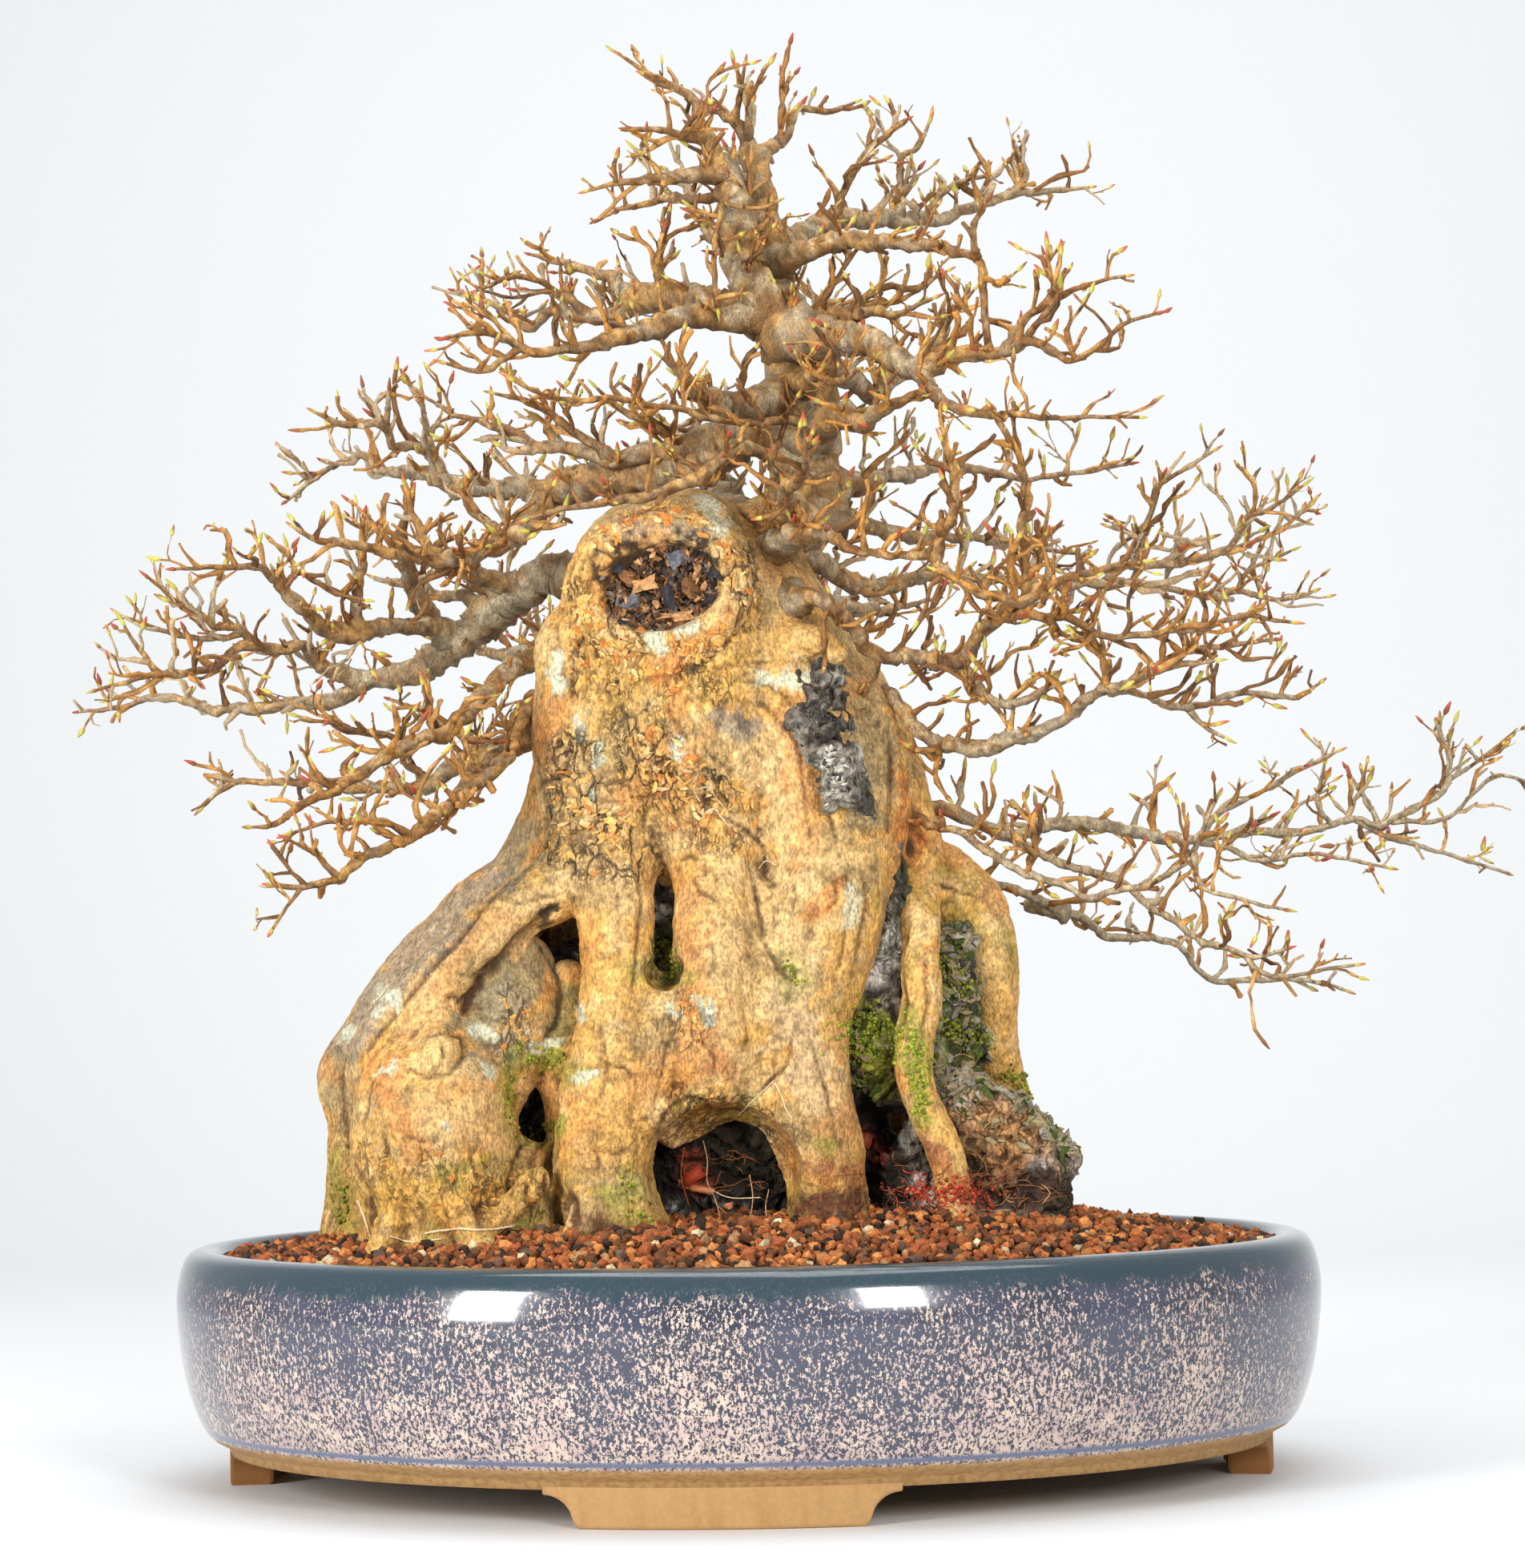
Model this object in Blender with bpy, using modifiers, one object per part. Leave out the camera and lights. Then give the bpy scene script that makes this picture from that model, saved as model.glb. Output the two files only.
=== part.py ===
"""A trident maple bonsai that clasps a rock, in an oval glazed pot.

Metres, +Z up, front towards -Y. The middle of the whole object's box, on the ground, is the origin.
Run it with: blender --background --python part.py
"""
import math
import random

import bmesh
import bpy
from mathutils import Matrix, Vector, noise

MM = 0.001

# The pot
POT_LENGTH = 460 * MM
POT_DEPTH = 375 * MM
POT_HEIGHT = 95 * MM
BASE_UNDERSIDE = 14 * MM
BASE_INSET = 21 * MM
FLOOR_TOP = 23 * MM
POT_SEGMENTS = 44
# Outside of the wall from the base to the lip, as (inset from the widest oval, height) in millimetres
WALL_OUTSIDE = ((21, 14), (20, 17), (12, 22), (6.5, 33), (2.6, 48), (0, 72), (2, 87), (6, 93.5), (12, 95))
# Inside of the wall from the lip to the floor
WALL_INSIDE = ((17.8, 92), (17.8, 84), (16, 50), (24, 26), (30, 23))

FOOT_THICKNESS = 17 * MM
FOOT_SCROLL = 12 * MM
SCROLL_RISE = 12 * MM
FOOT_OVERLAP = 4 * MM
FOOT_STEPS = 14
FRONT_FOOT_LENGTH = 131 * MM
SIDE_FOOT_LENGTH = 72 * MM

DRAIN_HOLE_RADIUS = 13 * MM
DRAIN_HOLE_X = 95 * MM
SCREEN_SIZE = 44 * MM
SCREEN_THICKNESS = 1.2 * MM
SCREEN_STRAND = 1.6 * MM
SCREEN_CELLS = 4
CLIP_WIRE_RADIUS = 0.8 * MM
CLIP_FOOT = 19 * MM
CLIP_BEND = 1.5 * MM

# Solids that touch keep this gap
GAP = 0.3 * MM
# How far the rough shapes are grown before they are cut from the wood and from the soil
WOOD_CLEARANCE = 0.6 * MM
SOIL_CLEARANCE = 0.7 * MM
ROOM_VOXEL = 2.5 * MM

# The soil's mound
SOIL_AT_WALL = 91 * MM
SOIL_MOUND = 15 * MM
SOIL_RINGS = 10
GRAIN_RELIEF = 2.4 * MM
GRAINS_PER_METRE = 260.0
MOUND_POWER = 2.4
# The grit is banked up against the stone
BANK_HEIGHT = 7 * MM
BANK_X = 90 * MM
BANK_SPREAD = 50 * MM
# Share of the soil's breadth in which the relief fades out at the wall
RELIEF_MARGIN = 0.125

# The eye from which the places below are read. A place is (across, up, depth, radius) in millimetres:
# across and up are where it shows on the plane through the pot's middle, and depth is how far behind
# that plane it truly lies.
EYE = Vector((0.107, -1.595, 0.194))

# Stone as chunks: middle, half sizes and lean about Y in degrees
ROCK_CHUNKS = (
    ((2, 185, 10), (52, 78, 33), 4),
    ((-8, 106, 20), (72, 40, 36), 0),
    ((-62, 178, 0), (20, 38, 24), -14),
    ((-84, 148, 26), (20, 30, 18), 0),
    ((36, 292, -16), (16, 38, 24), -12),
    ((58, 205, -2), (20, 62, 24), -12),
    ((85, 190, 4), (14, 32, 22), -8),
    ((98, 128, -6), (34, 24, 30), 38),
    ((92, 104, -4), (40, 26, 34), 0),
)

ROCK_VOXEL = 4 * MM
ROCK_TRIANGLES = 700
CHUNK_CORNER_PULL = 0.16
# The stone's crags as (how many in a metre, height)
ROCK_CRAGS = ((38.0, 5 * MM), (95.0, 2.4 * MM))

# Trunk and roots as strands that flow together
TRUNK_STRANDS = (
    # the old head and the columns under it
    ((-24, 352, 0, 48), (-22, 325, 0, 50)),
    ((-50, 330, -6, 32), (-51, 300, -6, 33), (-54, 270, -5, 30)),
    ((-20, 330, -4, 46), (-16, 300, -4, 47), (-14, 274, -3, 42)),
    ((6, 345, 0, 34), (16, 320, -3, 36), (28, 290, -5, 38), (34, 262, -6, 36)),
    ((-60, 332, -12, 23), (-60, 316, -12, 22)),
    ((10, 372, 4, 22), (26, 388, 5, 17), (31, 402, 5, 14)),
    # roots on the left, from the back to the front
    ((-62, 285, 4, 22), (-70, 262, 6, 21), (-86, 238, 8, 19), (-104, 226, 10, 18), (-116, 213, 12, 18),
     (-130, 199, 13, 18), (-146, 177, 14, 18), (-158, 161, 14, 17), (-157, 145, 12, 15),
     (-157, 125, 10, 14), (-158, 100, 10, 15), (-158, 78, 10, 17)),
    ((-60, 262, -22, 18), (-72, 241, -32, 14), (-91, 229, -37, 12), (-110, 213, -40, 12),
     (-128, 196, -40, 13), (-143, 179, -40, 14), (-150, 165, -38, 13)),
    ((-122, 170, -36, 24), (-126, 150, -42, 33), (-126, 128, -44, 34), (-124, 108, -42, 33),
     (-122, 84, -40, 34)),
    ((-125, 171, -60, 10), (-126, 168, -64, 9)),
    ((-92, 205, -22, 14), (-95, 188, -28, 18), (-100, 170, -32, 18), (-103, 154, -34, 14)),
    ((-90, 128, -34, 9), (-89, 116, -38, 12), (-90, 100, -42, 15), (-92, 80, -44, 18)),
    # the front leg left of the middle, with its toe
    ((-48, 264, -22, 22), (-52, 242, -32, 17), (-51, 222, -38, 15), (-50, 196, -41, 15),
     (-52, 170, -43, 18), (-56, 146, -45, 20), (-58, 120, -47, 20), (-52, 98, -50, 20),
     (-48, 78, -50, 22)),
    ((-50, 112, -48, 14), (-40, 97, -54, 12), (-33, 84, -56, 12)),
    # the front leg right of the middle, that ends over the dark cave
    ((-12, 264, -20, 26), (-9, 240, -32, 18), (-10, 215, -38, 18), (-11, 192, -40, 21),
     (-13, 170, -40, 22), (-17, 155, -36, 19), (-26, 148, -32, 16)),
    # the big right leg
    ((30, 262, -12, 32), (35, 240, -22, 26), (33, 221, -28, 25), (29, 201, -33, 21), (25, 182, -36, 18),
     (24, 162, -37, 19), (25, 143, -38, 20), (28, 127, -38, 20), (32, 112, -36, 17), (36, 84, -32, 16)),
    # the right shoulder and its two roots
    ((44, 322, 8, 13), (56, 298, 6, 14), (66, 270, 2, 13), (72, 248, 0, 12), (76, 232, 2, 14),
     (84, 225, 8, 15)),
    ((44, 322, -12, 10), (57, 298, -18, 10), (60, 273, -18, 11), (57, 252, -18, 11), (50, 232, -20, 12)),
    ((72, 240, -8, 10), (73, 222, -20, 9), (73, 207, -26, 8), (73, 190, -31, 8), (70, 174, -34, 8),
     (69, 161, -36, 7.5), (72, 149, -38, 7.5), (77, 138, -40, 7.5), (81, 128, -41, 7), (84, 117, -42, 7),
     (88, 84, -43, 8)),
    ((80, 240, 8, 14), (92, 228, 4, 14), (99, 214, 0, 12), (103, 198, 0, 9.5), (103, 180, 3, 9),
     (103, 165, 10, 10), (105, 145, 26, 12), (105, 115, 36, 13), (105, 82, 38, 14)),
    # the wall that closes the left side, over and beside its small hole
    ((-92, 176, -24, 14), (-80, 173, -26, 12), (-72, 166, -28, 10)),
    ((-76, 164, -26, 9), (-73, 142, -28, 8), (-74, 120, -30, 9)),
    # roots at the back
    ((-30, 300, 24, 28), (-56, 262, 34, 26), (-76, 226, 42, 20), (-98, 196, 48, 17), (-114, 164, 52, 18),
     (-122, 132, 56, 21), (-124, 104, 58, 22), (-126, 78, 58, 24)),
    ((-74, 228, 44, 15), (-66, 192, 60, 14), (-54, 160, 68, 15), (-48, 128, 72, 17), (-52, 102, 74, 17),
     (-56, 78, 76, 18)),
    ((0, 292, 24, 32), (6, 252, 38, 28), (-6, 214, 48, 19), (-14, 184, 56, 16), (-4, 152, 64, 18),
     (8, 122, 68, 20), (6, 98, 68, 20), (2, 78, 68, 23)),
    ((30, 284, 20, 28), (48, 248, 34, 24), (62, 214, 44, 17), (58, 184, 54, 15), (66, 154, 60, 16),
     (78, 124, 62, 18), (84, 98, 62, 18), (88, 78, 62, 19)),
    ((6, 252, 42, 14), (28, 222, 54, 13), (46, 200, 57, 12), (58, 184, 56, 12)),
)
TRUNK_VOXEL = 4 * MM
TRUNK_TRIANGLES = 2000

# The healed edge round the old cut on the head, and the hollow inside it
CUT_MIDDLE = (-31, 360, -40)
CUT_HALF_SIZES = (31, 25)
CUT_LEAN = -8
CALLUS_RADIUS = 8
CALLUS_KNOTS = 12
CRATER_HALF_SIZES = (24, 18, 17)

# Where wood is cut away: middle, half sizes and lean about Y in degrees
WOOD_HOLLOWS = (
    ((35, 297, -52), (11, 31, 17), -17),
    ((-6, 116, -66), (30, 32, 30), 14),
    ((-83, 148, -52), (7, 10, 18), 0),
    ((-32, 214, -50), (6, 14, 16), 6),
    ((-31, 205, -50), (8, 8, 16), 0),
)

# Limbs, each from inside the wood that bears it to its furthest tip
LIMBS = (
    # the leader and the top
    ((30, 385, 4, 14), (31, 415, 5, 12.5), (28, 440, 4, 12), (22, 460, 2, 11), (11, 478, 0, 9),
     (6, 495, -2, 8), (4, 512, -3, 7), (0, 528, -4, 6.5), (-6, 540, -6, 5), (-11, 550, -8, 4),
     (-14, 560, -10, 3), (-29, 570, -12, 2), (-42, 579, -14, 1)),
    ((29, 458, 8, 7), (25, 476, 11, 6), (17, 494, 12, 6.5), (15, 512, 12, 6.5), (13, 530, 12, 6),
     (8, 544, 12, 4.5), (0, 553, 12, 3.5), (-9, 557, 12, 2)),
    ((12, 534, 12, 4), (21, 541, 16, 3.5), (26, 548, 18, 3), (29, 554, 20, 2.5), (42, 553, 24, 2),
     (53, 557, 27, 1)),
    ((10, 544, 10, 2.5), (10, 558, 6, 2), (15, 570, 3, 1.4)),
    ((3, 552, 10, 2.2), (6, 562, 8, 1.6), (8, 573, 6, 1)),
    ((-8, 545, -6, 3.5), (-22, 547, -12, 2.2), (-39, 549, -18, 1.2)),
    ((-3, 530, -3, 5), (-18, 529, -8, 4), (-32, 528, -14, 3), (-42, 527, -18, 2), (-57, 524, -22, 1)),
    ((-2, 519, 2, 3.5), (-18, 521, 8, 3), (-30, 519, 12, 2.5), (-44, 516, 18, 1.6), (-53, 512, 22, 1)),
    ((-4, 522, -6, 2.4), (-5, 505, -14, 1.8), (-6, 490, -16, 1.8), (-5, 474, -14, 2)),
    # high on the right
    ((16, 500, 12, 6.5), (30, 502, 22, 6), (42, 507, 30, 5.5), (56, 507, 38, 5), (70, 508, 44, 4.5),
     (85, 507, 50, 4), (97, 511, 54, 3.5), (108, 515, 58, 3), (119, 518, 62, 2.6), (132, 517, 66, 2),
     (148, 519, 70, 1)),
    ((117, 517, 62, 2.4), (122, 527, 65, 2), (118, 538, 66, 1)),
    ((42, 506, 30, 3.2), (48, 520, 26, 2.6), (55, 533, 22, 2.2), (64, 543, 18, 2), (74, 549, 14, 1.6)),
    ((70, 507, 44, 3), (70, 522, 48, 2.6), (71, 533, 50, 2.2), (78, 537, 46, 1.6), (83, 547, 44, 1)),
    ((80, 508, 48, 2.4), (88, 518, 54, 2), (94, 522, 58, 1.8), (107, 525, 62, 1)),
    ((20, 494, 4, 6), (33, 498, -6, 5.5), (45, 500, -14, 5), (60, 499, -22, 4.5), (75, 498, -30, 4),
     (90, 495, -36, 3.2), (101, 492, -40, 2.8), (104, 482, -42, 2.6), (104, 468, -42, 2.6),
     (106, 453, -41, 2.6)),
    ((101, 492, -40, 2.2), (101, 503, -44, 2), (106, 514, -48, 1.4)),
    # the middle right
    ((32, 465, -4, 9), (45, 460, -16, 7), (56, 458, -24, 6.5), (66, 452, -32, 6), (76, 446, -38, 5.5),
     (88, 451, -40, 4.5), (100, 453, -42, 4), (112, 453, -44, 3.5), (124, 456, -48, 3),
     (131, 453, -50, 2.6), (139, 448, -54, 2.2), (149, 452, -58, 1.8), (161, 462, -62, 1.4),
     (173, 466, -66, 1)),
    ((113, 454, -44, 2.6), (122, 467, -46, 2.4), (131, 476, -48, 2.2), (135, 489, -50, 1)),
    ((119, 455, -46, 2.4), (130, 468, -50, 2.2), (138, 476, -54, 2), (150, 480, -58, 1.6),
     (162, 482, -62, 1)),
    ((84, 449, -39, 3), (88, 462, -34, 2.4), (94, 471, -32, 1.8), (100, 478, -30, 1)),
    ((76, 446, -38, 4), (82, 438, -44, 4), (88, 431, -50, 3.4), (100, 428, -56, 2.6), (116, 426, -62, 2),
     (134, 425, -68, 1.6), (166, 424, -80, 1)),
    ((38, 450, 8, 6), (50, 444, 16, 5.5), (58, 437, 22, 5), (66, 441, 28, 4), (76, 449, 34, 4),
     (87, 458, 38, 3), (93, 472, 42, 1.2)),
    ((28, 472, 4, 5), (38, 470, -4, 4), (50, 469, -14, 4), (60, 470, -22, 3), (70, 470, -28, 1.8),
     (83, 475, -34, 1)),
    ((48, 470, -12, 3), (56, 478, -8, 2.6), (66, 481, -6, 2.2), (78, 481, -4, 2), (89, 486, -2, 1)),
    ((32, 423, -6, 7), (44, 428, -20, 6), (52, 425, -28, 5), (60, 428, -36, 4), (70, 432, -44, 3.2),
     (78, 438, -50, 1.6)),
    # high on the left
    ((12, 470, 2, 8), (-5, 474, 2, 6.5), (-16, 479, 4, 6), (-28, 478, 8, 7), (-39, 477, 12, 6.5),
     (-49, 472, 16, 4.5), (-62, 472, 22, 4), (-73, 473, 27, 3.2), (-83, 468, 32, 3), (-91, 474, 36, 2.2),
     (-99, 479, 40, 2), (-113, 484, 46, 1)),
    ((-28, 477, 8, 4), (-29, 490, 4, 3), (-27, 502, 0, 2.6), (-24, 514, -4, 1.8)),
    ((-39, 476, 12, 5), (-48, 487, 16, 4), (-58, 492, 20, 3), (-70, 495, 24, 2.4), (-81, 498, 28, 1.2)),
    ((-58, 472, 20, 3), (-68, 479, 16, 2.6), (-75, 486, 12, 2.2), (-86, 490, 8, 1.8), (-106, 483, 0, 1)),
    ((12, 466, -4, 6), (-14, 470, -14, 5.5), (-28, 467, -20, 5.5), (-42, 464, -26, 5), (-55, 460, -32, 4),
     (-70, 458, -38, 3.2), (-80, 457, -42, 3), (-91, 463, -48, 2.6), (-103, 467, -54, 2),
     (-115, 465, -60, 1)),
    ((-86, 460, -46, 2.2), (-96, 454, -50, 2), (-103, 451, -54, 1.8), (-117, 454, -60, 1)),
    ((26, 438, -2, 8), (8, 434, -12, 6.5), (-7, 434, -20, 6), (-16, 440, -26, 4.5), (-20, 448, -30, 3.2),
     (-28, 454, -34, 1.4)),
    # the strong middle left limb and what it bears
    ((28, 424, 2, 10), (10, 424, 2, 8.5), (-4, 417, 4, 8.5), (-18, 408, 6, 9), (-35, 405, 8, 8),
     (-52, 404, 12, 7.5), (-64, 402, 16, 7.5), (-76, 400, 20, 6.5), (-88, 402, 24, 5.5),
     (-100, 402, 28, 5), (-112, 403, 33, 5), (-122, 406, 38, 4.5), (-132, 409, 42, 4),
     (-143, 410, 48, 3.2), (-150, 416, 52, 2.6), (-158, 416, 56, 2.2), (-168, 410, 60, 2),
     (-184, 399, 66, 1)),
    ((-120, 405, 37, 4), (-124, 415, 34, 3.5), (-128, 420, 30, 3), (-140, 421, 26, 3),
     (-144, 429, 22, 2.8), (-158, 430, 16, 2.4), (-171, 435, 10, 1)),
    ((-124, 415, 34, 3), (-125, 427, 38, 2.6), (-127, 437, 42, 1.8), (-134, 448, 46, 1)),
    ((-143, 428, 22, 2.2), (-141, 443, 20, 1.6)),
    ((-12, 428, -2, 6), (-20, 421, 0, 5.5), (-34, 415, 2, 5), (-48, 411, 4, 5), (-62, 417, 8, 4),
     (-80, 419, 14, 3.2), (-93, 425, 18, 2.6), (-104, 431, 22, 2), (-116, 434, 26, 1.6),
     (-133, 446, 32, 1)),
    ((-46, 411, 4, 4), (-60, 421, 0, 3), (-70, 429, -4, 2.6), (-80, 436, -8, 2.2), (-97, 441, -12, 1)),
    ((-18, 422, -4, 3), (-34, 427, -12, 2.6), (-46, 433, -18, 2), (-55, 442, -24, 1)),
    ((26, 430, -10, 3.5), (8, 426, -24, 2.2), (-8, 428, -32, 2), (-20, 432, -38, 2), (-34, 434, -44, 1.9),
     (-46, 438, -50, 1.8), (-62, 437, -56, 1.6), (-78, 440, -62, 1.4), (-89, 446, -66, 1)),
    ((28, 398, -12, 6), (14, 413, -22, 4), (3, 415, -28, 3.8), (-8, 407, -34, 3.8), (-20, 401, -38, 3.6),
     (-36, 397, -44, 3.2), (-50, 395, -50, 2.6), (-64, 394, -55, 2), (-84, 389, -60, 1)),
    ((-76, 402, 20, 6), (-80, 392, 14, 5.5), (-87, 385, 8, 5.5), (-94, 380, 2, 5.5), (-103, 376, -4, 5),
     (-112, 373, -10, 5), (-122, 373, -16, 4), (-134, 376, -22, 3.6), (-146, 378, -28, 3),
     (-160, 380, -34, 2.6), (-171, 382, -40, 2), (-181, 388, -44, 1)),
    ((-94, 380, 2, 3.5), (-102, 388, 8, 3), (-109, 394, 12, 2.6), (-111, 402, 16, 1.6)),
    ((-113, 373, -10, 3.5), (-121, 377, -6, 3), (-127, 382, -2, 3), (-132, 391, 2, 2.8),
     (-132, 403, 6, 1.4)),
    # the grey left limb and what it bears
    ((-50, 364, 18, 9), (-77, 365, 28, 8), (-91, 358, 32, 8), (-98, 351, 34, 8), (-108, 344, 36, 7.5),
     (-118, 337, 38, 7), (-130, 328, 40, 6.5), (-143, 326, 42, 5.5), (-154, 324, 44, 5),
     (-164, 318, 46, 4.5), (-178, 316, 48, 4), (-198, 314, 52, 3.6), (-218, 315, 56, 3),
     (-237, 318, 60, 2.5), (-255, 316, 64, 1.8), (-271, 314, 68, 1)),
    ((-153, 324, 44, 4.5), (-166, 327, 38, 4.5), (-173, 331, 34, 4), (-177, 338, 30, 3.6),
     (-188, 339, 26, 3.4), (-198, 340, 22, 3.2), (-208, 336, 18, 2.8), (-219, 331, 14, 2.6),
     (-232, 329, 10, 2.4), (-244, 328, 6, 2), (-263, 323, 2, 1)),
    ((-198, 340, 22, 2.6), (-205, 346, 18, 2.4), (-214, 347, 14, 2.2), (-220, 353, 10, 2),
     (-231, 360, 6, 1.6), (-241, 368, 2, 1)),
    ((-204, 345, 18, 2.2), (-216, 343, 22, 2), (-228, 344, 26, 1.8), (-250, 352, 30, 1)),
    ((-238, 329, 8, 2), (-245, 337, 10, 1.8), (-252, 349, 12, 1)),
    ((-116, 338, 38, 6), (-124, 348, 30, 5), (-131, 360, 24, 5), (-133, 370, 18, 4.5), (-136, 378, 12, 4),
     (-134, 390, 8, 3), (-132, 400, 4, 1.4)),
    ((-123, 347, 31, 4.5), (-134, 346, 22, 4.5), (-146, 346, 16, 4.5), (-156, 344, 10, 5),
     (-166, 345, 4, 5), (-174, 350, -2, 4.2), (-180, 354, -6, 4), (-185, 361, -10, 3.6),
     (-190, 368, -14, 3), (-196, 372, -18, 2.4), (-210, 373, -24, 2), (-230, 372, -30, 1)),
    ((-155, 343, 10, 4), (-155, 360, 6, 3.2), (-153, 370, 2, 2.6), (-151, 391, -2, 1)),
    ((-187, 363, -11, 2.4), (-179, 369, -6, 2), (-165, 361, 0, 2), (-154, 356, 6, 2)),
    ((-86, 361, 31, 5), (-99, 363, 26, 5), (-107, 366, 20, 4.5), (-115, 371, 12, 4)),
    ((-102, 349, 34, 4), (-110, 356, 40, 4), (-118, 358, 46, 3.5), (-128, 361, 52, 3),
     (-142, 364, 58, 1.4)),
    # the three lower left limbs
    ((-58, 334, 12, 8), (-84, 331, 4, 5.5), (-97, 323, -8, 5), (-103, 317, -14, 4.5),
     (-110, 310, -20, 4.5), (-120, 302, -28, 4), (-133, 298, -38, 3.8), (-146, 292, -48, 3.6),
     (-155, 285, -55, 3.4), (-163, 281, -60, 3.2), (-173, 276, -64, 2.6), (-182, 270, -68, 2.2),
     (-190, 265, -72, 1.8), (-200, 265, -76, 1)),
    ((-66, 314, 0, 7), (-84, 302, 2, 7), (-95, 296, 4, 6), (-104, 293, 6, 5.5), (-114, 289, 8, 5),
     (-124, 283, 10, 4.5), (-134, 280, 12, 4), (-146, 280, 14, 3.6), (-160, 280, 16, 3.2),
     (-174, 283, 18, 2.8), (-188, 283, 20, 2.4), (-204, 283, 22, 2), (-212, 281, 24, 1.6),
     (-220, 274, 26, 1)),
    ((-104, 292, 6, 3.5), (-112, 300, 14, 3), (-120, 306, 22, 2.8), (-130, 312, 30, 2.2),
     (-142, 316, 38, 1)),
    ((-127, 282, 11, 3), (-136, 291, 4, 2.6), (-140, 300, -2, 2.2), (-152, 303, -8, 1.8),
     (-180, 310, -20, 1)),
    ((-58, 318, 6, 7), (-84, 311, -4, 5), (-90, 300, -14, 4.5), (-96, 291, -22, 4), (-104, 284, -32, 4),
     (-112, 277, -42, 4), (-118, 271, -48, 3.8), (-126, 266, -56, 3.6), (-135, 260, -62, 3.4),
     (-148, 255, -70, 3.2), (-158, 249, -74, 2.8), (-167, 243, -78, 2.4), (-178, 240, -82, 2),
     (-192, 241, -88, 1.2)),
    ((-133, 260, -64, 2.2), (-147, 266, -68, 2), (-160, 267, -72, 1.8), (-170, 266, -76, 1.5),
     (-184, 262, -80, 1)),
    ((-165, 244, -76, 1.8), (-173, 252, -80, 1.4), (-184, 259, -84, 1)),
    ((-180, 240, -84, 1.5), (-186, 232, -88, 1.2), (-192, 223, -92, 1)),
    ((-92, 296, -17, 4), (-104, 289, -16, 3.5), (-112, 281, -18, 3), (-119, 273, -20, 2.6),
     (-126, 269, -22, 1.6)),
    # the ridged front limb on the right
    ((10, 372, 0, 9), (24, 378, -24, 6), (34, 380, -42, 4), (48, 374, -52, 2.8), (62, 370, -60, 2.5),
     (76, 370, -66, 2.6), (82, 368, -70, 3), (90, 361, -74, 2.6), (99, 355, -78, 2.8), (108, 351, -82, 3),
     (116, 350, -86, 3), (126, 354, -90, 2.6), (136, 360, -94, 2.4), (149, 362, -98, 2),
     (166, 365, -102, 1)),
    ((81, 368, -70, 3), (85, 378, -74, 3), (90, 389, -78, 2.8), (90, 404, -82, 2.4), (86, 416, -86, 1.2)),
    # grey limbs behind it, from the top down
    ((32, 396, 6, 7), (52, 400, 16, 5), (64, 402, 26, 4.4), (76, 405, 36, 4), (90, 406, 46, 3),
     (104, 403, 56, 2.4), (120, 400, 66, 2), (140, 402, 76, 1.6), (161, 405, 84, 1)),
    ((26, 384, 8, 7), (46, 386, 22, 5), (58, 382, 32, 4.5), (72, 376, 42, 4), (88, 378, 52, 3),
     (104, 376, 62, 2.4), (122, 372, 72, 2), (143, 368, 82, 1)),
    ((16, 374, -2, 8), (30, 370, 0, 5), (39, 365, 6, 5), (49, 359, 12, 5), (60, 356, 20, 4.5),
     (74, 360, 28, 4), (88, 362, 34, 3.6), (104, 360, 40, 3.2), (118, 357, 46, 3), (134, 356, 52, 2.8),
     (150, 356, 58, 2.5), (163, 357, 62, 2.4), (181, 352, 70, 2.2), (192, 350, 74, 2), (204, 352, 78, 2),
     (215, 349, 82, 1.8), (225, 348, 86, 1.6), (234, 351, 90, 1)),
    ((148, 356, 57, 2.6), (163, 366, 54, 2.4), (168, 378, 50, 2.2), (172, 394, 46, 2),
     (180, 400, 42, 1.8), (195, 409, 38, 1)),
    ((161, 364, 55, 2.2), (176, 363, 58, 2.4), (188, 365, 54, 2.2), (198, 368, 50, 2.2),
     (205, 375, 46, 2), (209, 383, 42, 1.8), (218, 385, 38, 1.6), (231, 394, 34, 1)),
    ((197, 368, 50, 1.8), (211, 372, 54, 1.6), (224, 378, 58, 1.4), (235, 388, 62, 1)),
    ((205, 352, 78, 1.6), (209, 360, 74, 1.4), (226, 368, 70, 1)),
    ((22, 352, -16, 7), (32, 354, -26, 4.2), (41, 349, -28, 4), (48, 341, -28, 4), (54, 331, -26, 4),
     (62, 327, -24, 4), (76, 328, -20, 4.2), (92, 322, -24, 4), (100, 314, -30, 3), (110, 309, -36, 2.6),
     (121, 312, -42, 2.2), (134, 317, -48, 1)),
    ((80, 328, -20, 4), (93, 328, -26, 4.2), (100, 338, -36, 3.8), (108, 344, -44, 3.6),
     (118, 352, -50, 3.2), (118, 368, -52, 3), (118, 380, -54, 2.8), (119, 400, -58, 2.4),
     (114, 414, -62, 2), (106, 429, -66, 1)),
    ((107, 344, -44, 3), (118, 345, -52, 2.8), (128, 343, -58, 2.6), (138, 341, -62, 2.4),
     (149, 336, -66, 2.2), (160, 334, -70, 2.2), (174, 336, -74, 2), (190, 338, -78, 1.8),
     (204, 342, -82, 1.6), (225, 339, -90, 1)),
    # the low curve on the right
    ((36, 326, 2, 8), (51, 320, -6, 5), (58, 316, -10, 4.4), (65, 311, -14, 4.2), (71, 302, -18, 4),
     (80, 295, -22, 4), (91, 292, -26, 4.4), (103, 291, -30, 4.6), (114, 295, -34, 4),
     (125, 298, -38, 3.6), (134, 303, -42, 3.4), (143, 309, -46, 3.2), (151, 313, -50, 3),
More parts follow.
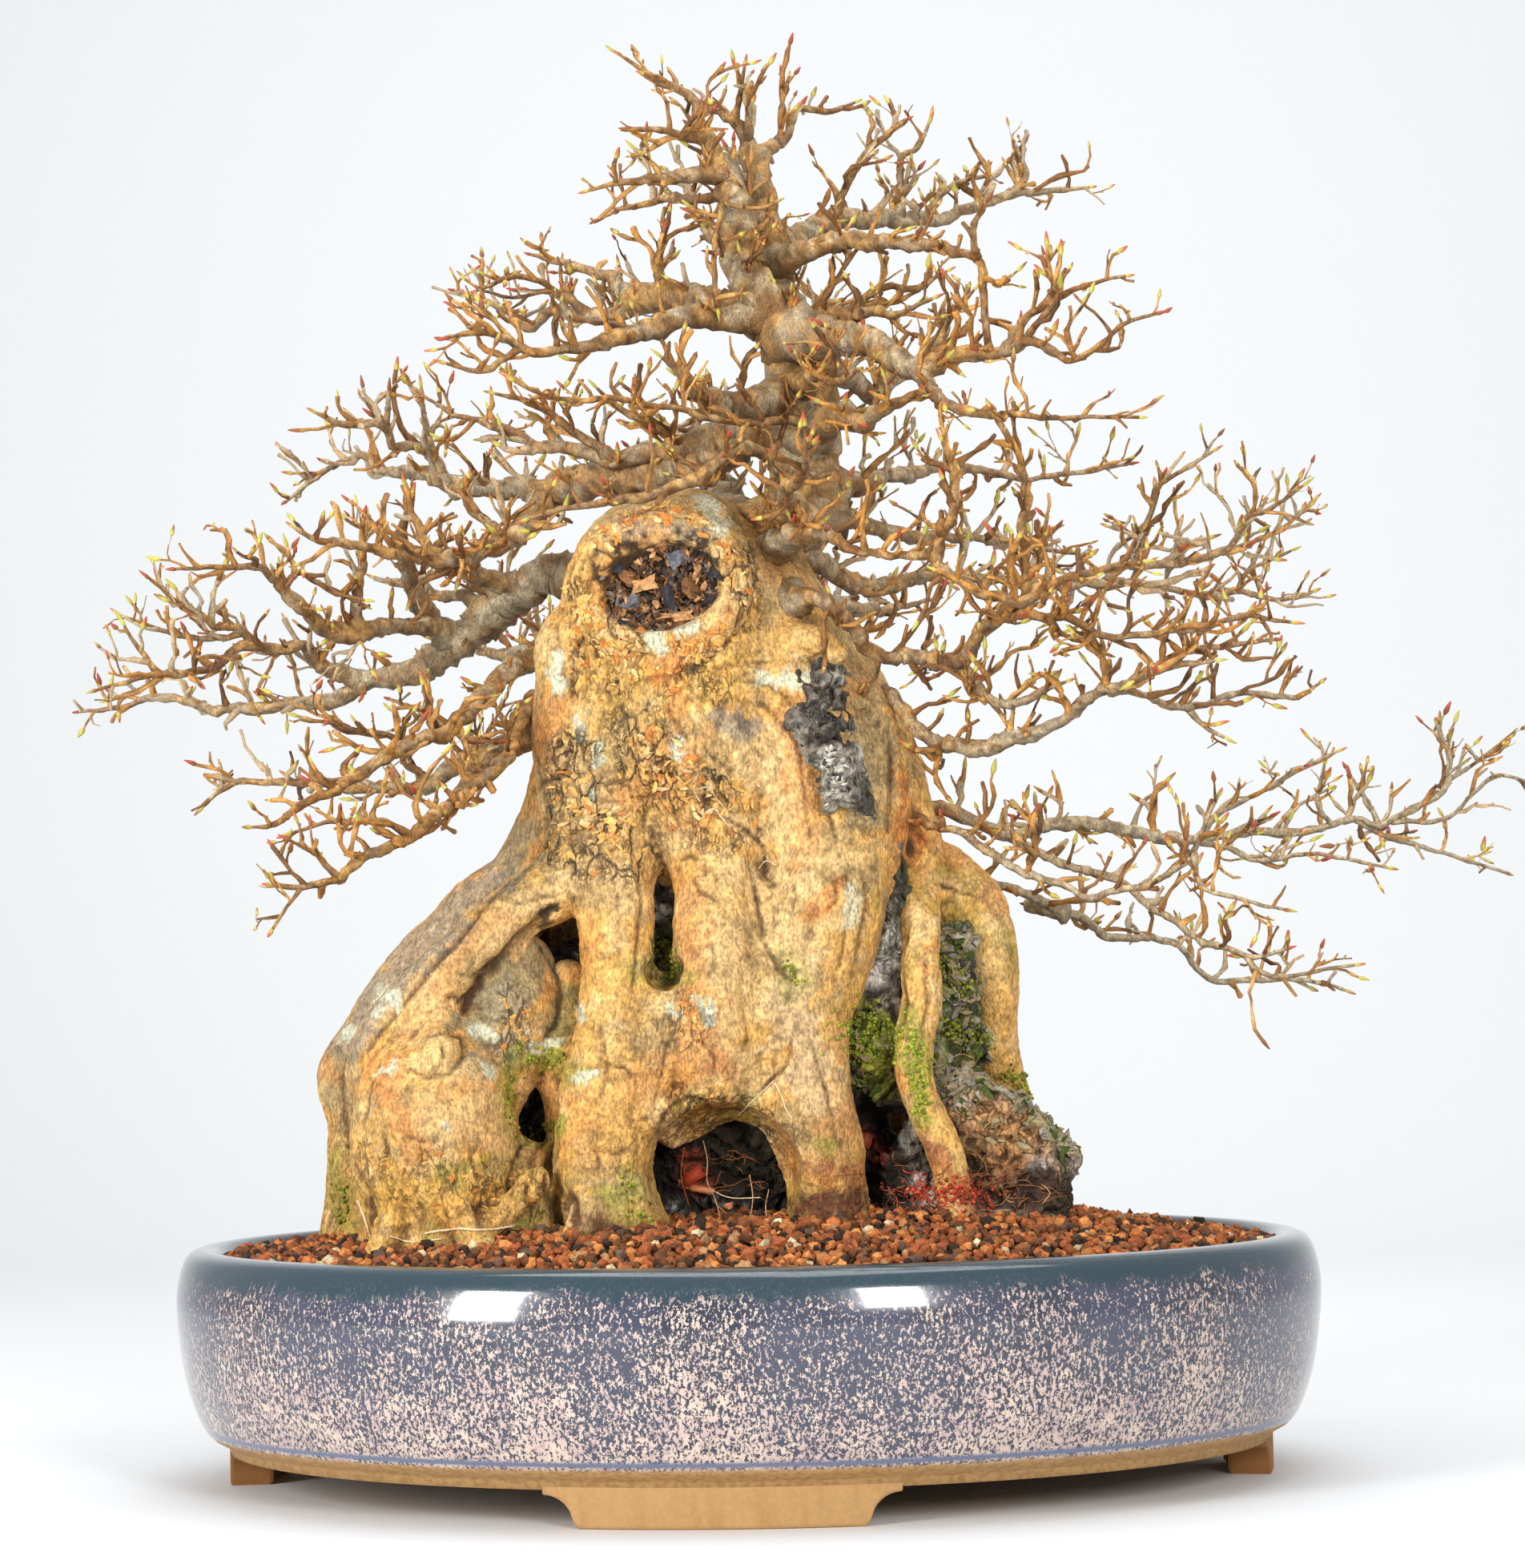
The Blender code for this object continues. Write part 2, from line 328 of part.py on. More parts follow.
     (161, 317, -54, 2.6), (171, 321, -58, 2.4), (181, 323, -62, 2), (194, 324, -66, 1)),
    ((150, 313, -50, 2.6), (164, 311, -46, 2.2), (173, 307, -42, 2.2), (183, 305, -38, 2.2),
     (193, 309, -34, 2), (204, 311, -30, 2), (216, 309, -26, 1.8), (227, 309, -22, 1.5),
     (236, 314, -18, 1)),
    ((182, 305, -38, 1.8), (188, 298, -36, 1.5), (197, 293, -34, 1)),
    ((169, 320, -57, 2), (182, 328, -54, 2), (196, 330, -50, 1.8), (218, 332, -42, 1)),
    # the long low limb on the right
    ((52, 276, 2, 8), (76, 267, 10, 4), (88, 265, 14, 4), (101, 258, 18, 3.6), (110, 255, 22, 3.6),
     (121, 258, 26, 3.6), (134, 259, 30, 3.8), (153, 257, 34, 3.8), (170, 253, 38, 3.6),
     (187, 252, 42, 3.2), (202, 254, 44, 3), (218, 254, 46, 2.8), (234, 255, 48, 2.5),
     (250, 259, 50, 2.3), (260, 256, 50, 2.2), (272, 263, 48, 2), (283, 268, 46, 1.8),
     (287, 280, 44, 1.5), (283, 296, 42, 1)),
    ((110, 255, 22, 3), (120, 248, 18, 2.8), (129, 243, 14, 2.8), (141, 240, 10, 2.6), (154, 235, 6, 2.4),
     (166, 225, 2, 2.2), (176, 218, -2, 2.2), (186, 210, -6, 2), (197, 207, -10, 1.8),
     (206, 204, -14, 1.6), (220, 207, -18, 1)),
    ((204, 204, -14, 1.6), (210, 197, -16, 1.5), (225, 197, -18, 1.4), (247, 200, -22, 1)),
    ((58, 266, -6, 5), (80, 260, -16, 2.8), (94, 254, -22, 2.6), (107, 244, -28, 2.5),
     (120, 238, -34, 2.4), (133, 233, -40, 2.2), (141, 229, -44, 2.2), (152, 232, -46, 2),
     (165, 234, -48, 1.9), (175, 239, -50, 1.8), (185, 248, -52, 1.8), (188, 257, -54, 1.6),
     (194, 269, -56, 1)),
    ((184, 247, -52, 1.7), (187, 233, -54, 1.6), (200, 228, -56, 1.5), (219, 223, -60, 1)),
    ((60, 246, 6, 7), (82, 238, 16, 3.4), (97, 238, 22, 3), (113, 233, 28, 2.8), (126, 226, 34, 3),
     (141, 219, 38, 2.8), (150, 213, 42, 2.6), (166, 212, 46, 2.4), (178, 208, 50, 2.2),
     (184, 200, 54, 2), (192, 195, 58, 2), (208, 195, 62, 1.8), (230, 194, 66, 1.5), (243, 190, 70, 1)),
    ((133, 222, 36, 4), (122, 226, 38, 4.5), (116, 227, 40, 4)),
    ((186, 252, 42, 2.4), (195, 262, 38, 2), (211, 271, 32, 1.6), (225, 278, 28, 1.4), (242, 286, 24, 1)),
    ((216, 254, 46, 1.8), (224, 264, 50, 1.5), (238, 271, 54, 1)),
    ((240, 256, 49, 1.6), (234, 265, 44, 1.4), (237, 281, 40, 1)),
    ((259, 257, 50, 1.8), (251, 270, 56, 1.5), (246, 279, 60, 1)),
    ((285, 274, 45, 1.5), (295, 279, 50, 1.3), (311, 290, 56, 1)),
    ((264, 258, 49, 1.6), (284, 258, 44, 1.5), (296, 268, 40, 1.4), (307, 275, 36, 1.2), (319, 272, 32, 1)),
    ((248, 258, 50, 1.8), (264, 250, 54, 1.6), (275, 247, 58, 1.5), (297, 240, 64, 1.2), (308, 236, 68, 1)),
    ((184, 251, 41, 2), (199, 247, 34, 1.8), (211, 243, 28, 1.6), (235, 245, 22, 1.4), (261, 239, 12, 1)),
    # limbs that fill the back
    ((0, 380, 16, 10), (-5, 398, 45, 7), (-12, 410, 68, 5.5), (-22, 420, 90, 3.5), (-40, 440, 118, 1)),
    ((-10, 408, 64, 4), (4, 416, 84, 2.8), (16, 421, 104, 1)),
    ((8, 346, 18, 9), (25, 352, 48, 6), (45, 350, 72, 4.5), (62, 348, 92, 3), (82, 352, 112, 1)),
    ((38, 351, 64, 3.4), (36, 344, 92, 2.4), (28, 340, 118, 1)),
    ((-38, 345, 18, 9), (-60, 340, 48, 6), (-85, 335, 70, 4.5), (-105, 335, 90, 3), (-126, 341, 108, 1)),
    ((-82, 336, 68, 3.4), (-80, 342, 92, 2.4), (-72, 346, 118, 1)),
    ((27, 430, 6, 8), (30, 440, 34, 5.5), (34, 452, 58, 4), (38, 466, 78, 2.6), (44, 478, 94, 1)),
    ((5, 490, 0, 6), (-2, 500, 26, 4), (-10, 508, 44, 2.8), (-16, 521, 60, 1)),
    ((-18, 300, 22, 9), (-30, 300, 52, 5), (-45, 296, 76, 4), (-52, 300, 96, 2.5), (-61, 307, 114, 1)),
    # limbs that reach to the front
    ((24, 386, 0, 9), (22, 392, -26, 6), (23, 398, -48, 4), (29, 404, -68, 2.6), (31, 418, -86, 1)),
    ((28, 440, 2, 7), (36, 444, -32, 3), (44, 442, -54, 2.2), (53, 447, -74, 1)),
)

# The crown is deeper than the depths below by this much
CROWN_DEPTH = 1.45

# A knot this close to the straight run, in millimetres, adds nothing to a limb's solid
LIMB_SLACK = 3.0

# Limbs thinner than these at their start have three and four sides
THREE_SIDED_BELOW = 3.6 * MM
FOUR_SIDED_BELOW = 7.5 * MM

# A limb that starts this near another one grows from the middle of it
ROOTING_REACH = 22 * MM

# Side twigs: how far apart, how long and how thick
TWIG_SEED = 17
TWIG_SPACING = 112 * MM
TWIG_SPACING_RANGE = (0.7, 1.3)
TWIG_LENGTH = 26 * MM
TWIG_LENGTH_RANGE = (0.6, 1.25)
TWIG_RADIUS = 1.3 * MM
TWIG_TIP_RADIUS = 0.6 * MM
# A twig is at most this thick beside its limb
TWIG_SHARE = 0.8
# Twigs turn round their limb by this from one to the next
TWIG_TURN = math.radians(137.5)
# The first part of a limb is bare, for this length and this share of the whole
THICK_LIMB_RADIUS = 4 * MM
THICK_LIMB_BARE = 45 * MM
THIN_LIMB_BARE = 10 * MM
BARE_SHARE = 0.2
TIP_WITHOUT_TWIGS = 6 * MM
# How a twig leaves its limb: along it, sideways and up. Then it turns up and along by these.
TWIG_START = (0.45, 0.8, 0.3)
TWIG_RISE = 0.55
TWIG_FOLLOW = 0.2


def clear_scene():
    """Start from an empty scene."""
    for thing in list(bpy.data.objects):
        bpy.data.objects.remove(thing, do_unlink=True)


def material(name, colour, roughness, metallic=0.0):
    """A plain Principled material."""
    made = bpy.data.materials.new(name)
    made.use_nodes = True
    shader = made.node_tree.nodes["Principled BSDF"]
    shader.inputs["Base Color"].default_value = (*colour, 1.0)
    shader.inputs["Roughness"].default_value = roughness
    shader.inputs["Metallic"].default_value = metallic
    made.diffuse_color = (*colour, 1.0)
    return made


def add_object(name, mesh, collection):
    """A new object with this mesh in this collection."""
    thing = bpy.data.objects.new(name, mesh)
    collection.objects.link(thing)
    return thing


def apply_modifiers(thing):
    """Give the object its evaluated mesh and drop its modifiers."""
    graph = bpy.context.evaluated_depsgraph_get()
    mesh = bpy.data.meshes.new_from_object(thing.evaluated_get(graph))
    thing.modifiers.clear()
    old = thing.data
    thing.data = mesh
    bpy.data.meshes.remove(old)
    return thing


def remove_all(things):
    """Delete helper objects."""
    for thing in things:
        bpy.data.objects.remove(thing, do_unlink=True)


def keep_largest_body(thing):
    """Drop the loose scraps that a cut leaves, and keep the body with the most faces."""
    sheet = bmesh.new()
    sheet.from_mesh(thing.data)
    left = set(sheet.verts)
    bodies = []
    while left:
        front = [left.pop()]
        body = list(front)
        while front:
            for edge in front.pop().link_edges:
                for vert in edge.verts:
                    if vert in left:
                        left.remove(vert)
                        front.append(vert)
                        body.append(vert)
        bodies.append(body)
    bodies.sort(key=len)
    scraps = [vert for body in bodies[:-1] for vert in body]
    bmesh.ops.delete(sheet, geom=scraps, context="VERTS")
    sheet.to_mesh(thing.data)
    sheet.free()


def combine(thing, others, operation, helpers, solver="MANIFOLD"):
    """Join the others to a solid, or cut them from it, in one step. The others are used up."""
    group = bpy.data.collections.new("cut")
    helpers.children.link(group)
    for other in others:
        group.objects.link(other)
    boolean = thing.modifiers.new("combine", "BOOLEAN")
    boolean.operation = operation
    boolean.solver = solver
    boolean.operand_type = "COLLECTION"
    boolean.collection = group
    apply_modifiers(thing)
    remove_all(others)
    bpy.data.collections.remove(group)


def seen(across, up, depth):
    """The place at this depth that shows at (across, up) on the pot's middle plane, from the eye."""
    on_plane = Vector((across * MM, 0.0, up * MM))
    return EYE + (on_plane - EYE) * (1.0 - depth * MM / EYE.y)


def oval_edge(angle, inset):
    """A point of the pot's oval, moved in square to the oval by the inset."""
    long_half, short_half = POT_LENGTH / 2, POT_DEPTH / 2
    normal = Vector((short_half * math.cos(angle), long_half * math.sin(angle))).normalized()
    point = Vector((long_half * math.cos(angle), short_half * math.sin(angle)))
    return point - normal * inset


def turned(name, profile, collection):
    """Turn a profile of (radius, height) about Z, from the top of its outer side downwards."""
    mesh = bpy.data.meshes.new(name)
    mesh.from_pydata([(radius, 0.0, height) for radius, height in profile],
                     [(i, i + 1) for i in range(len(profile) - 1)], [])
    thing = add_object(name, mesh, collection)
    screw = thing.modifiers.new("turn", "SCREW")
    screw.steps = POT_SEGMENTS
    screw.render_steps = POT_SEGMENTS
    screw.use_merge_vertices = True
    screw.merge_threshold = 0.00001
    return apply_modifiers(thing)


def outward(sheet):
    """Make all faces point out."""
    bmesh.ops.recalc_face_normals(sheet, faces=sheet.faces)


def make_pot_body(collection):
    """The oval bowl: a turned wall whose rings are moved onto the oval, with a flat floor and base."""
    outside = [(POT_LENGTH / 2 - inset * MM, height * MM) for inset, height in WALL_OUTSIDE]
    inside = [(POT_LENGTH / 2 - inset * MM, height * MM) for inset, height in WALL_INSIDE]
    pot = turned("pot", (outside + inside)[::-1], collection)
    sheet = bmesh.new()
    sheet.from_mesh(pot.data)
    for vert in sheet.verts:
        angle = math.atan2(vert.co.y, vert.co.x)
        inset = POT_LENGTH / 2 - math.hypot(vert.co.x, vert.co.y)
        vert.co.xy = oval_edge(angle, inset)
    bmesh.ops.holes_fill(sheet, edges=[edge for edge in sheet.edges if edge.is_boundary])
    outward(sheet)
    sheet.to_mesh(pot.data)
    sheet.free()
    return pot


def scroll_height(place, half_length):
    """Underside of a foot: flat on the ground, rising in a hollow curve at both ends."""
    past = (abs(place) - (half_length - FOOT_SCROLL)) / FOOT_SCROLL
    if past <= 0.0:
        return 0.0
    return SCROLL_RISE * math.sqrt(1.0 - (1.0 - min(past, 1.0)) ** 2)


def make_foot(name, middle_angle, length, collection):
    """A foot that follows the oval under the pot's edge."""
    sheet = bmesh.new()
    bmesh.ops.create_grid(sheet, x_segments=FOOT_STEPS, y_segments=1, size=1.0)
    reach = math.hypot(POT_LENGTH / 2 * math.sin(middle_angle), POT_DEPTH / 2 * math.cos(middle_angle))
    reach -= BASE_INSET
    for vert in sheet.verts:
        place = math.sin(vert.co.x * math.pi / 2) * length / 2
        low = vert.co.y < 0
        height = scroll_height(place, length / 2) if low else BASE_UNDERSIDE + FOOT_OVERLAP
        angle = middle_angle + place / reach
        vert.co.xy = oval_edge(angle, BASE_INSET)
        vert.co.z = height
    wall = bmesh.ops.extrude_face_region(sheet, geom=list(sheet.faces))["geom"]
    for vert in wall:
        if isinstance(vert, bmesh.types.BMVert):
            inward = -Vector((vert.co.x / POT_LENGTH ** 2, vert.co.y / POT_DEPTH ** 2, 0.0)).normalized()
            vert.co += inward * FOOT_THICKNESS
    outward(sheet)
    mesh = bpy.data.meshes.new(name)
    sheet.to_mesh(mesh)
    sheet.free()
    return add_object(name, mesh, collection)


def make_cylinder(name, radius, low, high, place, collection, sides=24):
    """An upright cylinder as a cutter or a joined piece."""
    sheet = bmesh.new()
    bmesh.ops.create_cone(sheet, cap_ends=True, segments=sides, radius1=radius, radius2=radius,
                          depth=high - low)
    bmesh.ops.translate(sheet, verts=sheet.verts, vec=(place[0], place[1], (low + high) / 2))
    mesh = bpy.data.meshes.new(name)
    sheet.to_mesh(mesh)
    sheet.free()
    return add_object(name, mesh, collection)


def make_box(name, low, high, collection):
    """A box between two corners."""
    low, high = Vector(low), Vector(high)
    sheet = bmesh.new()
    bmesh.ops.create_cube(sheet, size=1.0)
    for vert in sheet.verts:
        for axis in range(3):
            vert.co[axis] = high[axis] if vert.co[axis] > 0 else low[axis]
    mesh = bpy.data.meshes.new(name)
    sheet.to_mesh(mesh)
    sheet.free()
    return add_object(name, mesh, collection)


def make_pot(collection, helpers):
    """The pot: bowl, four feet and two drain holes, one fired piece."""
    pot = make_pot_body(collection)
    quarter = math.pi / 2
    feet = [
        make_foot("front_foot", -quarter, FRONT_FOOT_LENGTH, helpers),
        make_foot("back_foot", quarter, FRONT_FOOT_LENGTH, helpers),
        make_foot("right_foot", 0.0, SIDE_FOOT_LENGTH, helpers),
        make_foot("left_foot", 2 * quarter, SIDE_FOOT_LENGTH, helpers),
    ]
    combine(pot, feet, "UNION", helpers)
    holes = [make_cylinder("drain", DRAIN_HOLE_RADIUS, 0.0, POT_HEIGHT, (side * DRAIN_HOLE_X, 0.0), helpers)
             for side in (-1, 1)]
    combine(pot, holes, "DIFFERENCE", helpers)
    return pot


def make_screen(name, x, collection, helpers):
    """A square net over a drain hole."""
    half = SCREEN_SIZE / 2
    low = FLOOR_TOP + GAP
    net = make_box(name, (x - half, -half, low), (x + half, half, low + SCREEN_THICKNESS), collection)
    pitch = (SCREEN_SIZE - SCREEN_STRAND) / SCREEN_CELLS
    cell = pitch - SCREEN_STRAND
    cutters = []
    for column in range(SCREEN_CELLS):
        for row in range(SCREEN_CELLS):
            left = x - half + SCREEN_STRAND + column * pitch
            front = -half + SCREEN_STRAND + row * pitch
            corner = (left + cell, front + cell, low + SCREEN_THICKNESS + MM)
            cutters.append(make_box("cell", (left, front, low - MM), corner, helpers))
    combine(net, cutters, "DIFFERENCE", helpers)
    return net


def make_clip(name, x, collection, helpers):
    """A bent wire through the net and the drain hole, its legs turned out under the pot."""
    leg = (SCREEN_SIZE - SCREEN_STRAND) / SCREEN_CELLS / 2
    top = FLOOR_TOP + 2 * GAP + SCREEN_THICKNESS + CLIP_WIRE_RADIUS
    under = BASE_UNDERSIDE - GAP - CLIP_WIRE_RADIUS
    half = [(0.0, top), (leg - CLIP_BEND, top), (leg, top - CLIP_BEND)]
    half += [(leg, under + CLIP_BEND), (leg + CLIP_BEND, under), (CLIP_FOOT, under)]
    run = [(-out, up) for out, up in reversed(half[1:])] + half
    points = [Vector((x + out, leg, up)) for out, up in run]
    return make_tube(name, points, [CLIP_WIRE_RADIUS] * len(points), 6, collection, helpers)


def make_section(sides, helpers):
    """A small closed outline that a tube is swept with."""
    curve = bpy.data.curves.new("section", "CURVE")
    curve.dimensions = "2D"
    spline = curve.splines.new("POLY")
    spline.points.add(sides - 1)
    for i, point in enumerate(spline.points):
        angle = 2 * math.pi * i / sides
        point.co = (math.cos(angle), math.sin(angle), 0.0, 1.0)
    spline.use_cyclic_u = True
    return add_object("section", curve, helpers)


def make_tube(name, points, radii, sides, collection, helpers):
    """A closed tube along the points, with a radius at each."""
    section = make_section(sides, helpers)
    curve = bpy.data.curves.new(name, "CURVE")
    curve.dimensions = "3D"
    curve.bevel_mode = "OBJECT"
    curve.bevel_object = section
    curve.use_fill_caps = True
    curve.resolution_u = 1
    spline = curve.splines.new("POLY")
    spline.points.add(len(points) - 1)
    for slot, place, radius in zip(spline.points, points, radii):
        slot.co = (*place, 1.0)
        slot.radius = radius
    run = add_object(name, curve, helpers)
    graph = bpy.context.evaluated_depsgraph_get()
    mesh = bpy.data.meshes.new_from_object(run.evaluated_get(graph))
    remove_all([run, section])
    sheet = bmesh.new()
    sheet.from_mesh(mesh)
    bmesh.ops.remove_doubles(sheet, verts=sheet.verts, dist=0.00001)
    outward(sheet)
    sheet.to_mesh(mesh)
    sheet.free()
    return add_object(name, mesh, collection)


def make_blob(name, middle, half_sizes, lean, collection, subdivisions=3):
    """A stretched ball, leaning about Y."""
    sheet = bmesh.new()
    bmesh.ops.create_icosphere(sheet, subdivisions=subdivisions, radius=1.0)
    place = (Matrix.Translation(seen(*middle))
             @ Matrix.Rotation(math.radians(lean), 4, "Y")
             @ Matrix.Diagonal((half_sizes[0] * MM, half_sizes[2] * MM, half_sizes[1] * MM, 1.0)))
    bmesh.ops.transform(sheet, matrix=place, verts=sheet.verts)
    mesh = bpy.data.meshes.new(name)
    sheet.to_mesh(mesh)
    sheet.free()
    return add_object(name, mesh, collection)


def make_chunk(name, middle, half_sizes, lean, collection):
    """A rough block of stone: a box with its corners pulled in, leaning about Y."""
    sheet = bmesh.new()
    bmesh.ops.create_cube(sheet, size=2.0)
    bmesh.ops.subdivide_edges(sheet, edges=sheet.edges, cuts=3, use_grid_fill=True)
    for vert in sheet.verts:
        vert.co *= 1.0 - CHUNK_CORNER_PULL * max(0.0, vert.co.length - 1.0)
    place = (Matrix.Translation(seen(*middle))
             @ Matrix.Rotation(math.radians(lean), 4, "Y")
             @ Matrix.Diagonal((half_sizes[0] * MM, half_sizes[2] * MM, half_sizes[1] * MM, 1.0)))
    bmesh.ops.transform(sheet, matrix=place, verts=sheet.verts)
    outward(sheet)
    mesh = bpy.data.meshes.new(name)
    sheet.to_mesh(mesh)
    sheet.free()
    return add_object(name, mesh, collection)


def joined(things, name, collection):
    """One object with the meshes of all the things, which are used up."""
    sheet = bmesh.new()
    for thing in things:
        sheet.from_mesh(thing.data)
    mesh = bpy.data.meshes.new(name)
    sheet.to_mesh(mesh)
    sheet.free()
    remove_all(things)
    return add_object(name, mesh, collection)


def melt_together(thing, voxel, smooth_steps):
    """Turn overlapping shapes into one smooth skin."""
    remesh = thing.modifiers.new("melt", "REMESH")
    remesh.mode = "VOXEL"
    remesh.voxel_size = voxel
    if smooth_steps:
        smooth = thing.modifiers.new("smooth", "SMOOTH")
        smooth.factor = 0.5
        smooth.iterations = smooth_steps
    apply_modifiers(thing)
    keep_largest_body(thing)


def thin_out(thing, triangles):
    """Reduce a triangle mesh to about this many triangles."""
    count = sum(len(face.vertices) - 2 for face in thing.data.polygons)
    decimate = thing.modifiers.new("thin", "DECIMATE")
    decimate.ratio = min(1.0, triangles / count)
    decimate.use_collapse_triangulate = True
    apply_modifiers(thing)


def plain_copy(thing, helpers):
    """A cutter with a solid's own shape."""
    return add_object("room", thing.data.copy(), helpers)


def grown_copy(thing, distance, helpers):
    """A cutter that stands about this far outside a solid, melted anew so that no fold is left in it."""
    triangles = len(thing.data.polygons)
    copy = plain_copy(thing, helpers)
    displace = copy.modifiers.new("grow", "DISPLACE")
    displace.mid_level = 0.0
    displace.strength = distance
    melt_together(copy, ROOM_VOXEL, 0)
    thin_out(copy, triangles)
    return copy


def make_rock(collection, helpers):
    """The upright stone: rough blocks melted together, then broken into ledges."""
    chunks = [make_chunk("chunk", middle, half, lean, helpers) for middle, half, lean in ROCK_CHUNKS]
    rock = joined(chunks, "rock", collection)
    melt_together(rock, ROCK_VOXEL, 0)
    for vert in rock.data.vertices:
        crag = sum(noise.noise(vert.co * density) * height for density, height in ROCK_CRAGS)
        vert.co += vert.normal * crag
    melt_together(rock, ROCK_VOXEL, 0)
    thin_out(rock, ROCK_TRIANGLES)
    return rock


def callus_strand():
    """The thick ring of bark that grew round the old cut."""
    knots = []
    for i in range(CALLUS_KNOTS + 1):
        angle = 2 * math.pi * i / CALLUS_KNOTS
        out = Matrix.Rotation(math.radians(-CUT_LEAN), 2) @ Vector(
            (CUT_HALF_SIZES[0] * math.cos(angle), CUT_HALF_SIZES[1] * math.sin(angle)))
        knots.append((CUT_MIDDLE[0] + out.x, CUT_MIDDLE[1] + out.y, CUT_MIDDLE[2], CALLUS_RADIUS))
    return knots


def make_trunk(helpers):
    """Trunk and roots melted together, with the old cut's crater and the gaps to the rock."""
    tubes = []
    for strand in TRUNK_STRANDS + (callus_strand(),):
        points = [seen(*knot[:3]) for knot in strand]
        radii = [knot[3] * MM for knot in strand]
        tubes.append(make_tube("strand", points, radii, 16, helpers, helpers))
        tubes += [make_blob("knot", knot[:3], (knot[3],) * 3, 0, helpers, 2) for knot in strand]
    trunk = joined(tubes, "trunk", helpers)
    melt_together(trunk, TRUNK_VOXEL, 2)
    crater = ((*CUT_MIDDLE[:2], CUT_MIDDLE[2] - CALLUS_RADIUS), CRATER_HALF_SIZES, CUT_LEAN)
    hollows = [make_blob("hollow", *hollow, helpers) for hollow in WOOD_HOLLOWS + (crater,)]
    combine(trunk, hollows, "DIFFERENCE", helpers)
    melt_together(trunk, TRUNK_VOXEL, 1)
    thin_out(trunk, TRUNK_TRIANGLES)
    return trunk


def limb_points(knots):
    """Where a limb's knots lie, in a crown of its full depth."""
    return [seen(across, up, depth * CROWN_DEPTH) for across, up, depth, radius in knots]


def sides_for(radius):
    """Thin limbs have three sides, thick ones more."""
    if radius < THREE_SIDED_BELOW:
        return 3
    return 4 if radius < FOUR_SIDED_BELOW else 6


def full_radii(radii, sides):
    """Corner radii that give a tube of few sides as much wood as a round one."""
    factor = math.sqrt(2 * math.pi / (sides * math.sin(2 * math.pi / sides)))
    return [radius * factor for radius in radii]


def straightened(knots):
    """Leave out the knots of a limb that lie close to the straight run between the ones kept."""
    start, end = Vector(knots[0]), Vector(knots[-1])
    run = end - start
    furthest, place = 0.0, 0
    for i in range(1, len(knots) - 1):
        offset = Vector(knots[i]) - start
        away = (offset - run * (offset.dot(run) / run.dot(run))).length
        if away > furthest:
            furthest, place = away, i
    if furthest < LIMB_SLACK:
        return [knots[0], knots[-1]]
    return straightened(knots[:place + 1])[:-1] + straightened(knots[place:])


def rooted(points, runs):
    """The same points, the first moved into the middle of the limb that it starts from."""
    nearest, gap = points[0], ROOTING_REACH
    for run in runs:
        for start, end in zip(run, run[1:]):
            along = end - start
            share = min(1.0, max(0.0, (points[0] - start).dot(along) / along.length_squared))
            place = start + along * share
            if (place - points[0]).length < gap:
                nearest, gap = place, (place - points[0]).length
    return [nearest] + points[1:]


def side_twigs(points, radii, rng):
    """Twigs in pairs along a limb's outer part, as runs of (points, radii)."""
    total = sum((b - a).length for a, b in zip(points, points[1:]))
    turn = rng.uniform(0.0, math.pi)
    bare = THICK_LIMB_BARE if radii[0] > THICK_LIMB_RADIUS else THIN_LIMB_BARE
    next_place = max(bare, total * BARE_SHARE)
    walked = 0.0
    for index in range(len(points) - 1):
        start, end = points[index], points[index + 1]
        step = (end - start).length
        while next_place < walked + step and next_place < total - TIP_WITHOUT_TWIGS:
            share = (next_place - walked) / step
            along = (end - start).normalized()
            base = start.lerp(end, share)
            limb_radius = radii[index] + (radii[index + 1] - radii[index]) * share
            side = along.orthogonal().normalized()
            side.rotate(Matrix.Rotation(turn, 3, along))
            yield make_twig(base, along, side, limb_radius, rng)
            turn += TWIG_TURN
            next_place += TWIG_SPACING * rng.uniform(*TWIG_SPACING_RANGE)
        walked += step


def make_twig(base, along, side, limb_radius, rng):
    """One bent twig that leaves a limb sideways and turns up."""
    length = TWIG_LENGTH * rng.uniform(*TWIG_LENGTH_RANGE)
    forward, sideways, rise = TWIG_START
    first = (along * forward + side * sideways + Vector((0, 0, rise))).normalized()
    second = (first + Vector((0, 0, TWIG_RISE)) + along * TWIG_FOLLOW).normalized()
    thick = min(TWIG_RADIUS, limb_radius * TWIG_SHARE)
    middle = base + first * length / 2
    points = [base, middle, middle + second * length / 2]
    return points, [thick, (thick + TWIG_TIP_RADIUS) / 2, TWIG_TIP_RADIUS]


def make_tree(trunk, collection, helpers):
    """The whole maple: the trunk with all limbs and twigs grown from it."""
    rng = random.Random(TWIG_SEED)
    shoots = []
    runs = []
    for limb in LIMBS:
        knots = straightened(limb)
        points = rooted(limb_points(knots), runs)
        radii = [max(knot[3] * MM, TWIG_TIP_RADIUS) for knot in knots]
        runs.append(points)
        sides = sides_for(radii[0])
        shoots.append(make_tube("limb", points, full_radii(radii, sides), sides, helpers, helpers))
        for twig_points, twig_radii in side_twigs(points, radii, rng):
            shoots.append(make_tube("twig", twig_points, full_radii(twig_radii, 3), 3, helpers, helpers))
    tree = add_object("tree", trunk.data.copy(), collection)
    combine(tree, shoots, "UNION", helpers)
    return tree


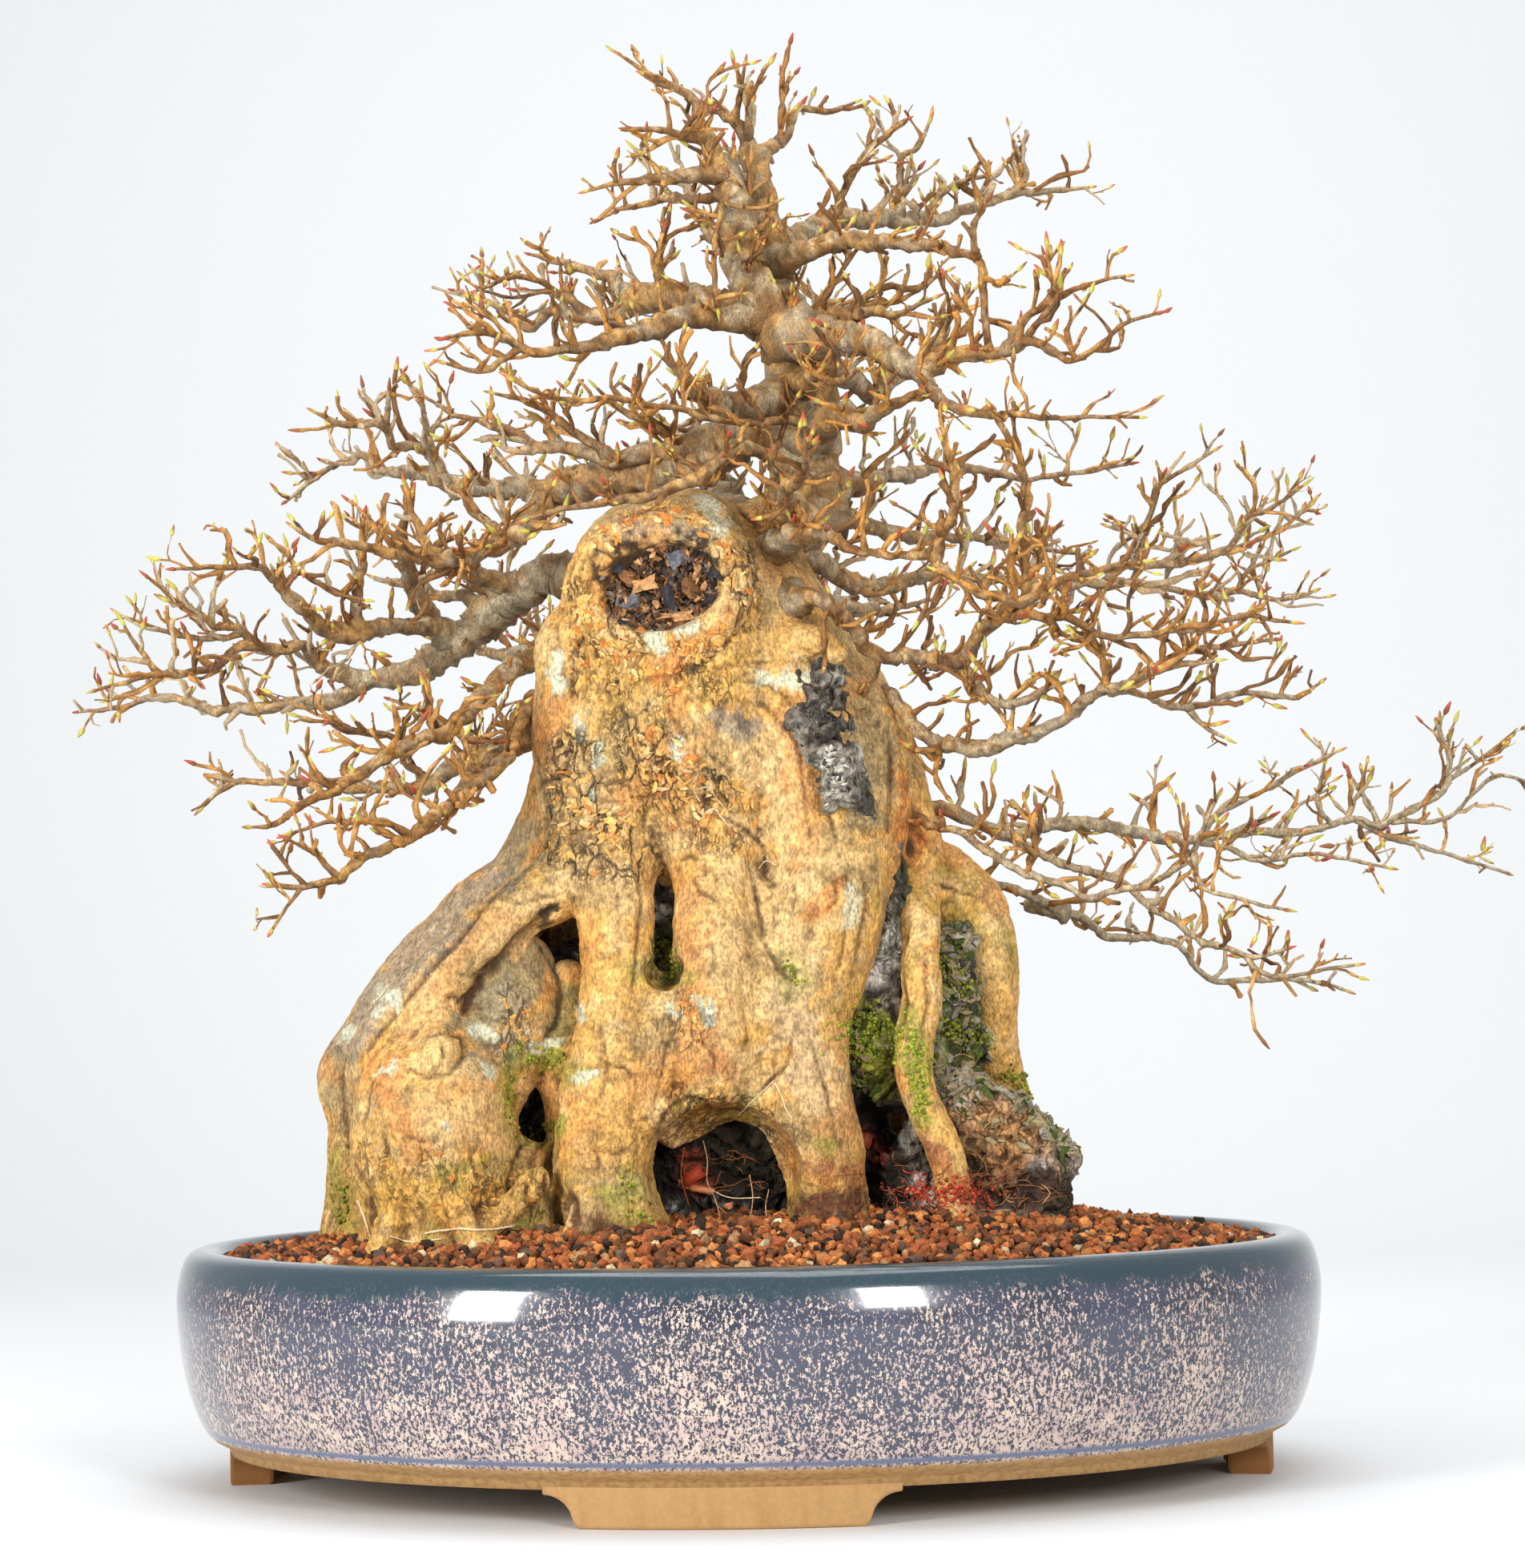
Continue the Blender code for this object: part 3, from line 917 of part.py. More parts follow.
def soil_height(x, y, share):
    """Top of the soil: a mound with the relief of coarse grains, a little below the lip at the wall."""
    mound = SOIL_AT_WALL + SOIL_MOUND * (1.0 - share ** MOUND_POWER)
    mound += BANK_HEIGHT * math.exp(-((x - BANK_X) ** 2 + y ** 2) / BANK_SPREAD ** 2)
    grain = noise.cell(Vector((x, y, 0.0)) * GRAINS_PER_METRE) * 2 - 1
    return mound + grain * GRAIN_RELIEF * min(1.0, (1.0 - share) / RELIEF_MARGIN)


def make_soil(collection):
    """The grit that fills the pot."""
    half = POT_LENGTH / 2
    wall = [(half - inset * MM - GAP, height * MM) for inset, height in WALL_INSIDE]
    wall_top = (wall[1][0], SOIL_AT_WALL)
    rings = [(wall_top[0] * i / SOIL_RINGS, POT_HEIGHT) for i in range(SOIL_RINGS)]
    floor = (wall[-1][0], wall[-1][1] + GAP)
    profile = rings + [wall_top, wall[1], wall[2], wall[3], floor, (0.0, floor[1])]
    soil = turned("soil", profile, collection)
    sheet = bmesh.new()
    sheet.from_mesh(soil.data)
    for vert in sheet.verts:
        angle = math.atan2(vert.co.y, vert.co.x)
        radius = math.hypot(vert.co.x, vert.co.y)
        if vert.co.z > SOIL_AT_WALL + GAP:
            share = radius / wall_top[0]
            vert.co.xy = oval_edge(angle, half - wall_top[0]) * share
            vert.co.z = soil_height(vert.co.x, vert.co.y, share)
        elif radius > 0.0:
            vert.co.xy = oval_edge(angle, half - radius)
    outward(sheet)
    sheet.to_mesh(soil.data)
    sheet.free()
    return soil


def drain_pockets(helpers):
    """Room in the soil for the nets and their clips."""
    pockets = []
    half = SCREEN_SIZE / 2 + GAP
    net_top = FLOOR_TOP + SCREEN_THICKNESS + 2 * GAP
    for side in (-1, 1):
        x = side * DRAIN_HOLE_X
        pockets.append(make_box("pocket", (x - half, -half, 0.0), (x + half, half, net_top), helpers))
        leg = (SCREEN_SIZE - SCREEN_STRAND) / SCREEN_CELLS / 2
        wire = CLIP_WIRE_RADIUS + GAP
        low = (x - leg - wire, leg - wire, net_top - MM)
        high = (x + leg + wire, leg + wire, net_top + 2 * wire + GAP)
        pockets.append(make_box("pocket", low, high, helpers))
    return pockets


def stand_on_origin(things):
    """Move everything so that the middle of the whole box, on the ground, is the origin."""
    corners = [vert.co for thing in things for vert in thing.data.vertices]
    low = [min(corner[axis] for corner in corners) for axis in range(3)]
    high = [max(corner[axis] for corner in corners) for axis in range(3)]
    shift = Vector((-(low[0] + high[0]) / 2, -(low[1] + high[1]) / 2, -low[2]))
    for thing in things:
        thing.data.transform(Matrix.Translation(shift))


def main():
    """Build the pieces and colour them."""
    clear_scene()
    scene_root = bpy.context.scene.collection
    parts = bpy.data.collections.new("trident_maple_bonsai")
    helpers = bpy.data.collections.new("cutters")
    scene_root.children.link(parts)
    scene_root.children.link(helpers)

    pot = make_pot(parts, helpers)
    rock = make_rock(parts, helpers)
    trunk = make_trunk(helpers)
    tree = make_tree(trunk, parts, helpers)
    combine(tree, [grown_copy(rock, WOOD_CLEARANCE, helpers)], "DIFFERENCE", helpers)
    combine(tree, [plain_copy(rock, helpers)], "DIFFERENCE", helpers)
    keep_largest_body(tree)

    soil = make_soil(parts)
    room = [grown_copy(thing, SOIL_CLEARANCE, helpers) for thing in (trunk, rock)]
    combine(soil, room, "DIFFERENCE", helpers)
    combine(soil, [plain_copy(thing, helpers) for thing in (tree, rock)], "DIFFERENCE", helpers)
    combine(soil, drain_pockets(helpers), "DIFFERENCE", helpers)
    keep_largest_body(soil)
    remove_all([trunk])

    screens = []
    clips = []
    for word, side in (("left", -1), ("right", 1)):
        screens.append(make_screen("drain_screen_" + word, side * DRAIN_HOLE_X, parts, helpers))
        clips.append(make_clip("screen_clip_" + word, side * DRAIN_HOLE_X, parts, helpers))

    finishes = (
        (tree, material("maple_bark", (0.46, 0.30, 0.15), 0.85)),
        (rock, material("rock", (0.16, 0.17, 0.16), 0.9)),
        (soil, material("grit", (0.13, 0.06, 0.035), 0.95)),
        (pot, material("glaze", (0.09, 0.12, 0.19), 0.25)),
    )
    for thing, finish in finishes:
        thing.data.materials.clear()
        thing.data.materials.append(finish)
    net = material("screen_plastic", (0.03, 0.03, 0.03), 0.6)
    wire = material("clip_aluminium", (0.75, 0.75, 0.76), 0.35, 1.0)
    for thing in screens:
        thing.data.materials.append(net)
    for thing in clips:
        thing.data.materials.append(wire)
    stand_on_origin([tree, rock, soil, pot] + screens + clips)


main()
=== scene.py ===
"""Looks of a trident maple bonsai that clasps a rock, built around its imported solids.

Metres, +Z up, front towards -Y. Shapes are made in the pot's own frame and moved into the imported
frame at the end.
"""
import math
import random

import bmesh
import bpy
import numpy as np
from mathutils import Matrix, Vector, noise
from mathutils.bvhtree import BVHTree


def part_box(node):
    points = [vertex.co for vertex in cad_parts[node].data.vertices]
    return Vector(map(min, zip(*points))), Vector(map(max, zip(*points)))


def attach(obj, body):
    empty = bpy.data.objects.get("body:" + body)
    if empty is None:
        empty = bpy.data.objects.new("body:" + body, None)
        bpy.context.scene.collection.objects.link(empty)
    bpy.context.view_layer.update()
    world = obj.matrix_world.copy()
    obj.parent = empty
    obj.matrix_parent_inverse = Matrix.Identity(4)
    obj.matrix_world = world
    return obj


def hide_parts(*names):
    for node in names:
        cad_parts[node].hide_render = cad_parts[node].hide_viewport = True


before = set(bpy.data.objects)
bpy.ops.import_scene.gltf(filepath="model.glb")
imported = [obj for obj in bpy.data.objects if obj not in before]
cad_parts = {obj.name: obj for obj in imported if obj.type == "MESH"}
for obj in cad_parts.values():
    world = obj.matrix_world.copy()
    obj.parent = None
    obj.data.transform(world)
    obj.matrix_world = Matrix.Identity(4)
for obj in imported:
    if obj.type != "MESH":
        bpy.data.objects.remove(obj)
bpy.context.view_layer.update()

MM = 0.001

# Where the pot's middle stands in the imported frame
POT_BOX = [Vector(corner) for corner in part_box("pot")]
POT_MIDDLE = Vector(((POT_BOX[0].x + POT_BOX[1].x) / 2, 0.0, 0.0))

# The photographer's eye, and how its camera is turned
EYE = Vector((0.10675, -1.59538, 0.19421))
EYE_RIGHT = Vector((0.99793, 0.06156, -0.01857))
EYE_UP = Vector((0.02174, -0.05119, 0.99846))
LENS = 90.32
SENSOR = 36.0

# The pot, in millimetres, in the sizes of its solid
POT_LENGTH = 460
POT_DEPTH = 375
LONG_HALF, SHORT_HALF = POT_LENGTH / 2, POT_DEPTH / 2
BASE_UNDERSIDE = 14
BASE_INSET = 21
WALL_INSIDE_INSET = 18.2
FOOT_THICKNESS = 17
FOOT_SCROLL = 12
FOOT_RISE = 12
FOOT_TUCK = 3.5
FOOT_EDGE = 1.3
DRAIN_HOLE_RADIUS = 13
DRAIN_HOLE_X = 95

# A place is (across, up, depth, radius) in millimetres, as the eye sees it on the pot's middle plane

# Stone as chunks: middle, half sizes and lean about Y in degrees
ROCK_CHUNKS = (
    ((2, 185, 10), (52, 78, 33), 4),
    ((-8, 106, 20), (72, 40, 36), 0),
    ((-62, 178, 0), (20, 38, 24), -14),
    ((-84, 148, 26), (20, 30, 18), 0),
    ((36, 292, -16), (16, 38, 24), -12),
    ((58, 205, -2), (20, 62, 24), -12),
    ((85, 190, 4), (14, 32, 22), -8),
    ((98, 128, -6), (34, 24, 30), 38),
    ((92, 104, -4), (40, 26, 34), 0),
)

# Trunk and roots as strands that flow together
TRUNK_STRANDS = (
    # the old head and the columns under it
    ((-24, 352, 0, 48), (-22, 325, 0, 50)),
    ((-50, 330, -6, 32), (-51, 300, -6, 33), (-54, 270, -5, 30)),
    ((-20, 330, -4, 46), (-16, 300, -4, 47), (-14, 274, -3, 42)),
    ((6, 345, 0, 34), (16, 320, -3, 36), (28, 290, -5, 38), (34, 262, -6, 36)),
    ((-60, 332, -12, 23), (-60, 316, -12, 22)),
    ((10, 372, 4, 22), (26, 388, 5, 17), (31, 402, 5, 14)),
    # roots on the left, from the back to the front
    ((-62, 285, 4, 22), (-70, 262, 6, 21), (-86, 238, 8, 19), (-104, 226, 10, 18), (-116, 213, 12, 18),
     (-130, 199, 13, 18), (-146, 177, 14, 18), (-158, 161, 14, 17), (-157, 145, 12, 15),
     (-157, 125, 10, 14), (-158, 100, 10, 15), (-158, 78, 10, 17)),
    ((-60, 262, -22, 18), (-72, 241, -32, 14), (-91, 229, -37, 12), (-110, 213, -40, 12),
     (-128, 196, -40, 13), (-143, 179, -40, 14), (-150, 165, -38, 13)),
    ((-122, 170, -36, 24), (-126, 150, -42, 33), (-126, 128, -44, 34), (-124, 108, -42, 33),
     (-122, 84, -40, 34)),
    ((-125, 171, -60, 10), (-126, 168, -64, 9)),
    ((-92, 205, -22, 14), (-95, 188, -28, 18), (-100, 170, -32, 18), (-103, 154, -34, 14)),
    ((-90, 128, -34, 9), (-89, 116, -38, 12), (-90, 100, -42, 15), (-92, 80, -44, 18)),
    # the front leg left of the middle, with its toe
    ((-48, 264, -22, 22), (-52, 242, -32, 17), (-51, 222, -38, 15), (-50, 196, -41, 15),
     (-52, 170, -43, 18), (-56, 146, -45, 20), (-58, 120, -47, 20), (-52, 98, -50, 20),
     (-48, 78, -50, 22)),
    ((-50, 112, -48, 14), (-40, 97, -54, 12), (-33, 84, -56, 12)),
    # the front leg right of the middle, that ends over the dark cave
    ((-12, 264, -20, 26), (-9, 240, -32, 18), (-10, 215, -38, 18), (-11, 192, -40, 21),
     (-13, 170, -40, 22), (-17, 155, -36, 19), (-26, 148, -32, 16)),
    # the big right leg
    ((30, 262, -12, 32), (35, 240, -22, 26), (33, 221, -28, 25), (29, 201, -33, 21), (25, 182, -36, 18),
     (24, 162, -37, 19), (25, 143, -38, 20), (28, 127, -38, 20), (32, 112, -36, 17), (36, 84, -32, 16)),
    # the right shoulder and its two roots
    ((44, 322, 8, 13), (56, 298, 6, 14), (66, 270, 2, 13), (72, 248, 0, 12), (76, 232, 2, 14),
     (84, 225, 8, 15)),
    ((44, 322, -12, 10), (57, 298, -18, 10), (60, 273, -18, 11), (57, 252, -18, 11), (50, 232, -20, 12)),
    ((72, 240, -8, 10), (73, 222, -20, 9), (73, 207, -26, 8), (73, 190, -31, 8), (70, 174, -34, 8),
     (69, 161, -36, 7.5), (72, 149, -38, 7.5), (77, 138, -40, 7.5), (81, 128, -41, 7), (84, 117, -42, 7),
     (88, 84, -43, 8)),
    ((80, 240, 8, 14), (92, 228, 4, 14), (99, 214, 0, 12), (103, 198, 0, 9.5), (103, 180, 3, 9),
     (103, 165, 10, 10), (105, 145, 26, 12), (105, 115, 36, 13), (105, 82, 38, 14)),
    # the wall that closes the left side, over and beside its small hole
    ((-92, 176, -24, 14), (-80, 173, -26, 12), (-72, 166, -28, 10)),
    ((-76, 164, -26, 9), (-73, 142, -28, 8), (-74, 120, -30, 9)),
    # roots at the back
    ((-30, 300, 24, 28), (-56, 262, 34, 26), (-76, 226, 42, 20), (-98, 196, 48, 17), (-114, 164, 52, 18),
     (-122, 132, 56, 21), (-124, 104, 58, 22), (-126, 78, 58, 24)),
    ((-74, 228, 44, 15), (-66, 192, 60, 14), (-54, 160, 68, 15), (-48, 128, 72, 17), (-52, 102, 74, 17),
     (-56, 78, 76, 18)),
    ((0, 292, 24, 32), (6, 252, 38, 28), (-6, 214, 48, 19), (-14, 184, 56, 16), (-4, 152, 64, 18),
     (8, 122, 68, 20), (6, 98, 68, 20), (2, 78, 68, 23)),
    ((30, 284, 20, 28), (48, 248, 34, 24), (62, 214, 44, 17), (58, 184, 54, 15), (66, 154, 60, 16),
     (78, 124, 62, 18), (84, 98, 62, 18), (88, 78, 62, 19)),
    ((6, 252, 42, 14), (28, 222, 54, 13), (46, 200, 57, 12), (58, 184, 56, 12)),
)

# Limbs, each from inside the wood that bears it to its furthest tip
LIMBS = (
    # the leader and the top
    ((30, 385, 4, 14), (31, 415, 5, 12.5), (28, 440, 4, 12), (22, 460, 2, 11), (11, 478, 0, 9),
     (6, 495, -2, 8), (4, 512, -3, 7), (0, 528, -4, 6.5), (-6, 540, -6, 5), (-11, 550, -8, 4),
     (-14, 560, -10, 3), (-29, 570, -12, 2), (-42, 579, -14, 1)),
    ((29, 458, 8, 7), (25, 476, 11, 6), (17, 494, 12, 6.5), (15, 512, 12, 6.5), (13, 530, 12, 6),
     (8, 544, 12, 4.5), (0, 553, 12, 3.5), (-9, 557, 12, 2)),
    ((12, 534, 12, 4), (21, 541, 16, 3.5), (26, 548, 18, 3), (29, 554, 20, 2.5), (42, 553, 24, 2),
     (53, 557, 27, 1)),
    ((10, 544, 10, 2.5), (10, 558, 6, 2), (15, 570, 3, 1.4)),
    ((3, 552, 10, 2.2), (6, 562, 8, 1.6), (8, 573, 6, 1)),
    ((-8, 545, -6, 3.5), (-22, 547, -12, 2.2), (-39, 549, -18, 1.2)),
    ((-3, 530, -3, 5), (-18, 529, -8, 4), (-32, 528, -14, 3), (-42, 527, -18, 2), (-57, 524, -22, 1)),
    ((-2, 519, 2, 3.5), (-18, 521, 8, 3), (-30, 519, 12, 2.5), (-44, 516, 18, 1.6), (-53, 512, 22, 1)),
    ((-4, 522, -6, 2.4), (-5, 505, -14, 1.8), (-6, 490, -16, 1.8), (-5, 474, -14, 2)),
    # high on the right
    ((16, 500, 12, 6.5), (30, 502, 22, 6), (42, 507, 30, 5.5), (56, 507, 38, 5), (70, 508, 44, 4.5),
     (85, 507, 50, 4), (97, 511, 54, 3.5), (108, 515, 58, 3), (119, 518, 62, 2.6), (132, 517, 66, 2),
     (148, 519, 70, 1)),
    ((117, 517, 62, 2.4), (122, 527, 65, 2), (118, 538, 66, 1)),
    ((42, 506, 30, 3.2), (48, 520, 26, 2.6), (55, 533, 22, 2.2), (64, 543, 18, 2), (74, 549, 14, 1.6)),
    ((70, 507, 44, 3), (70, 522, 48, 2.6), (71, 533, 50, 2.2), (78, 537, 46, 1.6), (83, 547, 44, 1)),
    ((80, 508, 48, 2.4), (88, 518, 54, 2), (94, 522, 58, 1.8), (107, 525, 62, 1)),
    ((20, 494, 4, 6), (33, 498, -6, 5.5), (45, 500, -14, 5), (60, 499, -22, 4.5), (75, 498, -30, 4),
     (90, 495, -36, 3.2), (101, 492, -40, 2.8), (104, 482, -42, 2.6), (104, 468, -42, 2.6),
     (106, 453, -41, 2.6)),
    ((101, 492, -40, 2.2), (101, 503, -44, 2), (106, 514, -48, 1.4)),
    # the middle right
    ((32, 465, -4, 9), (45, 460, -16, 7), (56, 458, -24, 6.5), (66, 452, -32, 6), (76, 446, -38, 5.5),
     (88, 451, -40, 4.5), (100, 453, -42, 4), (112, 453, -44, 3.5), (124, 456, -48, 3),
     (131, 453, -50, 2.6), (139, 448, -54, 2.2), (149, 452, -58, 1.8), (161, 462, -62, 1.4),
     (173, 466, -66, 1)),
    ((113, 454, -44, 2.6), (122, 467, -46, 2.4), (131, 476, -48, 2.2), (135, 489, -50, 1)),
    ((119, 455, -46, 2.4), (130, 468, -50, 2.2), (138, 476, -54, 2), (150, 480, -58, 1.6),
     (162, 482, -62, 1)),
    ((84, 449, -39, 3), (88, 462, -34, 2.4), (94, 471, -32, 1.8), (100, 478, -30, 1)),
    ((76, 446, -38, 4), (82, 438, -44, 4), (88, 431, -50, 3.4), (100, 428, -56, 2.6), (116, 426, -62, 2),
     (134, 425, -68, 1.6), (166, 424, -80, 1)),
    ((38, 450, 8, 6), (50, 444, 16, 5.5), (58, 437, 22, 5), (66, 441, 28, 4), (76, 449, 34, 4),
     (87, 458, 38, 3), (93, 472, 42, 1.2)),
    ((28, 472, 4, 5), (38, 470, -4, 4), (50, 469, -14, 4), (60, 470, -22, 3), (70, 470, -28, 1.8),
     (83, 475, -34, 1)),
    ((48, 470, -12, 3), (56, 478, -8, 2.6), (66, 481, -6, 2.2), (78, 481, -4, 2), (89, 486, -2, 1)),
    ((32, 423, -6, 7), (44, 428, -20, 6), (52, 425, -28, 5), (60, 428, -36, 4), (70, 432, -44, 3.2),
     (78, 438, -50, 1.6)),
    # high on the left
    ((12, 470, 2, 8), (-5, 474, 2, 6.5), (-16, 479, 4, 6), (-28, 478, 8, 7), (-39, 477, 12, 6.5),
     (-49, 472, 16, 4.5), (-62, 472, 22, 4), (-73, 473, 27, 3.2), (-83, 468, 32, 3), (-91, 474, 36, 2.2),
     (-99, 479, 40, 2), (-113, 484, 46, 1)),
    ((-28, 477, 8, 4), (-29, 490, 4, 3), (-27, 502, 0, 2.6), (-24, 514, -4, 1.8)),
    ((-39, 476, 12, 5), (-48, 487, 16, 4), (-58, 492, 20, 3), (-70, 495, 24, 2.4), (-81, 498, 28, 1.2)),
    ((-58, 472, 20, 3), (-68, 479, 16, 2.6), (-75, 486, 12, 2.2), (-86, 490, 8, 1.8), (-106, 483, 0, 1)),
    ((12, 466, -4, 6), (-14, 470, -14, 5.5), (-28, 467, -20, 5.5), (-42, 464, -26, 5), (-55, 460, -32, 4),
     (-70, 458, -38, 3.2), (-80, 457, -42, 3), (-91, 463, -48, 2.6), (-103, 467, -54, 2),
     (-115, 465, -60, 1)),
    ((-86, 460, -46, 2.2), (-96, 454, -50, 2), (-103, 451, -54, 1.8), (-117, 454, -60, 1)),
    ((26, 438, -2, 8), (8, 434, -12, 6.5), (-7, 434, -20, 6), (-16, 440, -26, 4.5), (-20, 448, -30, 3.2),
     (-28, 454, -34, 1.4)),
    # the strong middle left limb and what it bears
    ((28, 424, 2, 10), (10, 424, 2, 8.5), (-4, 417, 4, 8.5), (-18, 408, 6, 9), (-35, 405, 8, 8),
     (-52, 404, 12, 7.5), (-64, 402, 16, 7.5), (-76, 400, 20, 6.5), (-88, 402, 24, 5.5),
     (-100, 402, 28, 5), (-112, 403, 33, 5), (-122, 406, 38, 4.5), (-132, 409, 42, 4),
     (-143, 410, 48, 3.2), (-150, 416, 52, 2.6), (-158, 416, 56, 2.2), (-168, 410, 60, 2),
     (-184, 399, 66, 1)),
    ((-120, 405, 37, 4), (-124, 415, 34, 3.5), (-128, 420, 30, 3), (-140, 421, 26, 3),
     (-144, 429, 22, 2.8), (-158, 430, 16, 2.4), (-171, 435, 10, 1)),
    ((-124, 415, 34, 3), (-125, 427, 38, 2.6), (-127, 437, 42, 1.8), (-134, 448, 46, 1)),
    ((-143, 428, 22, 2.2), (-141, 443, 20, 1.6)),
    ((-12, 428, -2, 6), (-20, 421, 0, 5.5), (-34, 415, 2, 5), (-48, 411, 4, 5), (-62, 417, 8, 4),
     (-80, 419, 14, 3.2), (-93, 425, 18, 2.6), (-104, 431, 22, 2), (-116, 434, 26, 1.6),
     (-133, 446, 32, 1)),
    ((-46, 411, 4, 4), (-60, 421, 0, 3), (-70, 429, -4, 2.6), (-80, 436, -8, 2.2), (-97, 441, -12, 1)),
    ((-18, 422, -4, 3), (-34, 427, -12, 2.6), (-46, 433, -18, 2), (-55, 442, -24, 1)),
    ((26, 430, -10, 3.5), (8, 426, -24, 2.2), (-8, 428, -32, 2), (-20, 432, -38, 2), (-34, 434, -44, 1.9),
     (-46, 438, -50, 1.8), (-62, 437, -56, 1.6), (-78, 440, -62, 1.4), (-89, 446, -66, 1)),
    ((28, 398, -12, 6), (14, 413, -22, 4), (3, 415, -28, 3.8), (-8, 407, -34, 3.8), (-20, 401, -38, 3.6),
     (-36, 397, -44, 3.2), (-50, 395, -50, 2.6), (-64, 394, -55, 2), (-84, 389, -60, 1)),
    ((-76, 402, 20, 6), (-80, 392, 14, 5.5), (-87, 385, 8, 5.5), (-94, 380, 2, 5.5), (-103, 376, -4, 5),
     (-112, 373, -10, 5), (-122, 373, -16, 4), (-134, 376, -22, 3.6), (-146, 378, -28, 3),
     (-160, 380, -34, 2.6), (-171, 382, -40, 2), (-181, 388, -44, 1)),
    ((-94, 380, 2, 3.5), (-102, 388, 8, 3), (-109, 394, 12, 2.6), (-111, 402, 16, 1.6)),
    ((-113, 373, -10, 3.5), (-121, 377, -6, 3), (-127, 382, -2, 3), (-132, 391, 2, 2.8),
     (-132, 403, 6, 1.4)),
    # the grey left limb and what it bears
    ((-50, 364, 18, 9), (-77, 365, 28, 8), (-91, 358, 32, 8), (-98, 351, 34, 8), (-108, 344, 36, 7.5),
     (-118, 337, 38, 7), (-130, 328, 40, 6.5), (-143, 326, 42, 5.5), (-154, 324, 44, 5),
     (-164, 318, 46, 4.5), (-178, 316, 48, 4), (-198, 314, 52, 3.6), (-218, 315, 56, 3),
     (-237, 318, 60, 2.5), (-255, 316, 64, 1.8), (-271, 314, 68, 1)),
    ((-153, 324, 44, 4.5), (-166, 327, 38, 4.5), (-173, 331, 34, 4), (-177, 338, 30, 3.6),
     (-188, 339, 26, 3.4), (-198, 340, 22, 3.2), (-208, 336, 18, 2.8), (-219, 331, 14, 2.6),
     (-232, 329, 10, 2.4), (-244, 328, 6, 2), (-263, 323, 2, 1)),
    ((-198, 340, 22, 2.6), (-205, 346, 18, 2.4), (-214, 347, 14, 2.2), (-220, 353, 10, 2),
     (-231, 360, 6, 1.6), (-241, 368, 2, 1)),
    ((-204, 345, 18, 2.2), (-216, 343, 22, 2), (-228, 344, 26, 1.8), (-250, 352, 30, 1)),
    ((-238, 329, 8, 2), (-245, 337, 10, 1.8), (-252, 349, 12, 1)),
    ((-116, 338, 38, 6), (-124, 348, 30, 5), (-131, 360, 24, 5), (-133, 370, 18, 4.5), (-136, 378, 12, 4),
     (-134, 390, 8, 3), (-132, 400, 4, 1.4)),
    ((-123, 347, 31, 4.5), (-134, 346, 22, 4.5), (-146, 346, 16, 4.5), (-156, 344, 10, 5),
     (-166, 345, 4, 5), (-174, 350, -2, 4.2), (-180, 354, -6, 4), (-185, 361, -10, 3.6),
     (-190, 368, -14, 3), (-196, 372, -18, 2.4), (-210, 373, -24, 2), (-230, 372, -30, 1)),
    ((-155, 343, 10, 4), (-155, 360, 6, 3.2), (-153, 370, 2, 2.6), (-151, 391, -2, 1)),
    ((-187, 363, -11, 2.4), (-179, 369, -6, 2), (-165, 361, 0, 2), (-154, 356, 6, 2)),
    ((-86, 361, 31, 5), (-99, 363, 26, 5), (-107, 366, 20, 4.5), (-115, 371, 12, 4)),
    ((-102, 349, 34, 4), (-110, 356, 40, 4), (-118, 358, 46, 3.5), (-128, 361, 52, 3),
     (-142, 364, 58, 1.4)),
    # the three lower left limbs
    ((-58, 334, 12, 8), (-84, 331, 4, 5.5), (-97, 323, -8, 5), (-103, 317, -14, 4.5),
     (-110, 310, -20, 4.5), (-120, 302, -28, 4), (-133, 298, -38, 3.8), (-146, 292, -48, 3.6),
     (-155, 285, -55, 3.4), (-163, 281, -60, 3.2), (-173, 276, -64, 2.6), (-182, 270, -68, 2.2),
     (-190, 265, -72, 1.8), (-200, 265, -76, 1)),
    ((-66, 314, 0, 7), (-84, 302, 2, 7), (-95, 296, 4, 6), (-104, 293, 6, 5.5), (-114, 289, 8, 5),
     (-124, 283, 10, 4.5), (-134, 280, 12, 4), (-146, 280, 14, 3.6), (-160, 280, 16, 3.2),
     (-174, 283, 18, 2.8), (-188, 283, 20, 2.4), (-204, 283, 22, 2), (-212, 281, 24, 1.6),
     (-220, 274, 26, 1)),
    ((-104, 292, 6, 3.5), (-112, 300, 14, 3), (-120, 306, 22, 2.8), (-130, 312, 30, 2.2),
     (-142, 316, 38, 1)),
    ((-127, 282, 11, 3), (-136, 291, 4, 2.6), (-140, 300, -2, 2.2), (-152, 303, -8, 1.8),
     (-180, 310, -20, 1)),
    ((-58, 318, 6, 7), (-84, 311, -4, 5), (-90, 300, -14, 4.5), (-96, 291, -22, 4), (-104, 284, -32, 4),
     (-112, 277, -42, 4), (-118, 271, -48, 3.8), (-126, 266, -56, 3.6), (-135, 260, -62, 3.4),
     (-148, 255, -70, 3.2), (-158, 249, -74, 2.8), (-167, 243, -78, 2.4), (-178, 240, -82, 2),
     (-192, 241, -88, 1.2)),
    ((-133, 260, -64, 2.2), (-147, 266, -68, 2), (-160, 267, -72, 1.8), (-170, 266, -76, 1.5),
     (-184, 262, -80, 1)),
    ((-165, 244, -76, 1.8), (-173, 252, -80, 1.4), (-184, 259, -84, 1)),
    ((-180, 240, -84, 1.5), (-186, 232, -88, 1.2), (-192, 223, -92, 1)),
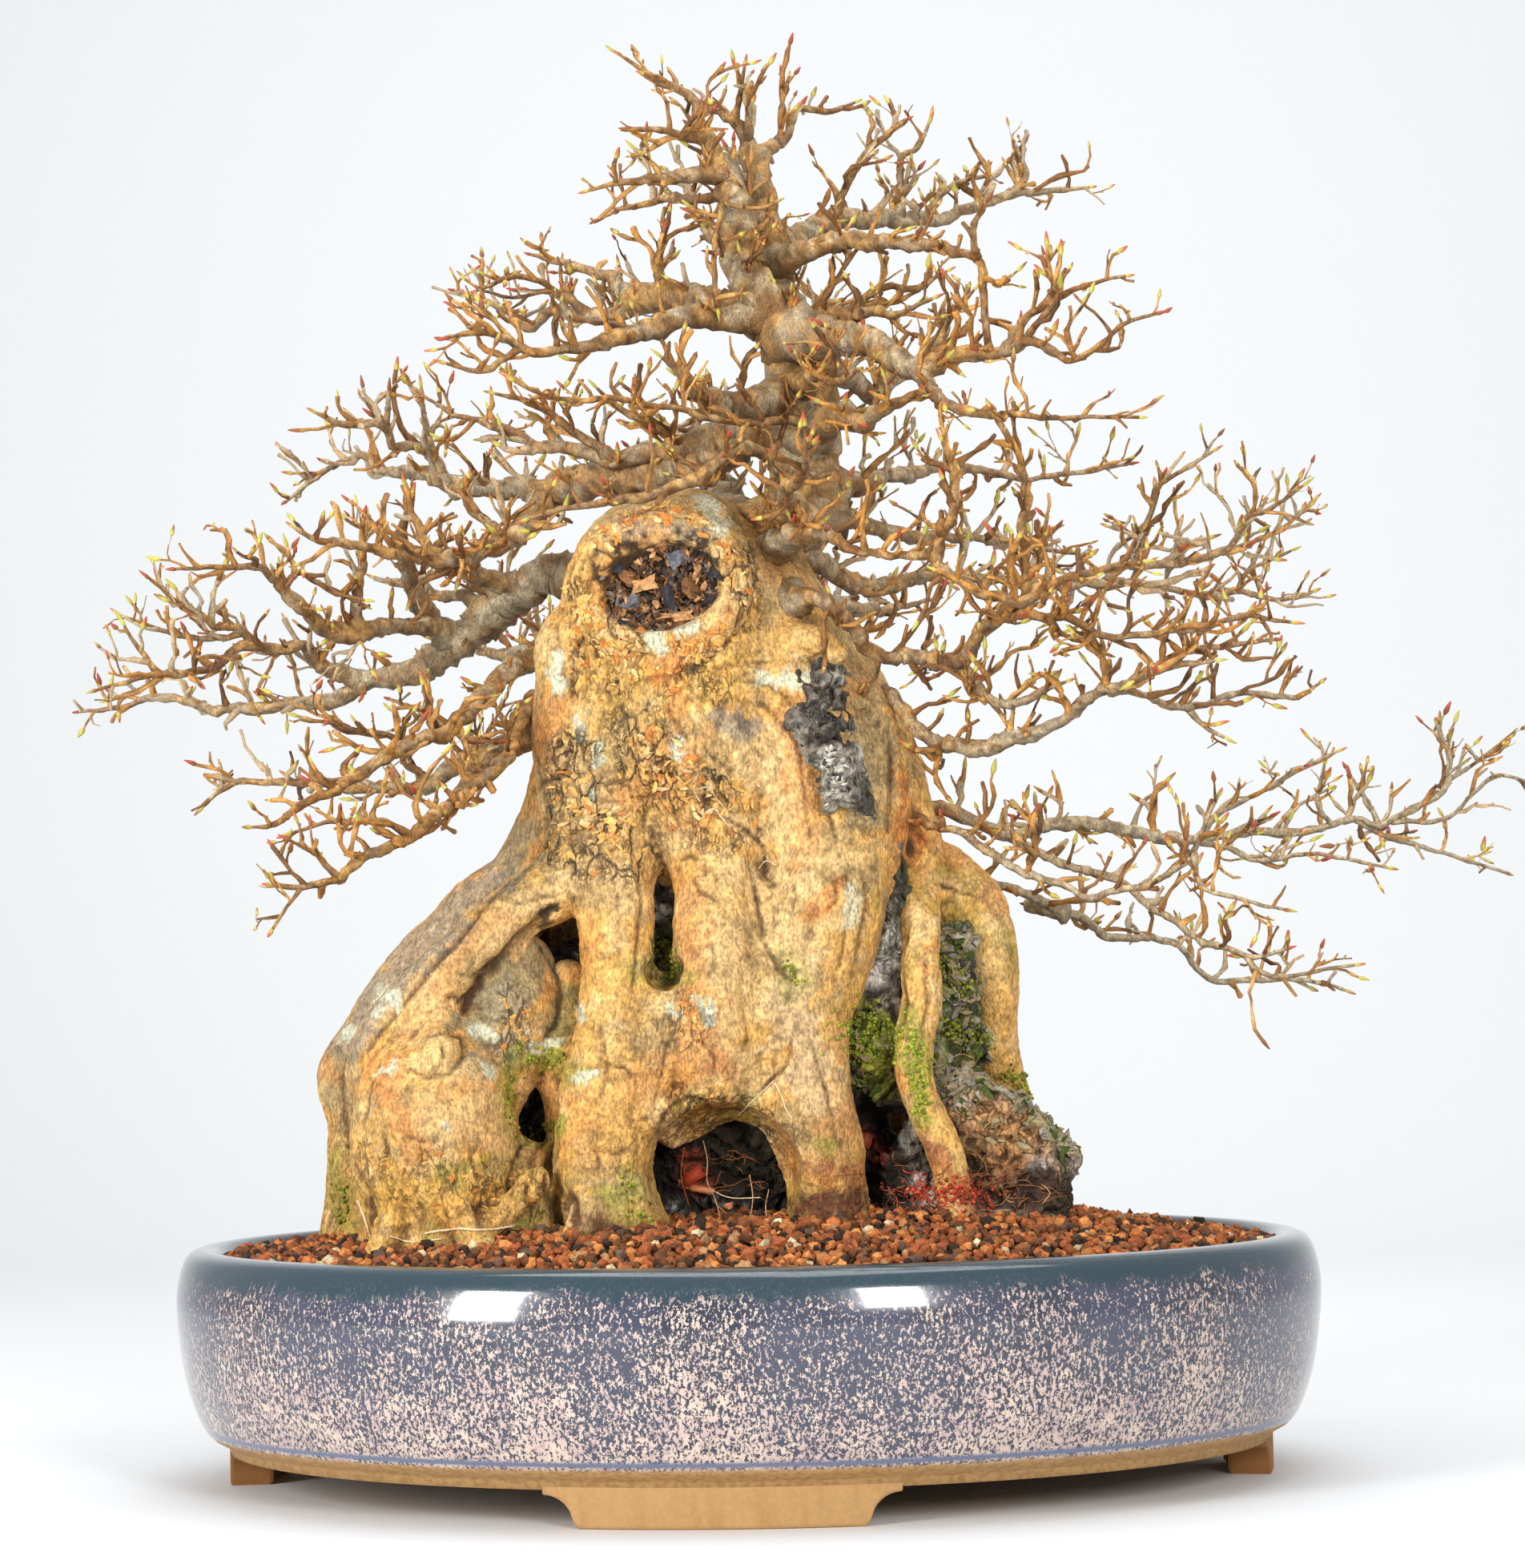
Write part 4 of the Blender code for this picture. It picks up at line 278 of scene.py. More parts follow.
    ((-92, 296, -17, 4), (-104, 289, -16, 3.5), (-112, 281, -18, 3), (-119, 273, -20, 2.6),
     (-126, 269, -22, 1.6)),
    # the ridged front limb on the right
    ((10, 372, 0, 9), (24, 378, -24, 6), (34, 380, -42, 4), (48, 374, -52, 2.8), (62, 370, -60, 2.5),
     (76, 370, -66, 2.6), (82, 368, -70, 3), (90, 361, -74, 2.6), (99, 355, -78, 2.8), (108, 351, -82, 3),
     (116, 350, -86, 3), (126, 354, -90, 2.6), (136, 360, -94, 2.4), (149, 362, -98, 2),
     (166, 365, -102, 1)),
    ((81, 368, -70, 3), (85, 378, -74, 3), (90, 389, -78, 2.8), (90, 404, -82, 2.4), (86, 416, -86, 1.2)),
    # grey limbs behind it, from the top down
    ((32, 396, 6, 7), (52, 400, 16, 5), (64, 402, 26, 4.4), (76, 405, 36, 4), (90, 406, 46, 3),
     (104, 403, 56, 2.4), (120, 400, 66, 2), (140, 402, 76, 1.6), (161, 405, 84, 1)),
    ((26, 384, 8, 7), (46, 386, 22, 5), (58, 382, 32, 4.5), (72, 376, 42, 4), (88, 378, 52, 3),
     (104, 376, 62, 2.4), (122, 372, 72, 2), (143, 368, 82, 1)),
    ((16, 374, -2, 8), (30, 370, 0, 5), (39, 365, 6, 5), (49, 359, 12, 5), (60, 356, 20, 4.5),
     (74, 360, 28, 4), (88, 362, 34, 3.6), (104, 360, 40, 3.2), (118, 357, 46, 3), (134, 356, 52, 2.8),
     (150, 356, 58, 2.5), (163, 357, 62, 2.4), (181, 352, 70, 2.2), (192, 350, 74, 2), (204, 352, 78, 2),
     (215, 349, 82, 1.8), (225, 348, 86, 1.6), (234, 351, 90, 1)),
    ((148, 356, 57, 2.6), (163, 366, 54, 2.4), (168, 378, 50, 2.2), (172, 394, 46, 2),
     (180, 400, 42, 1.8), (195, 409, 38, 1)),
    ((161, 364, 55, 2.2), (176, 363, 58, 2.4), (188, 365, 54, 2.2), (198, 368, 50, 2.2),
     (205, 375, 46, 2), (209, 383, 42, 1.8), (218, 385, 38, 1.6), (231, 394, 34, 1)),
    ((197, 368, 50, 1.8), (211, 372, 54, 1.6), (224, 378, 58, 1.4), (235, 388, 62, 1)),
    ((205, 352, 78, 1.6), (209, 360, 74, 1.4), (226, 368, 70, 1)),
    ((22, 352, -16, 7), (32, 354, -26, 4.2), (41, 349, -28, 4), (48, 341, -28, 4), (54, 331, -26, 4),
     (62, 327, -24, 4), (76, 328, -20, 4.2), (92, 322, -24, 4), (100, 314, -30, 3), (110, 309, -36, 2.6),
     (121, 312, -42, 2.2), (134, 317, -48, 1)),
    ((80, 328, -20, 4), (93, 328, -26, 4.2), (100, 338, -36, 3.8), (108, 344, -44, 3.6),
     (118, 352, -50, 3.2), (118, 368, -52, 3), (118, 380, -54, 2.8), (119, 400, -58, 2.4),
     (114, 414, -62, 2), (106, 429, -66, 1)),
    ((107, 344, -44, 3), (118, 345, -52, 2.8), (128, 343, -58, 2.6), (138, 341, -62, 2.4),
     (149, 336, -66, 2.2), (160, 334, -70, 2.2), (174, 336, -74, 2), (190, 338, -78, 1.8),
     (204, 342, -82, 1.6), (225, 339, -90, 1)),
    # the low curve on the right
    ((36, 326, 2, 8), (51, 320, -6, 5), (58, 316, -10, 4.4), (65, 311, -14, 4.2), (71, 302, -18, 4),
     (80, 295, -22, 4), (91, 292, -26, 4.4), (103, 291, -30, 4.6), (114, 295, -34, 4),
     (125, 298, -38, 3.6), (134, 303, -42, 3.4), (143, 309, -46, 3.2), (151, 313, -50, 3),
     (161, 317, -54, 2.6), (171, 321, -58, 2.4), (181, 323, -62, 2), (194, 324, -66, 1)),
    ((150, 313, -50, 2.6), (164, 311, -46, 2.2), (173, 307, -42, 2.2), (183, 305, -38, 2.2),
     (193, 309, -34, 2), (204, 311, -30, 2), (216, 309, -26, 1.8), (227, 309, -22, 1.5),
     (236, 314, -18, 1)),
    ((182, 305, -38, 1.8), (188, 298, -36, 1.5), (197, 293, -34, 1)),
    ((169, 320, -57, 2), (182, 328, -54, 2), (196, 330, -50, 1.8), (218, 332, -42, 1)),
    # the long low limb on the right
    ((52, 276, 2, 8), (76, 267, 10, 4), (88, 265, 14, 4), (101, 258, 18, 3.6), (110, 255, 22, 3.6),
     (121, 258, 26, 3.6), (134, 259, 30, 3.8), (153, 257, 34, 3.8), (170, 253, 38, 3.6),
     (187, 252, 42, 3.2), (202, 254, 44, 3), (218, 254, 46, 2.8), (234, 255, 48, 2.5),
     (250, 259, 50, 2.3), (260, 256, 50, 2.2), (272, 263, 48, 2), (283, 268, 46, 1.8),
     (287, 280, 44, 1.5), (283, 296, 42, 1)),
    ((110, 255, 22, 3), (120, 248, 18, 2.8), (129, 243, 14, 2.8), (141, 240, 10, 2.6), (154, 235, 6, 2.4),
     (166, 225, 2, 2.2), (176, 218, -2, 2.2), (186, 210, -6, 2), (197, 207, -10, 1.8),
     (206, 204, -14, 1.6), (220, 207, -18, 1)),
    ((204, 204, -14, 1.6), (210, 197, -16, 1.5), (225, 197, -18, 1.4), (247, 200, -22, 1)),
    ((58, 266, -6, 5), (80, 260, -16, 2.8), (94, 254, -22, 2.6), (107, 244, -28, 2.5),
     (120, 238, -34, 2.4), (133, 233, -40, 2.2), (141, 229, -44, 2.2), (152, 232, -46, 2),
     (165, 234, -48, 1.9), (175, 239, -50, 1.8), (185, 248, -52, 1.8), (188, 257, -54, 1.6),
     (194, 269, -56, 1)),
    ((184, 247, -52, 1.7), (187, 233, -54, 1.6), (200, 228, -56, 1.5), (219, 223, -60, 1)),
    ((60, 246, 6, 7), (82, 238, 16, 3.4), (97, 238, 22, 3), (113, 233, 28, 2.8), (126, 226, 34, 3),
     (141, 219, 38, 2.8), (150, 213, 42, 2.6), (166, 212, 46, 2.4), (178, 208, 50, 2.2),
     (184, 200, 54, 2), (192, 195, 58, 2), (208, 195, 62, 1.8), (230, 194, 66, 1.5), (243, 190, 70, 1)),
    ((133, 222, 36, 4), (122, 226, 38, 4.5), (116, 227, 40, 4)),
    ((186, 252, 42, 2.4), (195, 262, 38, 2), (211, 271, 32, 1.6), (225, 278, 28, 1.4), (242, 286, 24, 1)),
    ((216, 254, 46, 1.8), (224, 264, 50, 1.5), (238, 271, 54, 1)),
    ((240, 256, 49, 1.6), (234, 265, 44, 1.4), (237, 281, 40, 1)),
    ((259, 257, 50, 1.8), (251, 270, 56, 1.5), (246, 279, 60, 1)),
    ((285, 274, 45, 1.5), (295, 279, 50, 1.3), (311, 290, 56, 1)),
    ((264, 258, 49, 1.6), (284, 258, 44, 1.5), (296, 268, 40, 1.4), (307, 275, 36, 1.2), (319, 272, 32, 1)),
    ((248, 258, 50, 1.8), (264, 250, 54, 1.6), (275, 247, 58, 1.5), (297, 240, 64, 1.2), (308, 236, 68, 1)),
    ((184, 251, 41, 2), (199, 247, 34, 1.8), (211, 243, 28, 1.6), (235, 245, 22, 1.4), (261, 239, 12, 1)),
    # limbs that fill the back
    ((0, 380, 16, 10), (-5, 398, 45, 7), (-12, 410, 68, 5.5), (-22, 420, 90, 3.5), (-40, 440, 118, 1)),
    ((-10, 408, 64, 4), (4, 416, 84, 2.8), (16, 421, 104, 1)),
    ((8, 346, 18, 9), (25, 352, 48, 6), (45, 350, 72, 4.5), (62, 348, 92, 3), (82, 352, 112, 1)),
    ((38, 351, 64, 3.4), (36, 344, 92, 2.4), (28, 340, 118, 1)),
    ((-38, 345, 18, 9), (-60, 340, 48, 6), (-85, 335, 70, 4.5), (-105, 335, 90, 3), (-126, 341, 108, 1)),
    ((-82, 336, 68, 3.4), (-80, 342, 92, 2.4), (-72, 346, 118, 1)),
    ((27, 430, 6, 8), (30, 440, 34, 5.5), (34, 452, 58, 4), (38, 466, 78, 2.6), (44, 478, 94, 1)),
    ((5, 490, 0, 6), (-2, 500, 26, 4), (-10, 508, 44, 2.8), (-16, 521, 60, 1)),
    ((-18, 300, 22, 9), (-30, 300, 52, 5), (-45, 296, 76, 4), (-52, 300, 96, 2.5), (-61, 307, 114, 1)),
    # limbs that reach to the front
    ((24, 386, 0, 9), (22, 392, -26, 6), (23, 398, -48, 4), (29, 404, -68, 2.6), (31, 418, -86, 1)),
    ((28, 440, 2, 7), (36, 444, -32, 3), (44, 442, -54, 2.2), (53, 447, -74, 1)),
)

# The healed edge round the old cut on the head
CUT_MIDDLE = (-31, 360, -40)
CUT_HALF_SIZES = (31, 25)
CUT_LEAN = -8
CALLUS_RADIUS = 8
CALLUS_KNOTS = 12

# The crown is deeper than the depths of the limbs say by this much
CROWN_DEPTH = 1.45


def linear(red, green, blue):
    """A screen colour, 0 to 255, as linear light."""
    return np.array([(c / 12.92 if c <= 0.04045 else ((c + 0.055) / 1.055) ** 2.4)
                     for c in (red / 255, green / 255, blue / 255)])


def add_object(name, mesh):
    """A new object in the scene."""
    thing = bpy.data.objects.new(name, mesh)
    bpy.context.scene.collection.objects.link(thing)
    return thing


def apply_modifiers(thing):
    """Give the object its evaluated mesh and drop its modifiers."""
    graph = bpy.context.evaluated_depsgraph_get()
    mesh = bpy.data.meshes.new_from_object(thing.evaluated_get(graph))
    thing.modifiers.clear()
    old = thing.data
    thing.data = mesh
    bpy.data.meshes.remove(old)
    return thing


def remove_all(things):
    """Delete helper objects."""
    for thing in things:
        bpy.data.objects.remove(thing, do_unlink=True)


def mesh_of(name, points, faces, smooth=True):
    """A mesh from arrays of points and of triangles or quads."""
    mesh = bpy.data.meshes.new(name)
    mesh.vertices.add(len(points))
    mesh.vertices.foreach_set("co", np.ascontiguousarray(points, np.float32).ravel())
    mesh.loops.add(faces.size)
    mesh.loops.foreach_set("vertex_index", np.ascontiguousarray(faces, np.int32).ravel())
    mesh.polygons.add(len(faces))
    mesh.polygons.foreach_set("loop_start", np.arange(0, faces.size, faces.shape[1], dtype=np.int32))
    mesh.polygons.foreach_set("use_smooth", np.full(len(faces), smooth))
    mesh.update(calc_edges=True)
    return mesh


def set_tint(mesh, colours, cracked=1.0):
    """Store a linear colour and how far it is cracked at each point, for the material to read."""
    rgba = np.ones((len(colours), 4), np.float32)
    rgba[:, 3] = cracked
    rgba[:, :3] = np.clip(colours, 0.0, 1.0)
    layer = mesh.color_attributes.new("tint", "FLOAT_COLOR", "POINT")
    layer.data.foreach_set("color", rgba.ravel())


def vectors_of(items, name):
    """One vector of each item, as an array."""
    flat = np.empty(len(items) * 3, np.float32)
    items.foreach_get(name, flat)
    return flat.reshape(-1, 3).astype(float)


def points_of(mesh):
    """The mesh's points as an array."""
    return vectors_of(mesh.vertices, "co")


def normals_of(mesh):
    """The mesh's point normals as an array."""
    return vectors_of(mesh.vertex_normals, "vector")


def set_points(mesh, points):
    """Move the mesh's points to the places in the array."""
    mesh.vertices.foreach_set("co", points.astype(np.float32).ravel())


def mesh_from(sheet, name):
    """A mesh of a working sheet, which is used up."""
    mesh = bpy.data.meshes.new(name)
    sheet.to_mesh(mesh)
    sheet.free()
    return mesh


def arrays_from(sheet):
    """Points and faces of a working sheet, which is used up."""
    points = np.array([vert.co[:] for vert in sheet.verts])
    faces = np.array([[vert.index for vert in face.verts] for face in sheet.faces])
    sheet.free()
    return points, faces


class Heap:
    """Many small shapes with their colours, gathered for one mesh of triangles."""

    def __init__(self):
        self.points, self.faces, self.colours, self.count = [], [], [], 0

    def add(self, points, faces, colour):
        """Add one shape with one colour, or a colour at each point."""
        self.points.append(points)
        self.faces.append(np.asarray(faces) + self.count)
        self.colours.append(np.broadcast_to(colour, (len(points), 3)))
        self.count += len(points)

    def make(self, name, smooth=True):
        """The object of everything added."""
        mesh = mesh_of(name, np.concatenate(self.points), np.concatenate(self.faces), smooth)
        set_tint(mesh, np.concatenate(self.colours))
        return add_object(name, mesh)


def seen(across, up, depth):
    """The place at this depth that shows at (across, up) on the pot's middle plane, from the eye."""
    on_plane = Vector((across * MM, 0.0, up * MM))
    return EYE + (on_plane - EYE) * (1.0 - depth * MM / EYE.y)


def shown(points):
    """Where points show on the pot's middle plane, as (across, up) in millimetres."""
    eye = np.array(EYE)
    share = EYE.y / (EYE.y - points[:, 1])
    flat = eye + (points - eye) * share[:, None]
    return flat[:, (0, 2)] / MM


# A pixel of the photograph in millimetres on the pot's middle plane, and how columns and rows lean
PIXEL_MM = 0.326
PIXEL_WIDE, PIXEL_HIGH = 0.3243, 0.3278
COLUMN_LEAN, ROW_LEAN = 0.00675, 0.0044

# Where column 0 lies across, and a row whose height is known
COLUMN_ACROSS = -304.9
LEVEL_ROW, LEVEL_UP = 1640, 68.2


def pixel(x, y):
    """The (across, up) in millimetres of a pixel of the photograph."""
    rise = LEVEL_ROW - y
    return PIXEL_WIDE * x + COLUMN_ACROSS + COLUMN_LEAN * rise, LEVEL_UP - ROW_LEAN * x + PIXEL_HIGH * rise


def smoothstep(low, high, values):
    """0 below low, 1 above high, smooth between."""
    share = np.clip((values - low) / (high - low), 0.0, 1.0)
    return share * share * (3.0 - 2.0 * share)


def blend(colours, other, share):
    """Colours moved towards another, by a share at each point."""
    return colours + (other - colours) * share[:, None]


def crinkle(points, density, octaves=3, seed=0.0, stretch=(1.0, 1.0, 1.0)):
    """Fractal noise at each point, about -1 to 1; density is per metre."""
    scaled = points * (np.array(stretch) * density) + seed
    fractal = noise.fractal
    return np.array([fractal(row, 1.0, 2.0, octaves) for row in scaled.tolist()])


def cell_edges(points, density, seed=0.0, stretch=(1.0, 1.0, 1.0)):
    """How far each point is from the border of its cell, 0 on the border, in cell sizes."""
    scaled = points * (np.array(stretch) * density) + seed
    found = []
    for row in scaled.tolist():
        near = noise.voronoi(row)[0]
        found.append(near[1] - near[0])
    return np.array(found)


def line_distance(places, line):
    """Distance of each (across, up) place from a line of pixels, and how far along it from 0 to 1."""
    line = [pixel(*spot) for spot in line]
    best = np.full(len(places), 1e9)
    along = np.zeros(len(places))
    pieces = list(zip(line, line[1:]))
    for index, (start, end) in enumerate(pieces):
        start, run = np.array(start), np.array(end) - np.array(start)
        share = np.clip(((places - start) @ run) / max(run @ run, 1e-9), 0.0, 1.0)
        away = np.linalg.norm(places - start - share[:, None] * run, axis=1)
        closer = away < best
        best[closer] = away[closer]
        along[closer] = (index + share[closer]) / len(pieces)
    return best, along


def oval_edge(angle, inset):
    """A point of the pot's oval, moved in square to the oval by the inset."""
    cosine, sine = math.cos(angle), math.sin(angle)
    normal = Vector((SHORT_HALF * cosine, LONG_HALF * sine)).normalized()
    return Vector((LONG_HALF * cosine, SHORT_HALF * sine)) - normal * inset


def curve_through(knots, step):
    """A smooth run through the knots, each a row of numbers whose first three are the place."""
    knots = np.asarray(knots, float)
    padded = np.vstack([2 * knots[0] - knots[1], knots, 2 * knots[-1] - knots[-2]])
    rows = []
    for i in range(1, len(padded) - 2):
        before, start, end, after = padded[i - 1:i + 3]
        square = 2 * before - 5 * start + 4 * end - after
        cube = 3 * start - before - 3 * end + after
        count = max(1, int(np.linalg.norm(end[:3] - start[:3]) / step))
        for k in range(count):
            t = k / count
            rows.append(0.5 * (2 * start + (end - before) * t + square * t * t + cube * t ** 3))
    rows.append(knots[-1])
    return np.array(rows)


def turning_frames(points):
    """Two side vectors at each point of a run, turned as little as possible from one to the next."""
    ahead = np.gradient(points, axis=0)
    ahead /= np.linalg.norm(ahead, axis=1)[:, None] + 1e-12
    side = np.cross(ahead[0], (0.3, 0.5, 0.8))
    sides = []
    for direction in ahead:
        side = side - direction * (side @ direction)
        side = side / (np.linalg.norm(side) + 1e-12)
        sides.append(side)
    sides = np.array(sides)
    return ahead, sides, np.cross(ahead, sides)


def tube(points, radii, sides):
    """Points and triangles of a closed tube. radii has one column, or one for each side."""
    ahead, side, other = turning_frames(points)
    angles = np.arange(sides) * 2 * math.pi / sides
    radii = np.asarray(radii, float)
    if radii.ndim == 1:
        radii = radii[:, None]
    cosines, sines = np.cos(angles)[None, :, None], np.sin(angles)[None, :, None]
    ring = cosines * side[:, None, :] + sines * other[:, None, :]
    skin = points[:, None, :] + ring * radii[:, :, None]
    count = len(points)
    verts = np.vstack([skin.reshape(-1, 3), points[0] - ahead[0] * radii[0].mean() * 0.4,
                       points[-1] + ahead[-1] * radii[-1].mean() * 0.6])
    around = np.arange(sides)
    turned = (around + 1) % sides
    rings = np.arange(count - 1)[:, None] * sides
    low, nxt = (rings + around[None, :]).ravel(), (rings + turned[None, :]).ravel()
    walls = np.vstack([np.stack([low, nxt, nxt + sides], 1), np.stack([low, nxt + sides, low + sides], 1)])
    last = (count - 1) * sides
    caps = np.vstack([np.stack([turned, around, np.full(sides, count * sides)], 1),
                      np.stack([last + around, last + turned, np.full(sides, count * sides + 1)], 1)])
    return verts, np.vstack([walls, caps])


def ball(subdivisions):
    """Points and triangles of a unit ball."""
    sheet = bmesh.new()
    bmesh.ops.create_icosphere(sheet, subdivisions=subdivisions, radius=1.0)
    return arrays_from(sheet)


def beside(axis, angle):
    """A direction square to the axis, turned about it by the angle."""
    side = axis.orthogonal().normalized()
    side.rotate(Matrix.Rotation(angle, 3, axis))
    return side


def finish(piece, material, slot, *nodes):
    """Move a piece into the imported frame, colour it, and fix it to the root body."""
    piece.data.transform(Matrix.Translation(POT_MIDDLE))
    piece.data.materials.clear()
    piece.data.materials.append(material)
    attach(piece, "root")
    if nodes:
        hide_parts(*nodes)


# Fineness of the trunk's skin, and where its back piece starts
TRUNK_VOXEL = 1.35 * MM
TRUNK_TRIANGLES = 285000
BACK_STARTS = 25 * MM
STRAND_SIDES = 24
STRAND_SMOOTHING = 9
HOLLOW_SMOOTHING = 3

# Hollows in the wood: middle, half sizes and lean about Y in degrees
WOOD_HOLLOWS = (
    ((37, 294, -52), (9, 26, 16), -17),
    ((33, 276, -52), (9, 16, 14), 0),
    ((-10, 119, -60), (31, 30, 44), 15),
    ((-83, 148, -52), (8, 10, 18), 0),
    ((-32, 214, -50), (5, 14, 16), 6),
    ((-31, 203, -50), (8, 8, 16), 0),
)
CRATER_HALF_SIZES = (25, 18.5, 17)

# Wood that closes the furrows between the front roots
FILLING_STRANDS = (
    ((8, 232, -30, 12), (9, 210, -34, 15), (9, 190, -37, 17), (8, 170, -37, 17), (5, 154, -34, 15)),
    ((-34, 192, -40, 13), (-35, 178, -45, 14), (-37, 163, -47, 14), (-40, 148, -50, 12)),
    ((22, 336, -32, 7), (32, 336, -35, 7), (41, 331, -34, 6)),
    ((-94, 210, -28, 12), (-108, 198, -31, 13), (-122, 186, -33, 12)),
    ((-69, 200, -22, 8), (-69, 182, -25, 9), (-69, 165, -27, 9)),
    ((-85, 119, -62, 6), (-96, 108, -67, 5.5), (-108, 97, -74, 5), (-116, 88, -78, 4)),
    ((-118, 110, -70, 7), (-112, 98, -77, 6), (-104, 88, -82, 5)),
    ((-140, 112, -64, 7), (-146, 99, -71, 6), (-152, 88, -76, 5)),
    ((-62, 114, -62, 8), (-66, 100, -69, 7), (-73, 88, -75, 6)),
    ((4, 160, -36, 15), (12, 150, -37, 15), (20, 140, -38, 15), (28, 130, -38, 15)),
)

OCHRE = linear(212, 162, 86)
PALE_TAN = linear(222, 184, 124)
GREY_OLIVE = linear(150, 134, 96)
GREY = linear(138, 130, 116)
ORANGE = linear(206, 128, 58)
GOLD = linear(206, 158, 66)
UMBER = linear(88, 58, 32)
BLACK_BROWN = linear(30, 21, 16)
LICHEN = linear(206, 206, 178)
MOSS_GREEN = linear(138, 142, 44)
DARK_MOSS = linear(68, 82, 28)
CHARCOAL = linear(66, 64, 61)
RUST = linear(150, 60, 34)
LOW_DARK_BROWN = linear(92, 48, 32)


def placed(sheet, middle, half_sizes, lean, name):
    """Make an object of a unit shape, stretched, leaning about Y, where the eye sees its middle."""
    place = (Matrix.Translation(seen(*middle))
             @ Matrix.Rotation(math.radians(lean), 4, "Y")
             @ Matrix.Diagonal((half_sizes[0] * MM, half_sizes[2] * MM, half_sizes[1] * MM, 1.0)))
    bmesh.ops.transform(sheet, matrix=place, verts=sheet.verts)
    return add_object(name, mesh_from(sheet, name))


def blob(middle, half_sizes, lean, subdivisions=4):
    """A stretched ball."""
    sheet = bmesh.new()
    bmesh.ops.create_icosphere(sheet, subdivisions=subdivisions, radius=1.0)
    return placed(sheet, middle, half_sizes, lean, "blob")


def chunk(middle, half_sizes, lean):
    """A rough block of stone: a box with its corners pulled in."""
    sheet = bmesh.new()
    bmesh.ops.create_cube(sheet, size=2.0)
    bmesh.ops.subdivide_edges(sheet, edges=sheet.edges, cuts=3, use_grid_fill=True)
    for vert in sheet.verts:
        vert.co *= 1.0 - 0.16 * max(0.0, vert.co.length - 1.0)
    return placed(sheet, middle, half_sizes, lean, "chunk")


def joined(things, name):
    """One object with the meshes of all the things, which are used up."""
    sheet = bmesh.new()
    for thing in things:
        sheet.from_mesh(thing.data)
    mesh = mesh_from(sheet, name)
    remove_all(things)
    return add_object(name, mesh)


def melt_together(thing, voxel, smooth_steps):
    """Turn overlapping shapes into one smooth skin."""
    remesh = thing.modifiers.new("melt", "REMESH")
    remesh.mode = "VOXEL"
    remesh.voxel_size = voxel
    if smooth_steps:
        smooth = thing.modifiers.new("smooth", "SMOOTH")
        smooth.factor = 0.5
        smooth.iterations = smooth_steps
    apply_modifiers(thing)


def cut_out(thing, cutters):
    """Cut the cutters, which are used up, out of a closed shape."""
    group = bpy.data.collections.new("cut")
    for cutter in cutters:
        group.objects.link(cutter)
    boolean = thing.modifiers.new("cut", "BOOLEAN")
    boolean.operation = "DIFFERENCE"
    boolean.solver = "MANIFOLD"
    boolean.operand_type = "COLLECTION"
    boolean.collection = group
    apply_modifiers(thing)
    remove_all(cutters)
    bpy.data.collections.remove(group)


def thin_out(thing, triangles):
    """Reduce a mesh to at most about this many triangles."""
    count = sum(len(face.vertices) - 2 for face in thing.data.polygons)
    if count <= triangles:
        return
    decimate = thing.modifiers.new("thin", "DECIMATE")
    decimate.ratio = triangles / count
    decimate.use_collapse_triangulate = True
    apply_modifiers(thing)


def callus_strand():
    """The thick ring of bark that grew round the old cut."""
    knots = []
    for i in range(CALLUS_KNOTS + 1):
        angle = 2 * math.pi * i / CALLUS_KNOTS
        out = Matrix.Rotation(math.radians(-CUT_LEAN), 2) @ Vector(
            (CUT_HALF_SIZES[0] * math.cos(angle), CUT_HALF_SIZES[1] * math.sin(angle)))
        knots.append((CUT_MIDDLE[0] + out.x, CUT_MIDDLE[1] + out.y, CUT_MIDDLE[2], CALLUS_RADIUS))
    return knots


def strand_shape(strand):
    """A tube through a strand's knots, for melting."""
    rows = [(*seen(*knot[:3]), knot[3] * MM) for knot in strand]
    run = curve_through(rows, 5 * MM)
    points, faces = tube(run[:, :3], run[:, 3], STRAND_SIDES)
    return add_object("strand", mesh_of("strand", points, faces))


def rough_trunk():
    """The skin of trunk and roots, with its hollows, before any bark."""
    shapes = []
    for strand in TRUNK_STRANDS + FILLING_STRANDS + (callus_strand(),):
        shapes.append(strand_shape(strand))
        shapes += [blob(knot[:3], (knot[3],) * 3, 0, 3) for knot in strand]
    trunk = joined(shapes, "trunk")
    melt_together(trunk, TRUNK_VOXEL, STRAND_SMOOTHING)
    crater = ((*CUT_MIDDLE[:2], CUT_MIDDLE[2] - CALLUS_RADIUS), CRATER_HALF_SIZES, CUT_LEAN)
    cut_out(trunk, [blob(*hollow) for hollow in WOOD_HOLLOWS + (crater,)])
    melt_together(trunk, TRUNK_VOXEL, HOLLOW_SMOOTHING)
    return trunk


def hollowness(mesh, points, normals, steps):
    """How far each point lies below the mean of its surroundings, in millimetres."""
    ends = np.empty(len(mesh.edges) * 2, np.int64)
    mesh.edges.foreach_get("vertices", ends)
    one, two = ends[::2], ends[1::2]
    count = len(points)
    degree = np.bincount(ends, minlength=count).astype(float)
    mean = points.copy()
    for _ in range(steps):
        columns = [np.bincount(one, mean[two, axis], count) + np.bincount(two, mean[one, axis], count)
                   for axis in range(3)]
        mean = np.stack(columns, 1) / degree[:, None]
    return ((mean - points) * normals).sum(axis=1) / MM


# A stroke narrower than this is a crack, a wider one a fold, in millimetres
FOLD_WIDTH = 2.3


